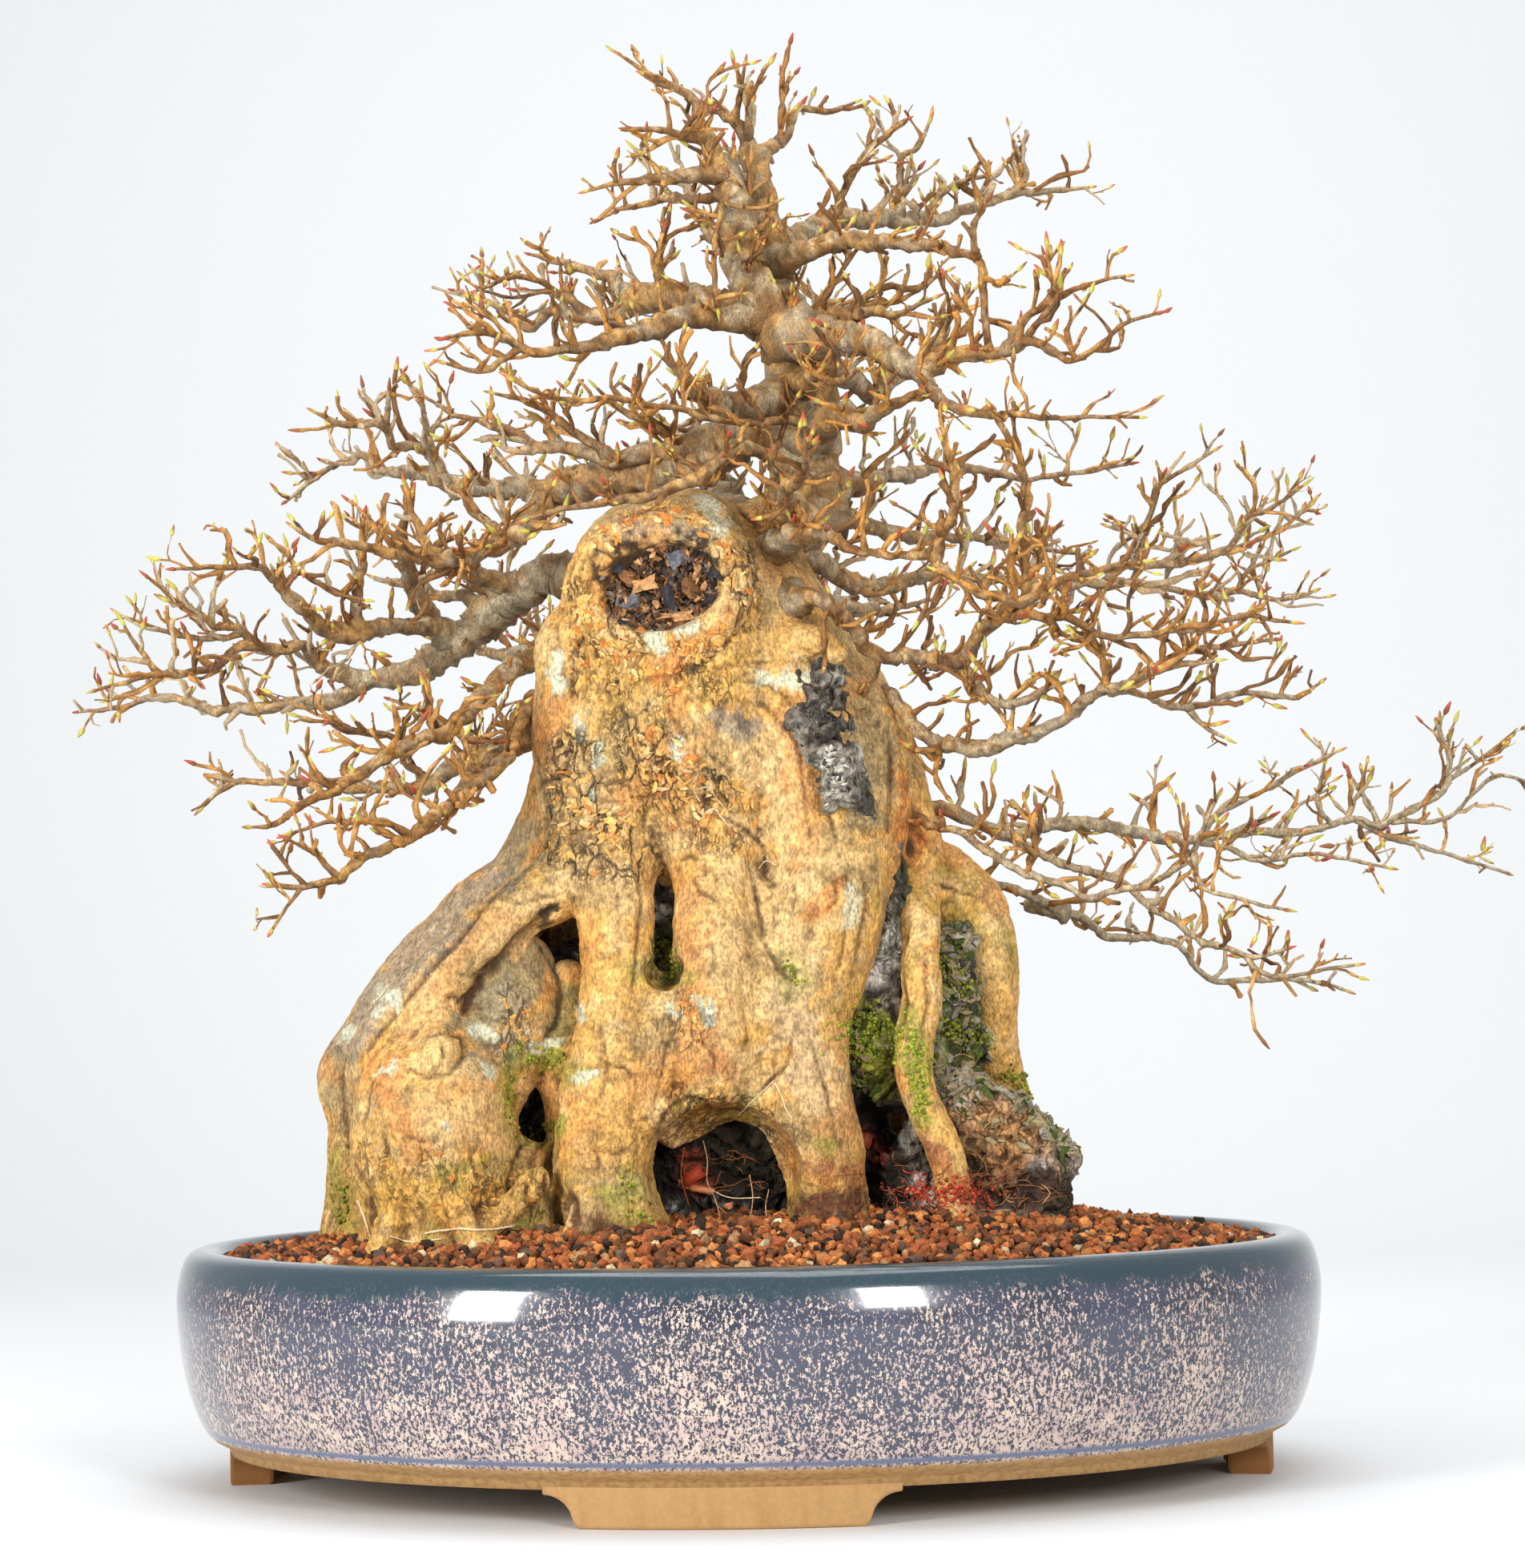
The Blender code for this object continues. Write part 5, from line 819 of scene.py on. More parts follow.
def toward_eye(points, normals):
    """1 on skin that faces the eye, 0 on skin that faces away."""
    to_eye = np.array(EYE) - points
    to_eye /= np.linalg.norm(to_eye, axis=1)[:, None]
    return smoothstep(0.0, 0.35, (normals * to_eye).sum(axis=1))


def painted(places, colour, washes, ragged, facing):
    """Lay patches of colour with torn edges over the skin."""
    for tint, strength, width, line in washes:
        away, _ = line_distance(places, line)
        torn = away + ragged * width * 1.2
        mask = (1.0 - smoothstep(width * 0.65, width * 1.05, torn)) * strength * facing
        colour = blend(colour, tint, mask)
    return colour


def sculpt_trunk(trunk):
    """Move the skin in and out for folds, plates and knots; paint it, with painted shade in hollows and a
    painted highlight on raised places.
    """
    points, normals = points_of(trunk.data), normals_of(trunk.data)
    places = shown(points)
    facing = toward_eye(points, normals)

    lumps = crinkle(points, 24, 3, 3.0, (1, 1, 0.75))
    grain = crinkle(points, 105, 4, 8.0, (1, 1, 0.5))
    fine = crinkle(points, 330, 2, 5.0)
    flaky = smoothstep(0.1, 0.4, crinkle(points, 15, 2, 12.0)) * 0.35
    for strength, width, line in FLAKY_ZONES:
        away, _ = line_distance(places, line)
        mask = 1.0 - smoothstep(width * 0.6, width * 1.1, away)
        flaky = flaky + (strength - flaky) * mask * facing
    warp = np.stack([grain, crinkle(points, 60, 3, 51.0), fine], 1) * 0.009
    plates = cell_edges(points + warp * 1.4, 100, 4.0, (1, 1, 0.6))
    broken = smoothstep(-0.05, 0.35, crinkle(points, 75, 2, 55.0))
    crack = (1.0 - smoothstep(0.0, 0.15, plates)) * broken
    curled = smoothstep(0.0, 0.7, plates)
    move = lumps * 1.6 + grain * (0.6 + 1.0 * flaky) + fine * 0.35 + (curled * 0.7 - crack * 1.4) * flaky

    line_cut = np.zeros(len(points))
    wobbly = places + np.stack([lumps, grain], 1) * 1.6
    for depth, width, line in STROKES:
        away, along = line_distance(wobbly, line)
        taper = np.sqrt(np.clip(np.sin(np.pi * np.clip(along, 0.03, 0.97)), 0.0, 1.0))
        fine_line = depth < 0 and width < FOLD_WIDTH
        press = np.exp(-(away / (width * (0.72 if fine_line else 1.0))) ** 2) * taper * facing
        move += depth * press * (0.6 if fine_line else 0.8)
        if depth < 0:
            line_cut = np.maximum(line_cut, press ** 1.5 * min(1.0, -depth / 2.4))
    points += normals * (move * MM)[:, None]
    set_points(trunk.data, points)
    trunk.data.update()
    normals = normals_of(trunk.data)
    close = hollowness(trunk.data, points, normals, 4)
    broad = hollowness(trunk.data, points, normals, 30)

    grey = smoothstep(-0.05, 0.3, crinkle(points, 22, 6, 31.0))
    warm = smoothstep(0.05, 0.35, crinkle(points, 34, 6, 47.0))
    light = smoothstep(0.0, 0.3, crinkle(points, 60, 6, 63.0))
    ragged = crinkle(points, 90, 5, 71.0)
    speckle = crinkle(points, 300, 3, 81.0)
    colour = blend(OCHRE, GREY_OLIVE, grey * 0.6)
    colour = blend(colour, PALE_TAN, light * 0.7)
    colour = blend(colour, ORANGE, warm * 0.4)
    colour = painted(places, colour, WASHES, ragged, facing)
    colour = colour * (1.0 + 0.5 * speckle)[:, None]
    damp = (1.0 - smoothstep(0.098, 0.140, points[:, 2] + lumps * 0.012)) * smoothstep(-0.3, 0.3, ragged)
    colour = blend(colour, GOLD, damp * 0.5)
    colour = blend(colour, MOSS_GREEN, damp * smoothstep(0.0, 0.3, grain) * 0.55)
    # painted shade: umber laid into hollows, cracks and carved lines
    hollow_shade = smoothstep(0.05, 0.5, close) * 0.7 + smoothstep(0.5, 3.0, broad) * 0.45
    hollow_shade = np.maximum(hollow_shade * (1.0 - 0.5 * flaky), np.maximum(crack * flaky * 0.45, line_cut * 0.85))
    colour = blend(colour, UMBER * 0.55, np.clip(hollow_shade, 0.0, 0.94))
    # painted highlight: paler tan on raised places of the skin
    raised = smoothstep(0.05, 0.5, -close) * 0.3
    colour = blend(colour, PALE_TAN, raised)
    colour = painted(places, colour, SPOTS, speckle * 0.9 + ragged * 0.5, facing)
    set_tint(trunk.data, colour, np.clip(flaky, 0.0, 1.0))
    thin_out(trunk, TRUNK_TRIANGLES)
    return trunk


def split_at(thing, plane, names):
    """Two objects of a mesh, in front of and behind the plane, that share the whole mesh's normals."""
    mesh = thing.data
    points, normals = points_of(mesh), normals_of(mesh)
    corners = np.empty(len(mesh.loops), np.int32)
    mesh.loops.foreach_get("vertex_index", corners)
    faces = corners.reshape(-1, 3)
    rgba = np.empty(len(mesh.vertices) * 4, np.float32)
    mesh.color_attributes["tint"].data.foreach_get("color", rgba)
    tint = rgba.reshape(-1, 4)
    behind = points[faces, 1].mean(axis=1) > plane
    pieces = []
    for name, chosen in zip(names, (faces[~behind], faces[behind])):
        used, index = np.unique(chosen, return_inverse=True)
        half = mesh_of(name, points[used], index.reshape(-1, 3))
        set_tint(half, tint[used, :3], tint[used, 3])
        half.normals_split_custom_set_from_vertices(normals[used].tolist())
        pieces.append(add_object(name, half))
    remove_all([thing])
    return pieces


CHAR = linear(54, 53, 54)
BLUE_CHAR = linear(104, 105, 109)
ROTTEN = linear(128, 86, 52)
ROTTEN_PALE = linear(188, 138, 88)
ROTTEN_GREY = linear(112, 98, 84)

# Slabs in the old cut: middle and half size in pixels, lean in degrees, colour
CUT_SLABS = (
    ((854, 704), (19, 14), 25, BLUE_CHAR),
    ((893, 720), (11, 22), 8, CHAR),
    ((896, 752), (11, 14), -20, CHAR),
    ((838, 752), (7, 16), 12, CHAR),
    ((786, 760), (14, 9), 30, BLUE_CHAR),
    ((772, 716), (12, 7), -10, CHAR),
    ((812, 690), (34, 5), -8, ROTTEN),
    ((866, 742), (11, 16), 30, ROTTEN),
    ((806, 736), (17, 9), 12, ROTTEN_PALE),
    ((786, 726), (12, 8), -16, ROTTEN),
    ((848, 776), (24, 5), 6, ROTTEN_PALE),
    ((874, 722), (6, 12), -25, ROTTEN_PALE),
    ((750, 716), (6, 20), 6, GREY),
    ((800, 674), (38, 4), -6, GREY),
    ((862, 678), (22, 4), 18, GREY),
)

# Crumbs that fill the cut, and the colours they are drawn from
CRUMB_COUNT = 1500
CRUMB_COLOURS = (ROTTEN, ROTTEN, ROTTEN_PALE, ROTTEN_GREY, UMBER, UMBER, BLACK_BROWN, CHAR)


def shard(heap, middle, half_sizes, turn, colour, rng, shape, smallest=0.7):
    """An angular lump with jagged corners."""
    shape_points, shape_faces = shape
    jag = np.array([rng.uniform(smallest, 1.25) for _ in range(len(shape_points))])
    points = (shape_points * jag[:, None] * np.array(half_sizes)) @ np.array(turn).T + np.array(middle)
    tone = np.array([rng.uniform(0.6, 1.3) for _ in range(len(points))])
    heap.add(points, shape_faces, colour * tone[:, None])


def plate(heap, place, normal, long_half, thick_half, tilt, colour, rng):
    """A thin plate with a jagged, lifted rim, laid on the skin."""
    across = beside(normal, rng.uniform(0, 2 * math.pi))
    leaning = normal.copy()
    leaning.rotate(Matrix.Rotation(tilt, 3, across))
    along = leaning.cross(across)
    wide = rng.uniform(0.25, 0.7)
    curl = rng.uniform(0.05, 0.3)
    rim = 8
    points = [place + leaning * thick_half, place - leaning * thick_half]
    for k in range(rim):
        angle = 2 * math.pi * (k + rng.uniform(-0.3, 0.3)) / rim
        reach = rng.uniform(0.6, 1.15)
        x, y = math.cos(angle) * reach, math.sin(angle) * reach * wide
        points.append(place + (across * x + along * y + leaning * (curl * x * x)) * long_half)
    faces = [(0, 2 + k, 2 + (k + 1) % rim) for k in range(rim)]
    faces += [(1, 2 + (k + 1) % rim, 2 + k) for k in range(rim)]
    tone = np.array([rng.uniform(0.75, 1.2) for _ in points])
    heap.add(np.array(points), faces, colour * tone[:, None])


def block():
    """Points and triangles of a box with its edges cut once."""
    sheet = bmesh.new()
    bmesh.ops.create_cube(sheet, size=1.7)
    bmesh.ops.subdivide_edges(sheet, edges=sheet.edges, cuts=1, use_grid_fill=True)
    bmesh.ops.triangulate(sheet, faces=sheet.faces)
    return arrays_from(sheet)


def make_old_wood():
    """Flaking and charred wood that fills the old cut."""
    rng = random.Random(11)
    heap = Heap()
    box = block()
    for (x, y), (wide, high), lean, colour in CUT_SLABS:
        across, up = pixel(x, y)
        middle = seen(across, up, -40 + rng.uniform(-1.5, 1.5))
        turn = (Matrix.Rotation(math.radians(-lean), 3, "Y")
                @ Matrix.Rotation(rng.uniform(-0.8, 0.8), 3, "X")
                @ Matrix.Rotation(rng.uniform(-0.6, 0.6), 3, "Z"))
        half = (wide * PIXEL_MM * MM, 2.6 * MM, high * PIXEL_MM * MM)
        shard(heap, middle, half, turn, colour, rng, box, 0.3)
    toward = Vector((0, -1, 0.1)).normalized()
    for _ in range(CRUMB_COUNT):
        angle, share = rng.uniform(0, 2 * math.pi), math.sqrt(rng.random())
        across = CUT_MIDDLE[0] + 27 * share * math.cos(angle)
        up = CUT_MIDDLE[1] + 20 * share * math.sin(angle)
        middle = seen(across, up, -35 - 6.5 * share ** 3 + rng.uniform(-3.0, 1.5))
        colour = rng.choice(CRUMB_COLOURS)
        plate(heap, middle, toward, rng.uniform(0.9, 2.9) * MM, rng.uniform(0.4, 0.9) * MM,
              rng.uniform(-0.9, 0.9), colour, rng)
    return heap.make("old_cut_wood", False)


# Folds, ridges and slits of the bark: depth and half width in millimetres, and the line in pixels
STROKES = (
    # Head and the ring round the old cut
    (-3.0, 1.4, ((742, 656), (760, 641), (775, 636))),
    (-2.2, 1.3, ((905, 700), (916, 738), (912, 778))),
    (-2.4, 1.3, ((922, 715), (929, 760), (921, 800))),
    (-3.2, 1.6, ((934, 788), (905, 815), (880, 836), (848, 846))),
    (1.8, 2.6, ((918, 772), (890, 800), (845, 826))),
    (-2.0, 1.3, ((750, 790), (780, 808), (812, 812))),
    (-2.4, 1.3, ((922, 640), (935, 650), (950, 664))),
    (-2.6, 1.8, ((697, 785), (700, 830), (704, 862), (688, 884))),
    (-2.0, 1.2, ((720, 700), (706, 740), (704, 780))),
    (-1.8, 1.2, ((735, 690), (722, 730), (722, 775))),
    (-1.8, 1.3, ((765, 655), (820, 644), (870, 655), (905, 680))),
    (1.2, 1.8, ((750, 665), (800, 650), (860, 654), (900, 672))),
    # Neck
    (-2.2, 1.2, ((835, 880), (845, 902), (856, 920), (872, 938))),
    (-2.4, 1.2, ((850, 848), (869, 870), (857, 888))),
    (-1.8, 1.4, ((770, 860), (830, 852), (900, 842), (985, 832))),
    (-3.4, 1.7, ((658, 1003), (672, 986), (692, 978), (714, 976), (742, 971))),
    (-2.4, 1.3, ((709, 975), (713, 955), (719, 928))),
    (1.8, 2.2, ((672, 972), (700, 962), (735, 960))),
    (-2.6, 1.3, ((756, 987), (768, 981), (778, 979))),
    (-3.0, 1.4, ((702, 1062), (708, 1049), (728, 1040), (748, 1030), (768, 1025), (792, 1018))),
    (-2.4, 1.1, ((814, 972), (820, 950), (823, 932))),
    (-2.4, 1.2, ((880, 938), (896, 952), (910, 966), (922, 978))),
    (-2.0, 1.1, ((774, 945), (780, 964), (782, 984))),
    (-3.2, 1.5, ((852, 990), (880, 1006), (902, 1003), (932, 1011))),
    (1.6, 2.0, ((858, 978), (890, 990), (925, 996))),
    (-2.4, 1.3, ((885, 1020), (912, 1030), (935, 1040), (957, 1062))),
    (-2.2, 1.2, ((830, 1010), (850, 1030), (862, 1060))),
    (-2.0, 1.2, ((795, 985), (812, 1010), (805, 1045))),
    (-2.2, 1.2, ((745, 1000), (765, 1008), (790, 1005))),
    (-2.4, 1.3, ((715, 1060), (735, 1072), (760, 1070), (785, 1062))),
    (-3.0, 1.5, ((745, 1084), (756, 1091), (770, 1086))),
    (-3.0, 1.4, ((848, 1079), (866, 1077), (884, 1079))),
    (-1.8, 1.6, ((900, 858), (960, 862), (985, 880), (1000, 905))),
    (-2.0, 1.6, ((905, 875), (960, 890), (1000, 935), (1010, 1000), (1015, 1060))),
    (-2.6, 1.5, ((1034, 1018), (1046, 1036), (1050, 1060))),
    (-2.6, 1.8, ((1113, 905), (1120, 950), (1117, 1000), (1113, 1045))),
    # Diagonal arm and the flank behind it
    (-3.6, 2.4, ((718, 1128), (690, 1142), (668, 1166), (640, 1190), (610, 1220), (590, 1250), (566, 1290))),
    (-3.4, 2.0, ((660, 1092), (622, 1116), (598, 1140), (575, 1172), (530, 1225), (500, 1265), (470, 1295),
                 (445, 1325))),
    (1.6, 4.0, ((690, 1118), (650, 1150), (600, 1200), (545, 1255), (505, 1290))),
    (-1.6, 1.2, ((642, 1136), (680, 1124), (716, 1120))),
    (-1.4, 1.2, ((560, 1220), (590, 1225), (612, 1215))),
    (-1.4, 1.2, ((545, 1245), (575, 1250), (595, 1240))),
    # Bulb
    (-2.6, 1.5, ((520, 1312), (536, 1297), (560, 1291), (580, 1300), (584, 1322), (566, 1344), (538, 1350),
                 (516, 1338))),
    (2.2, 3.0, ((550, 1316), (560, 1322))),
    (-3.0, 1.2, ((555, 1308), (557, 1328))),
    (-2.8, 1.6, ((474, 1326), (463, 1360), (460, 1392), (452, 1412))),
    (-3.0, 1.8, ((428, 1332), (425, 1372), (434, 1420), (444, 1452), (458, 1484), (476, 1502))),
    (-1.8, 1.1, ((513, 1393), (520, 1420), (546, 1431), (556, 1404))),
    (-2.0, 1.6, ((484, 1410), (490, 1440), (484, 1462))),
    (-2.0, 1.2, ((605, 1430), (592, 1446), (598, 1470), (612, 1478))),
    (-2.2, 1.6, ((700, 1284), (684, 1306), (655, 1318))),
    (-2.4, 1.6, ((684, 1196), (702, 1222), (706, 1252), (698, 1290))),
    (-3.4, 1.8, ((664, 1424), (646, 1452), (640, 1482), (648, 1512))),
    (-3.0, 1.6, ((682, 1426), (668, 1452), (662, 1490), (668, 1520))),
    (-2.8, 1.6, ((700, 1420), (690, 1450), (684, 1486), (690, 1515))),
    (1.6, 2.2, ((654, 1440), (652, 1480), (656, 1512))),
    (1.6, 2.2, ((676, 1440), (674, 1480), (678, 1512))),
    (-2.0, 2.0, ((586, 1492), (600, 1512), (604, 1536))),
    (-2.8, 2.4, ((712, 1488), (722, 1508), (724, 1540))),
    (-2.8, 2.4, ((462, 1490), (468, 1512), (470, 1540))),
    (-3.0, 2.0, ((530, 1500), (534, 1520), (530, 1545))),
    (-2.4, 1.4, ((742, 1440), (770, 1444), (792, 1436))),
    # Pillar between the gap and the small hole
    (-2.2, 1.3, ((800, 1090), (806, 1130), (802, 1170), (796, 1210), (790, 1250))),
    (-1.8, 1.2, ((770, 1100), (776, 1150), (772, 1210))),
    (-1.6, 1.2, ((752, 1280), (762, 1330), (752, 1390))),
    (-2.2, 1.3, ((735, 1345), (755, 1330), (785, 1335), (800, 1360), (795, 1390))),
    (-1.8, 1.2, ((820, 1270), (838, 1310), (832, 1350), (820, 1400))),
    # Thick root to the right of the small hole
    (-2.6, 1.4, ((868, 1098), (880, 1120), (895, 1127), (910, 1138))),
    (-2.2, 1.2, ((884, 1074), (888, 1104))),
    (1.8, 4.5, ((885, 1100), (890, 1112))),
    (-2.0, 1.4, ((938, 1080), (947, 1106), (951, 1142), (958, 1180), (974, 1214), (992, 1238))),
    (-2.0, 1.2, ((893, 1180), (896, 1206), (888, 1232))),
    (-1.8, 1.3, ((1020, 1092), (1048, 1110), (1052, 1128), (1036, 1142), (1008, 1150))),
    (-1.6, 1.3, ((985, 1085), (995, 1120), (985, 1160))),
    (-2.2, 1.5, ((1084, 1096), (1090, 1140), (1078, 1190), (1065, 1240))),
    (-1.6, 1.2, ((1062, 1090), (1068, 1140), (1056, 1200), (1040, 1250))),
    (-1.8, 1.3, ((1002, 1270), (986, 1330), (960, 1362), (930, 1392))),
    (-1.8, 1.3, ((1020, 1320), (1040, 1370), (1050, 1430))),
    (-1.6, 1.2, ((1000, 1390), (1012, 1430), (1006, 1462))),
    (-2.4, 1.6, ((822, 1440), (836, 1392), (868, 1372), (905, 1388))),
    (-1.6, 1.2, ((870, 1290), (900, 1330), (895, 1365))),
    (-1.4, 1.2, ((930, 1240), (940, 1300), (920, 1350))),
    # Right shoulder and the root in front of the stone
    (-3.0, 1.8, ((1138, 1148), (1130, 1200), (1138, 1260), (1130, 1310))),
    (-2.4, 1.6, ((1182, 1150), (1190, 1180), (1182, 1230))),
    (-1.8, 1.4, ((1150, 1100), (1190, 1118), (1235, 1130), (1262, 1165))),
    (1.8, 3.0, ((1238, 1158), (1250, 1172))),
    (-2.0, 1.3, ((1160, 1180), (1165, 1260), (1150, 1340))),
)

# Where the bark flakes: strength, half width in millimetres, and the line in pixels
FLAKY_ZONES = (
    (1.0, 17, ((720, 960), (720, 1060), (780, 1070))),
    (1.0, 20, ((800, 930), (860, 1010), (940, 1040))),
    (0.9, 15, ((720, 840), (800, 840), (900, 850))),
    (1.0, 10, ((725, 750), (760, 800), (840, 815))),
    (0.8, 8, ((930, 700), (940, 780))),
    (0.7, 9, ((640, 1250), (660, 1290), (640, 1320))),
    (0.6, 16, ((480, 1450), (560, 1480), (680, 1490))),
    (0.6, 12, ((870, 1260), (860, 1290))),
    (0.7, 12, ((860, 1390), (930, 1400), (980, 1430))),
    (0.1, 19, ((960, 930), (990, 1060), (1010, 1200))),
    (0.1, 14, ((690, 1130), (600, 1200), (520, 1280))),
    (0.15, 17, ((900, 1120), (910, 1220))),
    (0.1, 12, ((1180, 1130), (1250, 1170))),
    (0.1, 10, ((680, 790), (684, 860))),
    (0.15, 14, ((760, 1140), (765, 1260))),
)

# Broad patches of colour: colour, strength and half width in millimetres, and the line in pixels
WASHES = (
    (PALE_TAN, 0.85, 17, ((960, 940), (985, 1010), (990, 1080))),
    (ORANGE, 0.5, 10, ((990, 900), (1010, 960), (1010, 1050))),
    (PALE_TAN, 0.8, 9, ((680, 800), (684, 860))),
    (GOLD, 0.5, 14, ((710, 850), (780, 870), (900, 860))),
    (ORANGE, 0.55, 6, ((846, 860), (850, 910))),
    (ORANGE, 0.4, 8, ((690, 890), (680, 950))),
    (GREY, 0.5, 5, ((745, 672), (800, 657), (880, 668))),
    (GREY_OLIVE, 0.15, 9, ((950, 730), (975, 800), (1010, 840))),
    (ORANGE, 0.75, 6, ((915, 775), (880, 810), (838, 832))),
    # painted shade: umber laid along creases of the neck
    (UMBER, 0.55, 5, ((712, 830), (716, 870))),
    (UMBER, 0.2, 8, ((700, 960), (770, 985), (840, 990))),
    (UMBER, 0.2, 8, ((730, 1050), (790, 1040), (880, 1025), (950, 1040))),
    (GREY, 0.7, 6, ((905, 902), (930, 906), (945, 912))),
    (GREY_OLIVE, 0.85, 9, ((650, 1045), (640, 1080))),
    (GREY, 0.75, 9, ((618, 1105), (560, 1150), (490, 1225), (440, 1300))),
    (GREY_OLIVE, 0.5, 9, ((700, 1100), (660, 1120))),
    (PALE_TAN, 0.6, 8, ((690, 1120), (640, 1160), (575, 1230), (510, 1290))),
    (ORANGE, 0.35, 6, ((620, 1150), (560, 1230))),
    (GREY_OLIVE, 0.9, 12, ((680, 1215), (640, 1250), (610, 1290))),
    (GREY, 0.3, 9, ((640, 1260), (660, 1290), (600, 1340))),
    (DARK_MOSS, 0.7, 6, ((708, 1240), (712, 1280), (700, 1310))),
    (GREY_OLIVE, 0.3, 13, ((610, 1340), (600, 1390), (560, 1420))),
    (ORANGE, 0.5, 8, ((480, 1320), (500, 1380), (520, 1440))),
    (GREY_OLIVE, 0.6, 8, ((430, 1350), (440, 1400))),
    (OCHRE, 0.7, 12, ((770, 1280), (760, 1420))),
    (PALE_TAN, 0.5, 16, ((905, 1090), (910, 1250), (905, 1330))),
    (PALE_TAN, 0.8, 14, ((985, 1180), (1000, 1280), (1030, 1360))),
    (GREY, 0.3, 13, ((1000, 1240), (1010, 1340))),
    (ORANGE, 0.45, 8, ((862, 1110), (868, 1230), (880, 1330))),
    (ORANGE, 0.75, 4, ((1052, 1112), (1044, 1136), (1012, 1150))),
    (RUST, 0.35, 5, ((905, 1330), (912, 1345))),
    (MOSS_GREEN, 0.6, 6, ((640, 1345), (655, 1325), (700, 1325), (722, 1345))),
    (MOSS_GREEN, 0.75, 5, ((638, 1370), (642, 1410), (668, 1430), (704, 1410))),
    (GOLD, 0.6, 11, ((440, 1490), (520, 1495), (600, 1490), (690, 1470))),
    (MOSS_GREEN, 0.55, 6, ((420, 1450), (430, 1500), (450, 1520))),
    (MOSS_GREEN, 0.5, 6, ((560, 1470), (600, 1455), (640, 1450))),
    (MOSS_GREEN, 0.55, 8, ((790, 1490), (800, 1530))),
    (MOSS_GREEN, 0.5, 6, ((806, 1225), (830, 1240), (856, 1225))),
    (MOSS_GREEN, 0.4, 6, ((870, 1385), (910, 1395), (940, 1400))),
    (MOSS_GREEN, 0.6, 4, ((1030, 1428), (1040, 1436))),
    (MOSS_GREEN, 0.35, 6, ((985, 1205), (1000, 1232))),
    (MOSS_GREEN, 0.75, 6, ((1135, 1275), (1150, 1330), (1158, 1395))),
    (MOSS_GREEN, 0.4, 5, ((1140, 1160), (1136, 1230))),
    (RUST, 0.75, 7, ((1178, 1440), (1195, 1480), (1235, 1500))),
    (RUST, 0.55, 5, ((1000, 1478), (1076, 1472))),
    # dark red-brown low on the roots, over the cave and at the soil
    (LOW_DARK_BROWN, 0.92, 6, ((975, 1502), (1030, 1512), (1090, 1506))),
    (LOW_DARK_BROWN, 0.7, 4, ((730, 1530), (800, 1540), (840, 1530))),
    (PALE_TAN, 0.5, 14, ((560, 1380), (640, 1420))),
    (ORANGE, 0.85, 6, ((1132, 985), (1142, 1060))),
    (ORANGE, 0.5, 5, ((1138, 1060), (1150, 1100))),
    (GREY_OLIVE, 0.75, 8, ((1090, 890), (1098, 960), (1085, 1030))),
    (MOSS_GREEN, 0.35, 12, ((1150, 1130), (1210, 1150), (1260, 1190))),
    (PALE_TAN, 0.8, 6, ((1145, 1150), (1165, 1165))),
    (PALE_TAN, 0.8, 3, ((1238, 1155), (1250, 1170))),
    (OCHRE, 0.6, 6, ((1250, 1190), (1262, 1330))),
)

# Small marks, lichen, charred places, and painted shade in deep places and creases
SPOTS = (
    (LICHEN, 0.95, 2.6, ((700, 825), (696, 850), (702, 866))),
    (LICHEN, 0.9, 3.2, ((812, 795), (830, 815))),
    (LICHEN, 0.9, 2.6, ((850, 795), (868, 788))),
    (LICHEN, 0.85, 3.4, ((880, 632), (895, 650), (905, 664))),
    (LICHEN, 0.9, 3.0, ((726, 905), (728, 925))),
    (LICHEN, 0.9, 2.6, ((748, 935), (752, 955))),
    (LICHEN, 0.85, 3.2, ((848, 932), (852, 948))),
    (LICHEN, 0.9, 2.0, ((737, 1000), (736, 1010))),
    (LICHEN, 0.85, 3.4, ((960, 856), (1000, 860), (1015, 856))),
    (LICHEN, 0.9, 3.2, ((486, 1245), (498, 1256))),
    (LICHEN, 0.8, 2.2, ((470, 1268), (480, 1262))),
    (LICHEN, 0.85, 2.2, ((434, 1296), (440, 1288))),
    (LICHEN, 0.95, 2.8, ((598, 1290), (618, 1296))),
    (LICHEN, 0.95, 2.2, ((664, 1292), (672, 1296))),
    (LICHEN, 0.8, 2.2, ((668, 1312), (700, 1310))),
    (LICHEN, 0.85, 2.2, ((470, 1342), (492, 1336))),
    (LICHEN, 0.9, 2.0, ((612, 1340), (618, 1344))),
    (LICHEN, 0.85, 1.6, ((558, 1404), (562, 1408))),
    (LICHEN, 0.9, 2.6, ((730, 1352), (742, 1346))),
    (LICHEN, 0.9, 1.8, ((728, 1262), (728, 1275))),
    (LICHEN, 0.9, 2.6, ((874, 1252), (884, 1262), (892, 1274))),
    (LICHEN, 0.8, 2.2, ((838, 1260), (846, 1270))),
    (LICHEN, 0.6, 3.4, ((1072, 1122), (1068, 1160))),
    # charred wood in the old cut, made darker by painted shade of its hollow
    (BLACK_BROWN, 0.9, 10, ((770, 715), (830, 712), (875, 715))),
    (BLACK_BROWN, 0.9, 8, ((800, 750), (860, 750))),
    (DARK_MOSS, 0.8, 5, ((830, 1190), (835, 1220))),
    # painted shade in the crease under the diagonal arm
    (BLACK_BROWN, 0.85, 2.4, ((684, 1190), (684, 1150), (700, 1134))),
    # painted shade in the furrows low on the roots
    (UMBER, 0.7, 2.0, ((464, 1500), (468, 1525))),
    (UMBER, 0.7, 2.0, ((600, 1512), (604, 1530))),
    (UMBER, 0.7, 2.2, ((714, 1496), (722, 1530))),
    (CHARCOAL, 0.6, 3.0, ((930, 904), (938, 910))),
)


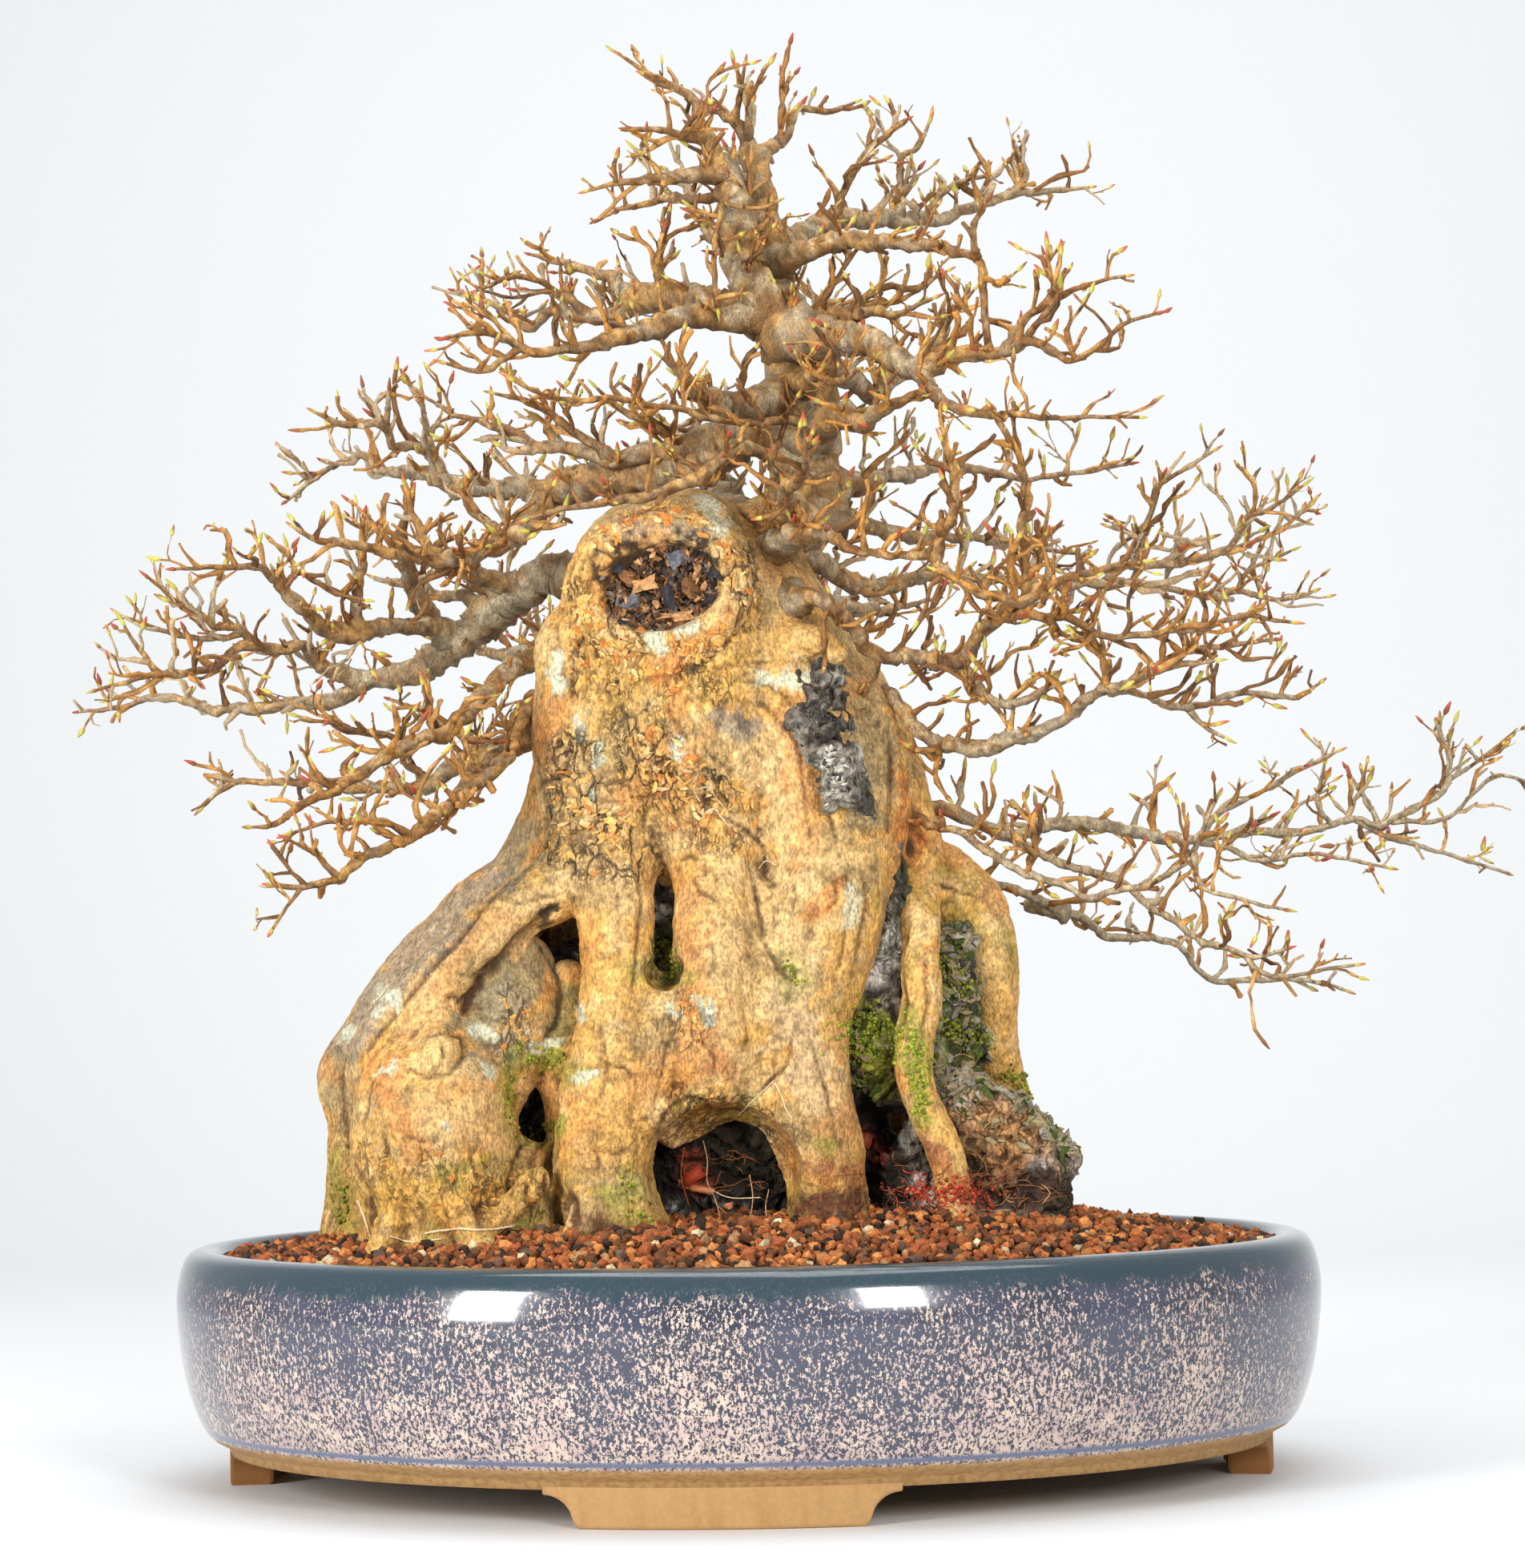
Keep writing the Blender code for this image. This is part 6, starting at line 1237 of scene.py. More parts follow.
LIMB_BROWN = linear(150, 114, 70)
LIMB_GREY = linear(188, 176, 146)
LIMB_TAN = linear(202, 156, 88)
TWIG_BROWN = linear(144, 98, 48)
TWIG_GOLD = linear(194, 138, 62)
TWIG_DARK = linear(72, 48, 30)
BUD_GREEN = linear(196, 184, 82)
BUD_RED = linear(186, 72, 56)
BUD_BROWN = linear(140, 84, 48)

# Thin limbs are drawn in by this share of their radius, thick ones are not
THIN_SHARE = 0.64
THIN_RADIUS = 2.2 * MM
THICK_RADIUS = 8.5 * MM
LIMB_STEP = 1.9 * MM

# Length of a twig between nodes, and the turn from one twig of a limb to the next in degrees
TWIG_NODE = 3.8 * MM
TWIG_TURN = 137.5


def limb_run(limb):
    """A limb's smooth run of places and radii."""
    rows = [(*seen(across, up, depth * CROWN_DEPTH), radius * MM) for across, up, depth, radius in limb]
    run = curve_through(rows, LIMB_STEP)
    run[:, 3] *= THIN_SHARE + (1.0 - THIN_SHARE) * smoothstep(THIN_RADIUS, THICK_RADIUS, run[:, 3])
    return run


def rooted(run, others):
    """Bend a run's start into the middle of the limb it grows from; also that limb's radius there."""
    start = run[0, :3]
    best, place, radius = 22 * MM, None, 0.0
    for other in others:
        away = np.linalg.norm(other[:, :3] - start, axis=1)
        index = int(away.argmin())
        if away[index] < best:
            best, place, radius = away[index], other[index, :3], other[index, 3]
    if place is None:
        return run, 0.0
    count = min(len(run), 12)
    fade = (1.0 - np.arange(count) / count)[:, None] ** 2
    run = run.copy()
    run[:count, :3] += (place - start) * fade
    return run, radius


def knuckled(run, rng):
    """Give a run small bends and swollen nodes; also how far along each point is."""
    run = run.copy()
    count = len(run)
    shift = rng.uniform(-50, 50)
    length = np.concatenate([[0.0], np.cumsum(np.linalg.norm(np.diff(run[:, :3], axis=0), axis=1))])
    ends = np.minimum(1.0, np.minimum(np.arange(count), np.arange(count)[::-1]) / 4.0)
    for axis in range(3):
        wave = np.array([noise.fractal((s * 75 + shift, axis * 7.3, shift), 1.0, 2.0, 4) for s in length])
        run[:, axis] += wave * ends * np.minimum(run[:, 3] * 1.1, 2.2 * MM)
    place = rng.uniform(2, 6) * MM
    while place < length[-1]:
        width = rng.uniform(0.8, 1.8) * MM
        run[:, 3] *= 1.0 + rng.uniform(-0.08, 0.32) * np.exp(-((length - place) / width) ** 2)
        place += rng.uniform(2.5, 9.0) * MM
    return run, length


def limb_skin(run, length, parent_radius, sides):
    """Tube of a limb with a flared foot and rough bark; also a colour at each point, with painted shade
    under it and in its grooves.
    """
    radii = run[:, 3].copy()
    flare = np.exp(-np.maximum(0.0, length - parent_radius * 0.8) / (radii[0] * 1.1 + 1 * MM))
    radii *= 1.0 + 0.5 * flare
    points, faces = tube(run[:, :3], radii, sides)
    count = len(run) * sides
    middle = np.repeat(run[:, :3], sides, axis=0)
    out = points[:count] - middle
    reach = np.repeat(radii, sides)
    ridges = crinkle(points[:count], 330, 3, 2.0)
    lumps = crinkle(points[:count], 130, 3, 9.0)
    points[:count] = middle + out * (1.0 + 0.17 * ridges + 0.18 * lumps)[:, None]
    thick = smoothstep(1.4 * MM, 5.0 * MM, reach)
    mottle = smoothstep(-0.05, 0.2, crinkle(points[:count], 85, 5, 15.0))
    speck = crinkle(points[:count], 420, 2, 33.0)
    back = smoothstep(0.0, 0.09, points[:count, 1])
    colour = blend(TWIG_BROWN, LIMB_BROWN, thick)
    colour = blend(colour, LIMB_TAN, smoothstep(-0.05, 0.25, lumps) * 0.75)
    low_right = smoothstep(0.07, 0.11, points[:count, 0]) * (1.0 - smoothstep(0.30, 0.34, points[:count, 2]))
    grey = np.clip(mottle * (0.2 + 0.45 * thick) + back * (0.3 + 0.3 * thick) + low_right * 0.5, 0.0, 0.85)
    colour = blend(colour, LIMB_GREY, grey)
    # painted shade: umber in the grooves of the bark
    colour = blend(colour, UMBER, smoothstep(0.0, 0.3, -ridges) * 0.5)
    # painted shade: darker on the underside of the limb
    under = np.clip(-out[:, 2] / (reach + 1e-6), 0.0, 1.0)
    colour = colour * (1.0 - 0.5 * under)[:, None] * (1.0 + 0.5 * speck)[:, None]
    return points, faces, np.vstack([colour, colour[:1], colour[-1:]])


def twig_run(base, direction, length, radius, rng):
    """A twig's run of places and radii, bent and swollen at its nodes, turning up a little as it goes."""
    heading = Vector(direction).normalized()
    place = Vector(base)
    rows = [(*place, radius * 1.25)]
    for i in range(max(2, round(length / TWIG_NODE))):
        heading += Vector((rng.gauss(0, 0.3), rng.gauss(0, 0.3), rng.gauss(0.07, 0.24)))
        heading.normalize()
        place = place + heading * TWIG_NODE * rng.uniform(0.75, 1.25)
        thin = radius * (1.0 - 0.35 * min(1.0, (i + 1) * TWIG_NODE / length))
        rows.append((*place, thin * rng.choice((0.8, 1.0, 1.4))))
    return np.array(rows), heading


def twig_colour(points, rng):
    """Bark of a twig: golden brown with dark and pale specks."""
    base = TWIG_BROWN + (rng.choice((LIMB_TAN, TWIG_DARK, TWIG_GOLD)) - TWIG_BROWN) * rng.uniform(0.1, 0.6)
    speck = crinkle(points, 450, 2, 1.0)
    tone = base * (1.0 + 1.2 * speck)[:, None]
    if rng.random() < 0.4 and points[:, 1].mean() > 0.0:
        tone = tone + (LIMB_GREY - tone) * 0.55
    return tone


BUD_SIDES = 4
BUD_PROFILE = ((0.0, 0.55), (0.25, 1.0), (0.6, 0.66), (0.86, 0.26))


def add_bud(heap, base, direction, length, width, rng):
    """A pointed bud, green or brown at its foot and often red at its tip."""
    points = np.array([Vector(base) + direction * (length * along) for along, _ in BUD_PROFILE])
    radii = [width * share for _, share in BUD_PROFILE]
    verts, faces = tube(points, radii, BUD_SIDES)
    share = np.append(np.repeat([along for along, _ in BUD_PROFILE], BUD_SIDES), (0.0, 1.0))
    foot = rng.choice((BUD_GREEN, BUD_GREEN, BUD_BROWN))
    tip = rng.choice((BUD_RED, BUD_RED, BUD_GREEN * 0.8, BUD_BROWN))
    colour = blend(foot, tip, smoothstep(0.2, 0.75, share))
    heap.add(verts, faces, colour)


def side_direction(rows, index, forward, upward, rng):
    """A direction that leaves a run sideways at a point."""
    ahead = Vector(rows[index + 1, :3] - rows[index - 1, :3]).normalized()
    side = beside(ahead, rng.uniform(0, 2 * math.pi))
    return (ahead * forward + side * 0.8 + Vector((0, 0, upward))).normalized()


def add_twig(twigs, buds, base, direction, length, radius, level, rng):
    """A twig with its side twigs, and a bud or a pruned end on each."""
    rows, heading = twig_run(base, direction, length, radius, rng)
    verts, faces = tube(rows[:, :3], rows[:, 3], 5 if level == 0 else 4)
    twigs[0 if base[0] < 0 else 1].add(verts, faces, twig_colour(verts, rng))
    for index in range(1, len(rows) - 1):
        draw = rng.random()
        if level < 2 and draw < (0.34 if level == 0 else 0.16):
            out = side_direction(rows, index, 0.7, 0.35, rng)
            reach = max(4 * MM, length * rng.uniform(0.25, 0.6))
            add_twig(twigs, buds, rows[index, :3], out, reach, rows[index, 3] * 0.8, level + 1, rng)
        elif draw > 0.86:
            add_bud(buds, rows[index, :3], side_direction(rows, index, 0.9, 0.2, rng),
                    rng.uniform(1.6, 3.2) * MM, 0.6 * MM, rng)
    if rng.random() < 0.5:
        size = rng.uniform(3.0, 8.0) * MM
        foot = rows[-1, :3] - np.array(heading) * 0.6 * MM
        upward = (heading + Vector((0, 0, 0.15))).normalized()
        add_bud(buds, foot, upward, size, size * 0.12 + 0.35 * MM, rng)


def sparseness(place):
    """How far apart the twigs stand at a place of the crown, 1 at the left end."""
    if place[0] > 0.085 and place[2] < 0.40:
        return 1.35 if place[2] < 0.31 else 0.8
    return 1.2 if place[0] > -0.15 else 1.0


def make_crown():
    """Limbs, twigs left and right, and buds."""
    rng = random.Random(23)
    limbs, twigs, buds = Heap(), (Heap(), Heap()), Heap()
    runs = []
    for limb in LIMBS:
        run, parent_radius = rooted(limb_run(limb), runs)
        runs.append(run)
        bent, length = knuckled(run, rng)
        thickest = run[:, 3].max()
        sides = 14 if thickest > 7 * MM else 9 if thickest > 3.0 * MM else 6
        limbs.add(*limb_skin(bent, length, parent_radius, sides))
        total = length[-1]
        bare = max(total * 0.12, 22 * MM if run[0, 3] > 4 * MM else 6 * MM)
        place = bare * rng.uniform(0.8, 1.2)
        turn = rng.uniform(0, 2 * math.pi)
        while place < total - 1.5 * MM:
            at = min(int(np.searchsorted(length, place)), len(bent) - 2)
            ahead = Vector(bent[at + 1, :3] - bent[at - 1, :3]).normalized()
            side = beside(ahead, turn)
            left = total - place
            reach = min(rng.uniform(9, 33) * MM, 7 * MM + left * 0.7)
            out = (ahead * rng.uniform(0.3, 0.9) + side * 0.8 + Vector((0, 0, 0.4))).normalized()
            radius = min(rng.uniform(1.05, 1.65) * MM, bent[at, 3] * 0.85)
            if rng.random() < 0.16:
                reach, radius = rng.uniform(3, 6) * MM, radius * 1.3
            add_twig(twigs, buds, bent[at, :3], out, reach, radius, 0, rng)
            turn += math.radians(TWIG_TURN)
            place += rng.uniform(4.4, 9.4) * MM * sparseness(bent[at])
        end = Vector(bent[-1, :3] - bent[-4, :3]).normalized()
        add_bud(buds, bent[-1, :3], end, rng.uniform(4.0, 7.5) * MM, 1.0 * MM, rng)
    return limbs.make("limbs"), twigs[0].make("twigs_left"), twigs[1].make("twigs_right"), buds.make("buds")


STONE_DARK = linear(68, 64, 57)
STONE_GREY = linear(142, 134, 118)
SLATE = linear(100, 92, 82)
STONE_CRUST = linear(214, 210, 198)
STONE_BROWN = linear(178, 132, 84)
EARTH = linear(58, 40, 28)

# Fineness of the stone's skin
ROCK_VOXEL = 1.9 * MM
ROCK_TRIANGLES = 80000

# Blocks of stone that show in the window of the wood
WINDOW_STONE = (
    ((32, 297, -38), (9, 13, 10), -20),
    ((42, 279, -40), (9, 12, 10), -10),
)

# Patches of colour on the stone, as on the bark; the black-brown ones are painted shade in the caves, the
# gap and a crevice
STONE_WASHES = (
    # painted shade: black-brown stone inside the two caves
    (BLACK_BROWN, 0.97, 26, ((820, 1450), (900, 1440), (980, 1500))),
    (BLACK_BROWN, 0.97, 14, ((1080, 1390), (1100, 1440), (1120, 1500))),
    (RUST, 0.7, 7, ((868, 1458), (880, 1482))),
    (RUST, 0.6, 6, ((1085, 1430), (1100, 1440))),
    # painted shade: black-brown stone in the gap beside the bulb
    (BLACK_BROWN, 0.9, 10, ((700, 1170), (705, 1230))),
    (DARK_MOSS, 0.8, 7, ((835, 1180), (840, 1220))),
    (EARTH, 0.95, 13, ((1205, 1460), (1280, 1480), (1350, 1500))),
    (EARTH, 0.9, 8, ((1200, 1500), (1360, 1510))),
    (SLATE, 0.95, 15, ((1000, 890), (1040, 900), (1070, 890))),
    (STONE_GREY, 0.9, 10, ((1025, 945), (1055, 965), (1050, 1000))),
    (STONE_CRUST, 0.6, 4, ((1035, 955), (1055, 970), (1048, 995))),
    (STONE_DARK, 0.85, 8, ((1142, 1060), (1145, 1165))),
    (MOSS_GREEN, 0.95, 14, ((1070, 1290), (1100, 1310), (1110, 1335))),
    (STONE_CRUST, 0.8, 3, ((1100, 1303), (1110, 1307))),
    (MOSS_GREEN, 0.6, 10, ((1185, 1200), (1205, 1260), (1205, 1330))),
    (STONE_BROWN, 0.85, 15, ((1220, 1390), (1250, 1410), (1250, 1440))),
    (GREY_OLIVE, 0.85, 10, ((1275, 1345), (1320, 1400), (1355, 1450))),
    (DARK_MOSS, 0.7, 6, ((1290, 1350), (1340, 1410))),
    (STONE_BROWN, 0.8, 7, ((1300, 1405), (1325, 1440))),
    (STONE_GREY, 0.8, 5, ((1330, 1445), (1362, 1458))),
    # painted shade: a black-brown line in the crevice of the window
    (BLACK_BROWN, 0.85, 3, ((1020, 932), (1045, 928), (1070, 938))),
)


def make_rock():
    """The stone that the roots hold, craggy and coloured by its patches, with painted shade in its pits."""
    rock = joined([chunk(*spot) for spot in ROCK_CHUNKS + WINDOW_STONE], "stone")
    melt_together(rock, ROCK_VOXEL, 0)
    points, normals = points_of(rock.data), normals_of(rock.data)
    broad = crinkle(points, 38, 2, 0.0)
    crags = cell_edges(points + 0.010 * broad[:, None], 82, 3.0, (1, 1, 1.6))
    layers = crinkle(points, 95, 3, 6.0, (1, 1, 2.2))
    fine = crinkle(points, 380, 2, 2.0)
    move = broad * 3.5 + layers * 1.8 + fine * 0.5 - 3.0 * (1.0 - smoothstep(0.0, 0.2, crags))
    points += normals * ((move - 0.6) * MM)[:, None]
    set_points(rock.data, points)
    places = shown(points)
    mottle = smoothstep(-0.3, 0.4, crinkle(points, 60, 4, 11.0))
    crust = smoothstep(0.12, 0.4, crinkle(points, 42, 4, 21.0))
    colour = blend(STONE_DARK, STONE_GREY, mottle)
    colour = blend(colour, STONE_CRUST, crust * 0.75)
    for tint, strength, width, line in STONE_WASHES:
        away, _ = line_distance(places, line)
        ragged = away + fine * width * 0.5
        mask = (1.0 - smoothstep(width * 0.5, width * 1.2, ragged)) * strength
        colour = blend(colour, tint, mask)
    green = smoothstep(0.0, 0.3, crinkle(points, 34, 4, 40.0)) * smoothstep(-0.2, 0.5, normals[:, 2])
    colour = blend(colour, DARK_MOSS, green * 0.7)
    # painted shade: darker in the pits of the stone
    pit_shade = smoothstep(0.8, 3.4, -move)
    colour = colour * (1.0 - 0.75 * pit_shade)[:, None]
    set_tint(rock.data, colour)
    thin_out(rock, ROCK_TRIANGLES)
    return rock


# Colours of the grains and how often each comes
GRAIN_COLOURS = (
    (linear(150, 82, 46), 24), (linear(112, 70, 42), 22), (linear(56, 42, 34), 15),
    (linear(188, 120, 64), 17), (linear(166, 96, 50), 14), (linear(92, 72, 58), 5),
    (linear(206, 186, 146), 3), (linear(160, 122, 84), 2),
)
SOIL_AT_WALL = 91
SOIL_MOUND = 15
MOUND_POWER = 2.4
BANK_HEIGHT = 7
BANK_X = 90
BANK_SPREAD = 50
EARTH_BELOW_TOP = 3.2
EARTH_FLOOR = 70
GRAIN_SPACING = 4.3
GRAIN_SIZES = (1.4, 1.7, 1.9, 2.1, 2.4, 2.9)
GRAIN_WALL_GAP = 13
RAY_STEP = 0.01 * MM


def soil_top(x, y):
    """Height of the soil in millimetres at a place of the pot, in millimetres."""
    share = min(1.0, math.hypot(x / (LONG_HALF - 12), y / (SHORT_HALF - 12)))
    bank = BANK_HEIGHT * math.exp(-((x - BANK_X) ** 2 + y * y) / BANK_SPREAD ** 2)
    return SOIL_AT_WALL + SOIL_MOUND * (1.0 - share ** MOUND_POWER) + bank


def make_earth():
    """The dark body of the soil under the grains, closed below inside the pot."""
    rings, around = 34, 160
    points, faces = [], []
    for ring in range(rings + 1):
        share = ring / rings
        for k in range(around):
            edge = oval_edge(2 * math.pi * k / around, WALL_INSIDE_INSET)
            x, y = edge.x * share, edge.y * share
            dips = noise.fractal((x * 0.09, y * 0.09, 0), 1.0, 2.0, 2) * 1.6
            points.append((x * MM, y * MM, (soil_top(x, y) - EARTH_BELOW_TOP + dips) * MM))
    for ring in range(rings):
        for k in range(around):
            a, b = ring * around + k, ring * around + (k + 1) % around
            faces += [(a, a + around, b + around), (a, b + around, b)]
    start = len(points)
    for k in range(around):
        edge = oval_edge(2 * math.pi * k / around, WALL_INSIDE_INSET)
        points.append((edge.x * MM, edge.y * MM, EARTH_FLOOR * MM))
    points.append((0, 0, EARTH_FLOOR * MM))
    last = rings * around
    for k in range(around):
        nxt = (k + 1) % around
        faces += [(last + k, start + k, start + nxt), (last + k, start + nxt, last + nxt),
                  (start + k, start + around, start + nxt)]
    points, faces = np.array(points), np.array(faces)
    thing = add_object("soil_body", mesh_of("soil_body", points, faces))
    set_tint(thing.data, np.broadcast_to(EARTH, (len(points), 3)))
    return thing


def inside(tree, point):
    """Whether a point lies inside a closed skin: a ray up crosses the skin an odd number of times."""
    up = Vector((0.0, 0.0, 1.0))
    crossings = 0
    place = tree.ray_cast(point, up)[0]
    while place is not None:
        crossings += 1
        place = tree.ray_cast(place + up * RAY_STEP, up)[0]
    return crossings % 2 == 1


def make_grains(blockers):
    """Angular grit over the whole soil, in two pieces."""
    rng = random.Random(5)
    ball_points, ball_faces = ball(1)
    coarse = len(ball_points)
    halves = (Heap(), Heap())
    palette = [colour for colour, often in GRAIN_COLOURS for _ in range(often)]
    spacing = GRAIN_SPACING
    rows = int(POT_DEPTH / spacing) + 2
    columns = int(LONG_HALF / spacing)
    for row in range(-rows // 2, rows // 2 + 1):
        for column in range(-columns - 1, columns + 2):
            x = (column + 0.5 * (row % 2) + rng.uniform(-0.42, 0.42)) * spacing
            y = (row + rng.uniform(-0.42, 0.42)) * spacing * 0.9
            if (x / (LONG_HALF - GRAIN_WALL_GAP)) ** 2 + (y / (SHORT_HALF - GRAIN_WALL_GAP)) ** 2 > 1.0:
                continue
            size = rng.choice(GRAIN_SIZES) * rng.uniform(0.9, 1.15)
            height = soil_top(x, y) - 1.9 + rng.uniform(-1.0, 1.3)
            middle = Vector((x * MM, y * MM, height * MM))
            if any(inside(tree, middle) for tree in blockers):
                continue
            angle = rng.uniform(0, 6.28)
            axis = Vector((rng.gauss(0, 1), rng.gauss(0, 1), rng.gauss(0, 1)))
            turn = Matrix.Rotation(angle, 3, axis)
            sides = [rng.uniform(0.75, 1.25), rng.uniform(0.75, 1.2), rng.uniform(0.6, 1.05)]
            stretch = np.array(sides) * size * MM
            jag = np.array([rng.uniform(0.72, 1.2) for _ in range(coarse)])
            shape = (ball_points * jag[:, None] * stretch) @ np.array(turn).T
            colour = palette[rng.randrange(len(palette))] * rng.uniform(0.7, 1.35)
            halves[0 if x < 0 else 1].add(shape + np.array(middle), ball_faces, colour)
    return halves[0].make("grit_left", False), halves[1].make("grit_right", False)


ROOT_WHITE = linear(222, 200, 160)
ROOT_BROWN = linear(150, 96, 56)
ROOT_TAN = linear(190, 150, 104)
FLESH_RED = linear(196, 74, 44)
FLESH_PALE = linear(236, 150, 100)
MOSS_BRIGHT = linear(152, 164, 50)

# Fine roots: radius in millimetres, colour, depth (none: on the skin), and the line in pixels
ROOTLETS = (
    (0.45, ROOT_WHITE, None, ((868, 985), (873, 997), (879, 1009))),
    (0.45, ROOT_WHITE, None, ((892, 986), (896, 1000), (906, 1013))),
    (0.45, ROOT_WHITE, None, ((879, 1031), (888, 1020), (898, 1018), (906, 1029), (914, 1039))),
    (0.40, ROOT_WHITE, None, ((873, 993), (886, 990), (898, 992))),
    (0.40, ROOT_WHITE, None, ((940, 1090), (948, 1100), (944, 1113))),
    (0.40, ROOT_WHITE, None, ((952, 1092), (962, 1082), (975, 1088))),
    (0.45, ROOT_WHITE, None, ((928, 1396), (944, 1381), (958, 1368), (973, 1354))),
    (0.45, ROOT_WHITE, None, ((974, 1357), (983, 1375), (988, 1390), (996, 1402))),
    (0.40, ROOT_WHITE, None, ((1184, 1248), (1196, 1262), (1204, 1256))),
    (0.50, ROOT_WHITE, None, ((1196, 1240), (1206, 1258), (1197, 1282))),
    (0.42, ROOT_TAN, -36, ((884, 1428), (889, 1452), (889, 1478), (899, 1500), (908, 1532))),
    (0.42, ROOT_WHITE, -34, ((893, 1488), (918, 1498), (956, 1498))),
    (0.36, ROOT_TAN, -30, ((942, 1470), (946, 1500), (940, 1536))),
    (0.36, ROOT_TAN, -34, ((966, 1488), (962, 1512), (968, 1538))),
    (0.36, ROOT_TAN, -40, ((1000, 1505), (1004, 1540))),
    (0.40, ROOT_TAN, -28, ((902, 1508), (924, 1528), (930, 1545))),
    (0.45, ROOT_BROWN, -26, ((860, 1436), (856, 1470), (866, 1508))),
    (0.70, ROOT_WHITE, None, ((450, 1500), (458, 1520), (466, 1545))),
    (0.80, ROOT_WHITE, None, ((535, 1541), (572, 1536), (610, 1538), (650, 1530))),
    (0.60, ROOT_WHITE, None, ((490, 1545), (520, 1552), (556, 1548))),
)

# Where many short fine roots lie: count, colour, and the box in pixels
ROOT_MATS = (
    (80, ROOT_BROWN, (1080, 1450, 1330, 1525)),
    (16, ROOT_TAN, (1060, 1455, 1330, 1525)),
    (40, FLESH_RED, (1125, 1480, 1240, 1520)),
    (26, ROOT_BROWN, (870, 1440, 985, 1545)),
    (5, ROOT_TAN, (1180, 1290, 1230, 1340)),
)

# Moss: count, colour, reach in pixels and the line in pixels
MOSS_PATCHES = (
    (380, MOSS_BRIGHT, 30, ((1068, 1285), (1095, 1300), (1118, 1318))),
    (130, MOSS_BRIGHT, 13, ((1146, 1290), (1150, 1340), (1160, 1395))),
    (70, MOSS_GREEN, 9, ((638, 1352), (642, 1395), (662, 1424), (700, 1412))),
    (40, MOSS_GREEN, 14, ((652, 1326), (702, 1326))),
    (150, MOSS_GREEN, 17, ((1188, 1288), (1236, 1310))),
    (200, MOSS_GREEN, 13, ((1262, 1345), (1300, 1372), (1350, 1430))),
    (90, MOSS_GREEN, 13, ((832, 1180), (846, 1222))),
    (90, MOSS_GREEN, 16, ((1188, 1200), (1220, 1250))),
    (24, MOSS_GREEN, 12, ((420, 1470), (436, 1522))),
    (36, MOSS_GREEN, 15, ((780, 1480), (826, 1532))),
    (24, MOSS_GREEN, 10, ((985, 1208), (1002, 1236))),
)

# Red crumbs at the foot of the thin front root, as the moss
RED_CRUMBS = (
    (150, FLESH_RED, 20, ((1140, 1496), (1190, 1488), (1240, 1502))),
    (90, RUST, 30, ((1120, 1500), (1200, 1492), (1250, 1505))),
)

# Nothing is strewn below this height
SOIL_LEVEL = 0.097

# Share of its radius that a fine root keeps, and the longest step between its places
ROOT_SHARE = 0.62
ROOT_STEP = 14 * MM

# Loose plates of bark: count, size and thickness in millimetres, colours, reach and line in pixels
WOOD_TONES = (OCHRE, OCHRE, OCHRE, PALE_TAN, ORANGE)
RIM_TONES = (OCHRE, OCHRE, PALE_TAN, PALE_TAN, ORANGE)
BARK_PLATES = (
    (70, 3.0, 0.5, WOOD_TONES, 38, ((700, 950), (725, 1030), (790, 1060))),
    (90, 3.0, 0.5, WOOD_TONES, 44, ((800, 930), (860, 1000), (945, 1040))),
    (90, 3.2, 0.6, RIM_TONES, 26, ((720, 735), (738, 790), (800, 834))),
    (90, 3.0, 0.6, RIM_TONES, 13, ((748, 680), (790, 655), (850, 645), (900, 668))),
    (60, 2.8, 0.6, RIM_TONES, 18, ((912, 690), (924, 750), (900, 808), (850, 832))),
    (40, 2.4, 0.4, WOOD_TONES, 34, ((720, 840), (800, 850), (900, 850))),
    (16, 2.0, 0.4, WOOD_TONES, 22, ((640, 1265), (660, 1310))),
    (26, 2.2, 0.4, WOOD_TONES, 30, ((860, 1260), (885, 1290))),
    (30, 2.2, 0.4, WOOD_TONES, 34, ((470, 1450), (560, 1480), (680, 1490))),
)

# Chips of stone, as the plates
MOSSY_TONES = (GREY_OLIVE, DARK_MOSS, STONE_GREY, MOSS_GREEN)
CREST_TONES = (GREY_OLIVE, STONE_GREY, DARK_MOSS, GREY_OLIVE)
STONE_CHIPS = (
    (90, 3.6, 1.0, MOSSY_TONES, 20, ((1245, 1300), (1290, 1345), (1340, 1395), (1366, 1440))),
    (150, 4.4, 1.6, CREST_TONES, 11, ((1208, 1348), (1240, 1358), (1287, 1384), (1326, 1422), (1345, 1446))),
    (60, 4.0, 1.3, (STONE_GREY, GREY_OLIVE, DARK_MOSS), 16, ((1188, 1180), (1230, 1190), (1262, 1210))),
    (110, 3.2, 1.0, (STONE_GREY, DARK_MOSS, STONE_DARK, GREY_OLIVE), 30,
     ((1190, 1180), (1225, 1240), (1210, 1330))),
    (60, 3.4, 0.9, (MOSS_GREEN, DARK_MOSS, GREY_OLIVE), 26, ((1075, 1270), (1105, 1320), (1100, 1370))),
    (60, 2.0, 0.5, (STONE_CRUST, STONE_GREY, STONE_GREY, CHARCOAL), 18, ((1042, 950), (1052, 1000))),
    (30, 3.0, 0.6, (CHARCOAL, STONE_DARK), 18, ((1015, 880), (1045, 915))),
    (30, 3.4, 1.0, (STONE_BROWN, STONE_BROWN, GREY_OLIVE), 22, ((1215, 1400), (1290, 1430))),
    (60, 3.0, 1.0, (STONE_GREY, GREY_OLIVE, DARK_MOSS), 20, ((1190, 1340), (1205, 1390))),
)

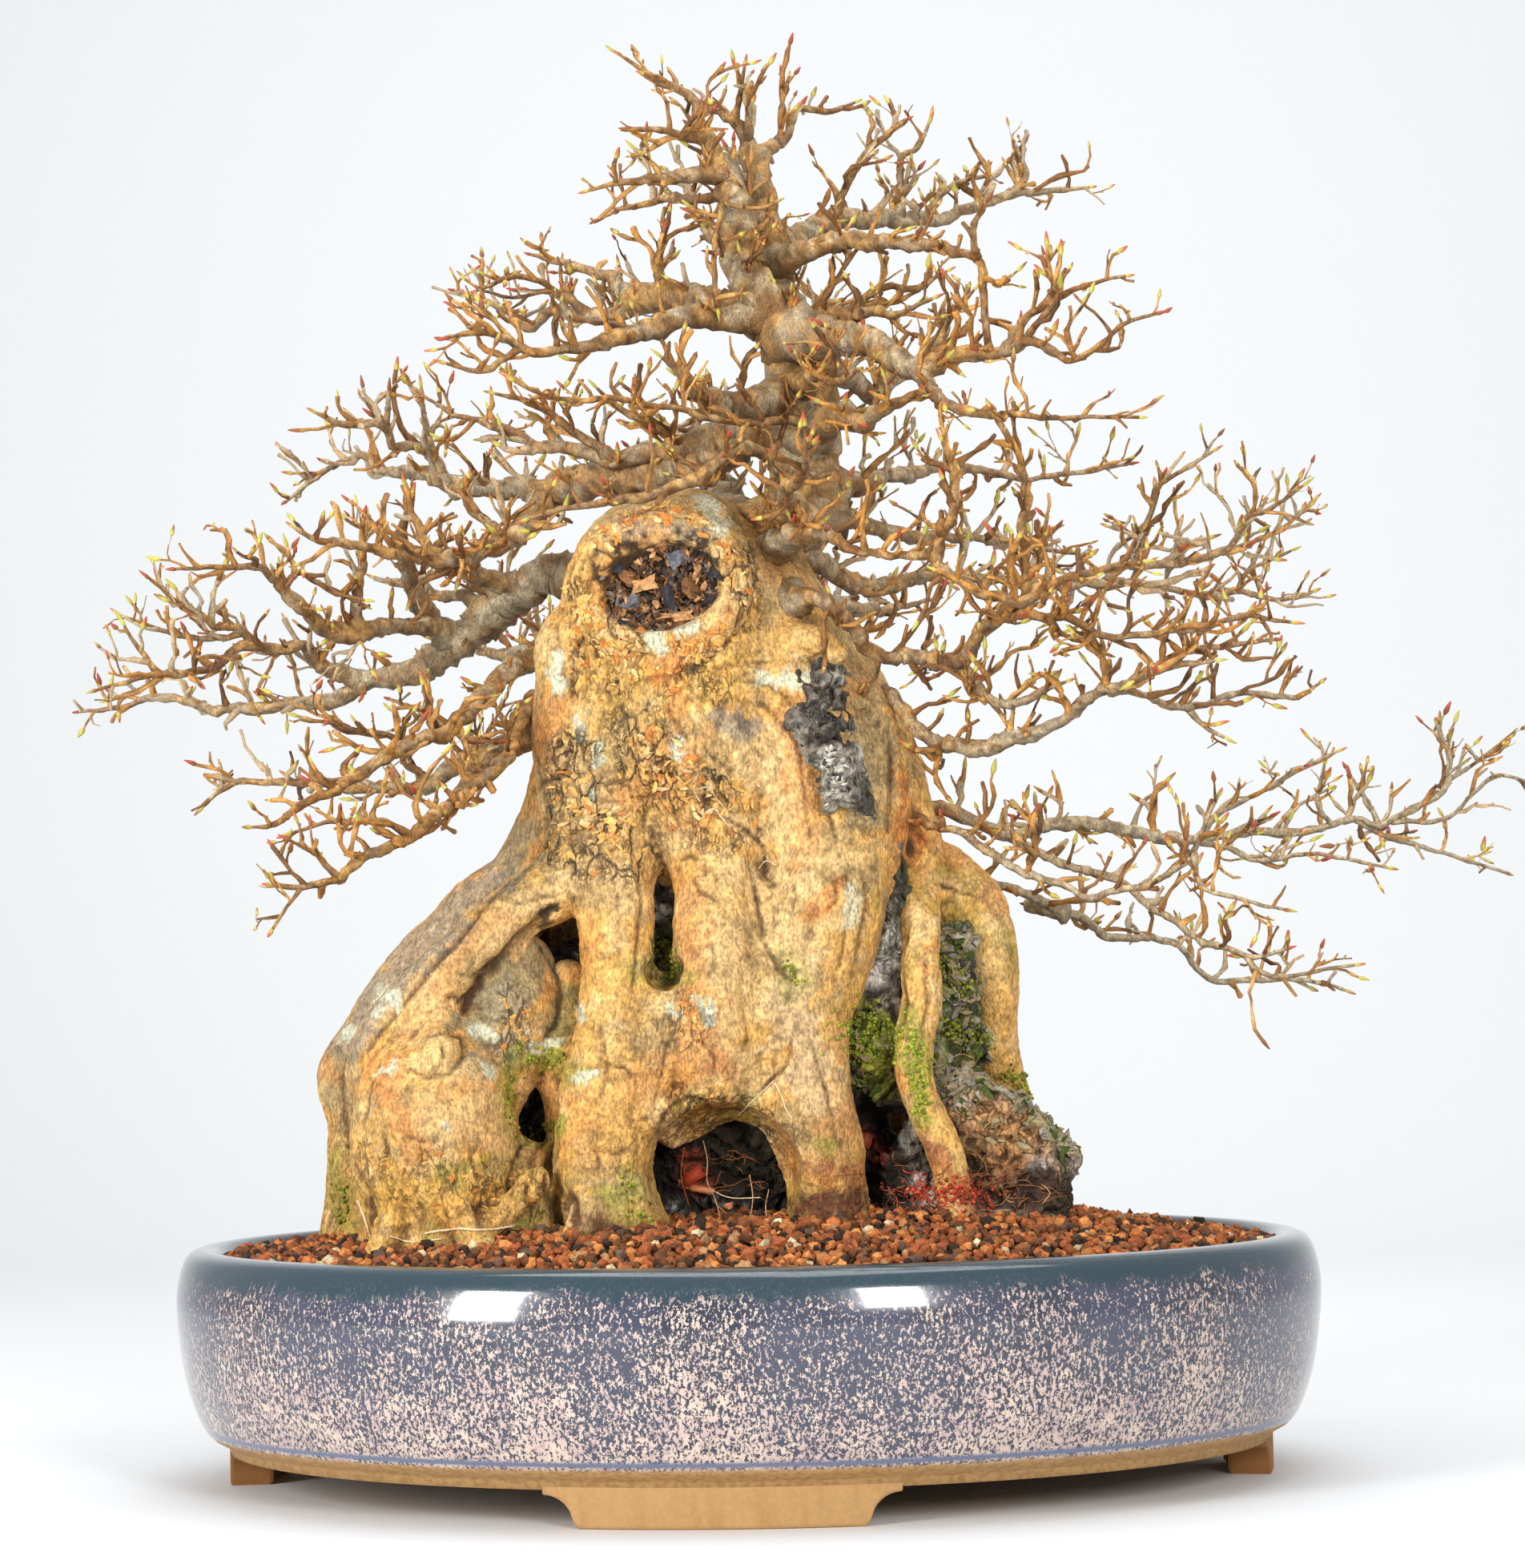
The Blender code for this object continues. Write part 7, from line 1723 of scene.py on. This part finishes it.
# Raw pieces of red and pale flesh in the cave: middle and half size in pixels, depth, lean, colour
FLESH = (
    ((872, 1470), (16, 8), -18, -30, FLESH_RED),
    ((884, 1488), (17, 6), -18, 14, FLESH_PALE),
    ((862, 1482), (10, 5), -16, 10, FLESH_PALE),
    ((914, 1470), (12, 4), -14, 8, FLESH_RED),
    ((916, 1508), (7, 4), -24, -12, FLESH_PALE),
    ((842, 1530), (8, 4), -26, 0, FLESH_RED),
    ((898, 1528), (7, 4), -28, 20, FLESH_RED),
    ((1088, 1430), (8, 12), -18, 10, RUST),
    ((1052, 1480), (14, 7), -44, 0, RUST),
)


class Sight:
    """Finds what the eye sees at a pixel of the photograph."""

    def __init__(self, trees):
        self.trees = trees
        self.owner = None

    def touch(self, x, y):
        """Place and normal of the nearest skin at the pixel, or none."""
        across, up = pixel(x, y)
        ahead = (Vector((across * MM, 0.0, up * MM)) - EYE).normalized()
        found = None
        for tree in self.trees:
            place, normal, _, away = tree.ray_cast(EYE, ahead)
            if place is not None and (found is None or away < found[2]):
                found, self.owner = (place, normal, away), tree
        return found


def thread(heap, sight, radius, colour, depth, line, rng):
    """One fine root along a line of pixels."""
    rows = curve_through([(x, y, 0.0) for x, y in line], 3.0)
    points = []
    for x, y, _ in rows:
        if depth is not None:
            points.append(seen(*pixel(x, y), depth + rng.uniform(-0.8, 0.8)))
            continue
        found = sight.touch(x, y)
        if found:
            points.append(found[0] + found[1] * radius * 0.6 * MM)
    if len(points) < 3:
        return
    points = np.array(points)
    if np.linalg.norm(np.diff(points, axis=0), axis=1).max() > ROOT_STEP:
        return
    radii = radius * ROOT_SHARE * MM * np.array([rng.uniform(0.8, 1.2) for _ in points])
    radii[-1] *= 0.5
    verts, faces = tube(points, radii, 5)
    heap.add(verts, faces, colour * rng.uniform(0.8, 1.15))


def make_details(trees):
    """Fine roots, moss and the raw flesh of the cave."""
    rng = random.Random(41)
    sight = Sight(trees)
    roots, moss = Heap(), Heap()
    for radius, colour, depth, line in ROOTLETS:
        thread(roots, sight, radius, colour, depth, line, rng)
    for count, colour, (left, top, right, bottom) in ROOT_MATS:
        for _ in range(count):
            x, y = rng.uniform(left, right), rng.uniform(top, bottom)
            heading = rng.uniform(0, 2 * math.pi)
            line = [(x, y)]
            for _ in range(rng.randint(2, 4)):
                heading += rng.gauss(0, 0.6)
                x, y = x + 10 * math.cos(heading), y + 7 * math.sin(heading)
                line.append((x, y))
            thread(roots, sight, rng.uniform(0.2, 0.42), colour, None, line, rng)
    box, lump = block(), ball(1)
    for (x, y), (wide, high), depth, lean, colour in FLESH:
        middle = seen(*pixel(x, y), depth)
        half = (wide * PIXEL_MM * MM, 2.5 * MM, high * PIXEL_MM * MM)
        shard(roots, middle, half, Matrix.Rotation(math.radians(lean), 3, "Y"), colour, rng, box)
    for heap, patches in ((moss, MOSS_PATCHES), (roots, RED_CRUMBS)):
        for count, colour, reach, line in patches:
            for found in scattered(sight, count, reach, line, rng):
                size = rng.uniform(0.45, 1.15) * MM
                angle = rng.uniform(0, 6.28)
                turn = Matrix.Rotation(angle, 3, Vector((rng.gauss(0, 1), rng.gauss(0, 1), 1)))
                shard(heap, found[0] + found[1] * size * 0.3, (size, size * 0.8, size * 0.9), turn,
                      colour * rng.uniform(0.5, 1.3), rng, lump)
    return roots.make("fine_roots"), moss.make("moss")


def scattered(sight, count, reach, line, rng, owner=None):
    """Places and normals spread about a line of pixels, on any skin or on the owner's alone."""
    places = []
    for _ in range(count):
        index = rng.randrange(len(line) - 1)
        share = rng.random()
        (left, top), (right, bottom) = line[index], line[index + 1]
        x = left + (right - left) * share + rng.gauss(0, reach * 0.5)
        y = top + (bottom - top) * share + rng.gauss(0, reach * 0.5)
        found = sight.touch(x, y)
        if found and found[0].z > SOIL_LEVEL and owner in (None, sight.owner):
            places.append(found)
    return places


def make_plates(trees):
    """Loose plates of bark, and chips of stone."""
    rng = random.Random(67)
    sight = Sight(trees)
    heaps = (Heap(), Heap())
    for heap, rows, owner in zip(heaps, (BARK_PLATES, STONE_CHIPS), trees):
        for count, size, thick, colours, reach, line in rows:
            for place, normal, _ in scattered(sight, count, reach, line, rng, owner):
                colour = rng.choice(colours) * rng.uniform(0.75, 1.2)
                long_half = size * rng.uniform(0.45, 1.15) * MM
                plate(heap, place + normal * thick * 0.4 * MM, normal, long_half, thick * MM,
                      rng.uniform(-0.5, 0.5), colour, rng)
    return heaps[0].make("bark_plates", False), heaps[1].make("stone_chips", False)


# The pot's wall as (inset, height) in millimetres, outside from the base up and inside from the lip down
WALL_OUTSIDE = ((30, 14), (21, 14), (20, 17), (12, 22), (6.5, 33), (2.6, 48), (0, 72), (2, 87),
                (6, 93.5), (12, 95))
WALL_INSIDE = ((15.5, 94.4), (17.6, 92), (17.8, 84), (16, 50), (24, 26), (30, 23), (60, 23))
CLAY = linear(174, 136, 88)
CLAY_DARK = linear(146, 100, 56)
POT_AROUND = 240

# Feet: where their middles lie round the oval, length in millimetres, colour; the two end feet take the
# darker clay as painted shade
FEET = (
    (-math.pi / 2, 131, CLAY),
    (math.pi / 2, 131, CLAY),
    # painted shade: the end feet are the same clay, darker than the front and back feet
    (0.0, 72, CLAY_DARK),
    (math.pi, 72, CLAY_DARK),
)


def pot_outline():
    """A rounded run of (inset, height, 0) up the outside, over the lip and down the inside."""
    return curve_through([(inset, height, 0.0) for inset, height in WALL_OUTSIDE + WALL_INSIDE], 2.2)[:, :2]


def oval_mesh(outline, around):
    """An outline carried round the pot's oval, as points and triangles, open at both ends."""
    points = np.empty((around, len(outline), 3))
    for k in range(around):
        edge = oval_edge(2 * math.pi * k / around, 0.0)
        inward = oval_edge(2 * math.pi * k / around, 1.0) - edge
        points[k, :, 0] = (edge.x + inward.x * outline[:, 0]) * MM
        points[k, :, 1] = (edge.y + inward.y * outline[:, 0]) * MM
        points[k, :, 2] = outline[:, 1] * MM
    faces = []
    count = len(outline)
    for k in range(around):
        here, there = k * count, (k + 1) % around * count
        for i in range(count - 1):
            faces.append((here + i, there + i, there + i + 1))
            faces.append((here + i, there + i + 1, here + i + 1))
    return points.reshape(-1, 3), np.array(faces)


def closed_base(points, faces, outline, around):
    """Close the underside and the floor inside with plates."""
    sheet = bmesh.new()
    verts = [sheet.verts.new(point) for point in points]
    for face in faces:
        sheet.faces.new([verts[i] for i in face])
    count = len(outline)
    for ring in (0, count - 1):
        sheet.faces.new([verts[k * count + ring] for k in range(around)])
    bmesh.ops.recalc_face_normals(sheet, faces=sheet.faces)
    return add_object("pot_glaze", mesh_from(sheet, "pot_glaze"))


def drill(pot):
    """Cut the two drain holes."""
    drills = []
    for side in (-1, 1):
        sheet = bmesh.new()
        bmesh.ops.create_cone(sheet, cap_ends=True, segments=48, radius1=DRAIN_HOLE_RADIUS * MM,
                              radius2=DRAIN_HOLE_RADIUS * MM, depth=40 * MM,
                              matrix=Matrix.Translation((side * DRAIN_HOLE_X * MM, 0, 18 * MM)))
        drills.append(add_object("drill", mesh_from(sheet, "drill")))
    cut_out(pot, drills)


def foot_underside(place, half_length):
    """Height of a foot's lower edge: flat, then a hollow curve up to its end."""
    past = (abs(place) - (half_length - FOOT_SCROLL)) / FOOT_SCROLL
    if past <= 0.0:
        return 0.0
    return FOOT_RISE * math.sqrt(1.0 - (1.0 - min(past, 1.0)) ** 2)


def make_foot(middle_angle, length):
    """One foot: a bar that follows the oval, with softened edges."""
    reach = math.hypot(LONG_HALF * math.sin(middle_angle), SHORT_HALF * math.cos(middle_angle)) - BASE_INSET
    steps, soft = 72, FOOT_EDGE
    high = BASE_UNDERSIDE + FOOT_TUCK
    rows = []
    for i in range(steps + 1):
        place = math.sin((i / steps - 0.5) * math.pi) * length / 2
        low = min(foot_underside(place, length / 2), high - 1.0)
        profile = ((0.0, high), (0.0, low + soft), (soft * 0.3, low + soft * 0.3), (soft, low),
                   (FOOT_THICKNESS - soft, low), (FOOT_THICKNESS, low + soft), (FOOT_THICKNESS, high))
        for inset, height in profile:
            spot = oval_edge(middle_angle + place / reach, BASE_INSET - 0.4 + inset)
            rows.append((spot.x * MM, spot.y * MM, height * MM))
    points = np.array(rows)
    width = 7
    faces = []
    for i in range(steps):
        for j in range(width):
            a, b = i * width + j, i * width + (j + 1) % width
            faces += [(a, b, b + width), (a, b + width, a + width)]
    for first, flip in ((0, False), (steps * width, True)):
        for j in range(1, width - 1):
            face = (first, first + j, first + j + 1)
            faces.append(face if flip else face[::-1])
    return points, np.array(faces)


def make_feet():
    """The four feet as one piece, bare clay."""
    feet = Heap()
    for angle, length, tint in FEET:
        points, faces = make_foot(angle, length)
        specks = smoothstep(0.25, 0.45, crinkle(points, 300, 2, 3.0))
        feet.add(points, faces, blend(tint, CLAY_DARK, specks * 0.3))
    thing = feet.make("pot_feet", False)
    sheet = bmesh.new()
    sheet.from_mesh(thing.data)
    bmesh.ops.recalc_face_normals(sheet, faces=sheet.faces)
    sheet.to_mesh(thing.data)
    sheet.free()
    return thing


def make_pot():
    """The glazed bowl, with its drain holes."""
    outline = pot_outline()
    points, faces = oval_mesh(outline, POT_AROUND)
    pot = closed_base(points, faces, outline, POT_AROUND)
    drill(pot)
    pot.data.polygons.foreach_set("use_smooth", np.full(len(pot.data.polygons), True))
    return pot


class Nodes:
    """Short way to build a material's node tree."""

    def __init__(self, name):
        self.material = bpy.data.materials.new(name)
        self.material.use_nodes = True
        self.tree = self.material.node_tree
        self.shader = self.tree.nodes["Principled BSDF"]

    def add(self, kind, **values):
        """A node with attributes and input values set."""
        node = self.tree.nodes.new(kind)
        for key, value in values.items():
            if hasattr(node, key):
                setattr(node, key, value)
            else:
                self.put(node.inputs[key.replace("_", " ")], value)
        return node

    def put(self, socket, value):
        """Link a socket, or set its value."""
        if isinstance(value, bpy.types.NodeSocket):
            self.tree.links.new(value, socket)
        elif isinstance(value, np.ndarray):
            socket.default_value = (*value[:3], 1.0)
        else:
            socket.default_value = value

    def shade(self, **values):
        """Set inputs of the surface shader."""
        for key, value in values.items():
            self.put(self.shader.inputs[key.replace("_", " ")], value)

    def texture_place(self):
        """Coordinates of the object, in metres."""
        return self.add("ShaderNodeTexCoord").outputs["Object"]

    def vectors(self, operation, *values, output=0):
        """One calculation with vectors."""
        node = self.add("ShaderNodeVectorMath", operation=operation)
        for socket, value in zip(node.inputs, values):
            self.put(socket, value)
        return node.outputs[output]

    def noise(self, place, scale, detail=3.0, distortion=0.0, output="Fac"):
        """Noise from 0 to 1."""
        node = self.add("ShaderNodeTexNoise", Scale=scale, Detail=detail, Distortion=distortion)
        self.put(node.inputs["Vector"], place)
        return node.outputs[output]

    def span(self, value, low, high, to_low=0.0, to_high=1.0):
        """Map a value from low..high to to_low..to_high, smooth and clamped."""
        node = self.add("ShaderNodeMapRange", interpolation_type="SMOOTHSTEP")
        self.put(node.inputs["Value"], value)
        for key, number in (("From Min", low), ("From Max", high), ("To Min", to_low), ("To Max", to_high)):
            node.inputs[key].default_value = number
        return node.outputs["Result"]

    def mix(self, factor, first, second):
        """Blend of two colours."""
        node = self.add("ShaderNodeMix", data_type="RGBA")
        self.put(node.inputs["Factor"], factor)
        self.put(node.inputs[6], first)
        self.put(node.inputs[7], second)
        return node.outputs[2]

    def maths(self, operation, first, second):
        """One calculation with two values."""
        node = self.add("ShaderNodeMath", operation=operation)
        self.put(node.inputs[0], first)
        self.put(node.inputs[1], second)
        return node.outputs[0]

    def times(self, first, second):
        """Product of two values."""
        return self.maths("MULTIPLY", first, second)

    def weighed(self, first, share, second, other_share):
        """Sum of two values, each times its share."""
        return self.maths("ADD", self.times(first, share), self.times(second, other_share))

    def swayed(self, value, sway, amount):
        """A value moved up and down by noise."""
        return self.maths("ADD", value, self.times(self.maths("SUBTRACT", sway, 0.5), amount))

    def roughened(self, fine, less, mean, more):
        """Roughness about its mean, from so much less to so much more, by noise."""
        return self.span(fine, 0.3, 0.7, mean - less, mean + more)

    def bump(self, height, strength, distance):
        """Relief of the surface from a height value."""
        node = self.add("ShaderNodeBump", Strength=strength, Distance=distance)
        self.put(node.inputs["Height"], height)
        self.put(self.shader.inputs["Normal"], node.outputs["Normal"])

    def scaled(self, place, x=1.0, y=1.0, z=1.0):
        """Coordinates stretched by the given factors."""
        return self.vectors("MULTIPLY", place, (x, y, z))

    def tint(self, output="Color"):
        """What is stored at the points."""
        return self.add("ShaderNodeAttribute", attribute_name="tint").outputs[output]

    def lit_tint(self, level):
        """The stored colour, times a level."""
        node = self.add("ShaderNodeVectorMath", operation="SCALE")
        self.put(node.inputs[0], self.tint())
        self.put(node.inputs["Scale"], level)
        return node.outputs[0]

    def warped(self, place, scale, amount):
        """Coordinates pushed about by noise."""
        push = self.noise(place, scale, 4.0, output="Color")
        return self.vectors("MULTIPLY_ADD", push, (amount, amount, amount), place)

    def cracks(self, place, scale, width, push):
        """1 on thin wandering lines between cells, 0 inside them."""
        cells = self.add("ShaderNodeTexVoronoi", feature="DISTANCE_TO_EDGE")
        cells.inputs["Scale"].default_value = scale
        self.put(cells.inputs["Vector"], self.warped(place, scale * 0.9, push / scale))
        return self.span(cells.outputs["Distance"], 0.0, width, 1.0, 0.0)


def tinted_finish(name, fine_scale, dark, light, roughness, relief, specular=0.35):
    """A rough natural surface: the stored colour, varied by fine noise, with relief."""
    nodes = Nodes(name)
    place = nodes.texture_place()
    fine = nodes.noise(place, fine_scale, 5.0)
    coarse = nodes.noise(place, fine_scale / 6, 3.0)
    varied = nodes.weighed(fine, 0.65, coarse, 0.35)
    nodes.shade(Base_Color=nodes.lit_tint(nodes.span(varied, 0.32, 0.68, dark, light)),
                Roughness=nodes.roughened(fine, 0.08, roughness, 0.1), Specular_IOR_Level=specular)
    nodes.bump(varied, 0.7, relief)
    return nodes.material


# How strong the cracks are where nothing flakes
LEAST_CRACKS = 0.14


def cracked_finish(name, wide, thin, fine_scale, dark, light, roughness, relief, strength=1.0):
    """The stored colour varied by noise, with cracks darkened by painted shade, as strong as the stored
    alpha says.
    """
    nodes = Nodes(name)
    place = nodes.scaled(nodes.texture_place(), z=0.6)
    fine = nodes.noise(place, fine_scale, 8.0)
    coarse = nodes.noise(place, fine_scale / 2.4, 6.0)
    varied = nodes.weighed(fine, 0.68, coarse, 0.32)
    cracked = nodes.span(nodes.tint("Alpha"), 0.0, 1.0, LEAST_CRACKS * strength, strength)
    gate = nodes.span(nodes.noise(place, wide * 0.55, 5.0), 0.40, 0.55)
    other_gate = nodes.span(nodes.noise(place, thin * 0.3, 5.0), 0.44, 0.60)
    long_cracks = nodes.times(nodes.cracks(place, wide, 0.10, 1.7), gate)
    short_cracks = nodes.times(nodes.cracks(place, thin, 0.14, 1.8), other_gate)
    gaps = nodes.times(nodes.maths("MAXIMUM", long_cracks, nodes.times(short_cracks, 0.7)), cracked)
    dots = nodes.span(nodes.noise(place, fine_scale * 1.7, 3.0), 0.60, 0.68, 0.0, 0.42)
    dotted = nodes.mix(dots, nodes.lit_tint(nodes.span(varied, 0.34, 0.66, dark, light)), UMBER)
    # painted shade: the cracks are darkened towards black-brown
    nodes.shade(Base_Color=nodes.mix(nodes.times(gaps, 0.92), dotted, BLACK_BROWN * 1.6),
                Roughness=nodes.roughened(fine, 0.08, roughness, 0.1), Specular_IOR_Level=0.35)
    nodes.bump(nodes.maths("SUBTRACT", varied, nodes.times(gaps, 0.8)), 0.8, relief)
    return nodes.material


def glaze_finish():
    """Cream specks that break through a blue glaze, a teal band under the lip, bare clay below."""
    nodes = Nodes("pot_glaze_specks")
    place = nodes.vectors("SUBTRACT", nodes.texture_place(), POT_MIDDLE)
    height = nodes.add("ShaderNodeSeparateXYZ")
    nodes.put(height.inputs[0], place)
    up, side = height.outputs["Z"], height.outputs["X"]
    wobble = nodes.noise(nodes.scaled(place, z=0.12), 55.0, 3.0)
    drip = nodes.noise(nodes.scaled(place, z=0.08), 170.0, 2.0)
    raised = nodes.swayed(nodes.swayed(up, wobble, 0.012), drip, 0.010)

    large = nodes.noise(nodes.scaled(place, z=0.6), 820.0, 3.0, 0.4)
    small = nodes.noise(nodes.scaled(place, z=0.75), 2000.0, 3.0, 0.3)
    specks = nodes.weighed(large, 0.6, small, 0.4)
    blotch = nodes.noise(nodes.scaled(place, z=0.5), 30.0, 4.0)
    amount = nodes.swayed(nodes.span(raised, 0.022, 0.086, 0.484, 0.549), blotch, 0.16)
    ends = nodes.maths("ABSOLUTE", side, 0.0)
    amount = nodes.maths("ADD", amount, nodes.span(ends, 0.16, 0.23, 0.0, 0.03))
    over = nodes.maths("SUBTRACT", specks, amount)
    cream = nodes.span(over, -0.012, 0.022)
    tone = nodes.noise(place, 120.0, 2.0)
    light = nodes.mix(nodes.span(tone, 0.35, 0.65), linear(208, 186, 170), linear(188, 164, 158))
    blue = nodes.mix(nodes.span(blotch, 0.35, 0.65), linear(44, 48, 64), linear(62, 66, 84))
    body = nodes.mix(cream, blue, light)
    band = nodes.span(raised, 0.0815, 0.0875)
    body = nodes.mix(band, body, linear(34, 56, 66))
    lip = nodes.span(up, 0.0925, 0.0948)
    body = nodes.mix(nodes.times(lip, 0.45), body, linear(76, 88, 98))
    low_line = nodes.span(up, 0.0228, 0.0240)
    line = nodes.maths("SUBTRACT", low_line, nodes.span(up, 0.0245, 0.0262))
    body = nodes.mix(line, body, linear(96, 106, 132))

    clay_noise = nodes.noise(place, 420.0, 3.0)
    clay = nodes.mix(nodes.span(clay_noise, 0.42, 0.62), linear(178, 140, 88), linear(160, 120, 70))
    glazed = nodes.span(nodes.swayed(up, wobble, 0.002), 0.0212, 0.0226)
    on_oval = nodes.scaled(place, 1 / (LONG_HALF * MM), 1 / (SHORT_HALF * MM), 0.0)
    outer = nodes.span(nodes.vectors("LENGTH", on_oval, output="Value"), 0.925, 0.945)
    glazed = nodes.times(glazed, nodes.maths("MAXIMUM", outer, nodes.span(up, 0.080, 0.083)))
    nodes.shade(Base_Color=nodes.mix(glazed, clay, body), Roughness=nodes.span(glazed, 0.0, 1.0, 0.75, 0.16),
                Specular_IOR_Level=0.5, Coat_Weight=nodes.times(glazed, 0.6), Coat_Roughness=0.05)
    nodes.bump(nodes.weighed(cream, 0.5, clay_noise, 0.3), 0.25, 0.0004)
    return nodes.material


def plain_finish(name, colour, roughness, metallic, scale):
    """A plain surface with a faint texture."""
    nodes = Nodes(name)
    fine = nodes.noise(nodes.texture_place(), scale, 3.0)
    nodes.shade(Base_Color=nodes.mix(fine, colour * 0.8, colour * 1.1),
                Roughness=nodes.roughened(fine, 0.06, roughness, 0.06), Metallic=metallic)
    return nodes.material


# The paper behind: a floor that bends up into a wall, in metres
FLOOR_FRONT = -2.4
FLOOR_HALF = 3.2
BEND_START = 1.2
BEND_RADIUS = 0.9
WALL_TOP = 3.2

# Lights: place, target, width, height in metres, in the pot's frame, and watts
AMBIENT = 0.6
LIGHTS = (
    ("left_box", (-1.18, -1.31, 0.56), (0, 0, 0.25), 0.38, 0.80, 23),
    ("right_box", (0.84, -1.78, 0.80), (0, 0, 0.25), 0.38, 0.70, 20),
    ("top_box", (0.1, 0.1, 1.75), (0, 0, 0.2), 1.5, 1.2, 19),
    ("paper_wash", (0.0, 0.75, 1.5), (0, 2.1, 0.9), 1.8, 0.5, 5),
)


def soft_light(name, place, target, width, height, watts):
    """A studio soft box."""
    lamp = bpy.data.lights.new(name, "AREA")
    lamp.shape, lamp.size, lamp.size_y, lamp.energy = "RECTANGLE", width, height, watts
    thing = bpy.data.objects.new(name, lamp)
    thing.location = place
    thing.rotation_euler = (Vector(target) - Vector(place)).to_track_quat("-Z", "Y").to_euler()
    bpy.context.scene.collection.objects.link(thing)


def studio():
    """A pale floor that curves up behind, soft lights and the camera of the photograph."""
    outline = [(FLOOR_FRONT, 0.0), (BEND_START, 0.0)]
    outline += [(BEND_START + BEND_RADIUS * math.sin(angle), BEND_RADIUS - BEND_RADIUS * math.cos(angle))
                for angle in np.linspace(0.1, math.pi / 2, 24)]
    outline += [(BEND_START + BEND_RADIUS, WALL_TOP)]
    points = np.array([(x, y, z) for y, z in outline for x in (-FLOOR_HALF, FLOOR_HALF)])
    faces = np.array([(2 * i, 2 * i + 1, 2 * i + 3, 2 * i + 2) for i in range(len(outline) - 1)])
    floor = add_object("floor", mesh_of("floor", points, faces))
    nodes = Nodes("floor_paper")
    fine = nodes.noise(nodes.texture_place(), 900.0, 2.0)
    nodes.shade(Base_Color=nodes.mix(fine, linear(221, 223, 225), linear(227, 229, 230)), Roughness=0.85)
    floor.data.materials.append(nodes.material)

    world = bpy.data.worlds.new("studio")
    world.use_nodes = True
    background = world.node_tree.nodes["Background"]
    background.inputs["Color"].default_value = (1.0, 1.0, 1.0, 1.0)
    background.inputs["Strength"].default_value = AMBIENT
    bpy.context.scene.world = world
    for name, place, target, width, height, watts in LIGHTS:
        soft_light(name, Vector(place) + POT_MIDDLE, Vector(target) + POT_MIDDLE, width, height, watts)

    lens = bpy.data.cameras.new("photo_camera")
    lens.lens, lens.sensor_width = LENS, SENSOR
    camera = bpy.data.objects.new("photo_camera", lens)
    right, up = Vector(EYE_RIGHT), Vector(EYE_UP)
    back = right.cross(up)
    turn = Matrix((right, up, back)).transposed()
    camera.matrix_world = Matrix.Translation(EYE + POT_MIDDLE) @ turn.to_4x4()
    bpy.context.scene.collection.objects.link(camera)
    bpy.context.scene.camera = camera
    bpy.context.scene.view_settings.view_transform = "Standard"


def search_tree(thing):
    """The thing's skin, for rays to meet."""
    mesh = thing.data
    places = [vert.co for vert in mesh.vertices]
    return BVHTree.FromPolygons(places, [face.vertices for face in mesh.polygons])


def main():
    """Build and finish every piece, then the studio."""
    trunk = sculpt_trunk(rough_trunk())
    old_wood = make_old_wood()
    rock = make_rock()
    limbs, twigs_left, twigs_right, buds = make_crown()
    earth = make_earth()
    blockers = [search_tree(trunk), search_tree(rock)]
    grit_left, grit_right = make_grains(blockers)
    skins = blockers + [search_tree(earth)]
    fine_roots, moss = make_details(skins)
    bark_plates, stone_chips = make_plates(skins)
    pot, feet = make_pot(), make_feet()

    bark = cracked_finish("bark", 125.0, 430.0, 900.0, 0.56, 1.36, 0.72, 0.0014)
    for half in split_at(trunk, BACK_STARTS, ("trunk_front", "trunk_back")):
        finish(half, bark, "maple_bark", "tree")
    finish(old_wood, tinted_finish("rotten_wood", 700.0, 0.5, 1.5, 0.8, 0.0008), "maple_bark")
    finish(bark_plates, tinted_finish("bark_plate", 900.0, 0.6, 1.35, 0.75, 0.0005), "maple_bark")
    finish(stone_chips, tinted_finish("stone_chip", 800.0, 0.6, 1.4, 0.85, 0.0008), "rock")
    limb_bark = cracked_finish("limb_bark", 260.0, 800.0, 1100.0, 0.7, 1.35, 0.68, 0.0007, 0.35)
    finish(limbs, limb_bark, "maple_bark")
    twig_bark = tinted_finish("twig_bark", 1600.0, 0.55, 1.45, 0.6, 0.0004)
    finish(twigs_left, twig_bark, "maple_bark")
    finish(twigs_right, twig_bark, "maple_bark")
    finish(buds, tinted_finish("bud_skin", 1200.0, 0.85, 1.2, 0.5, 0.0002), "maple_bark")
    stone = cracked_finish("weathered_stone", 110.0, 330.0, 620.0, 0.65, 1.75, 0.8, 0.0022, 0.8)
    finish(rock, stone, "rock", "rock")
    grit = tinted_finish("grit", 900.0, 0.6, 1.35, 0.85, 0.0005, 0.25)
    finish(earth, grit, "grit", "soil")
    finish(grit_left, grit, "grit")
    finish(grit_right, grit, "grit")
    finish(fine_roots, tinted_finish("root_skin", 900.0, 0.8, 1.2, 0.6, 0.0002), "maple_bark")
    finish(moss, tinted_finish("moss_tufts", 1500.0, 0.5, 1.5, 0.9, 0.0004), "rock")
    finish(pot, glaze_finish(), "glaze", "pot")
    finish(feet, tinted_finish("bare_clay", 620.0, 0.9, 1.06, 0.78, 0.0003, 0.3), "glaze")
    mesh_plastic = plain_finish("drain_mesh", linear(38, 40, 40), 0.55, 0.0, 600.0)
    wire = plain_finish("aluminium_wire", linear(186, 186, 190), 0.34, 1.0, 800.0)
    for side in ("left", "right"):
        for name, material in (("drain_screen_" + side, mesh_plastic), ("screen_clip_" + side, wire)):
            part = bpy.data.objects[name]
            part.data.materials.clear()
            part.data.materials.append(material)
    studio()


main()
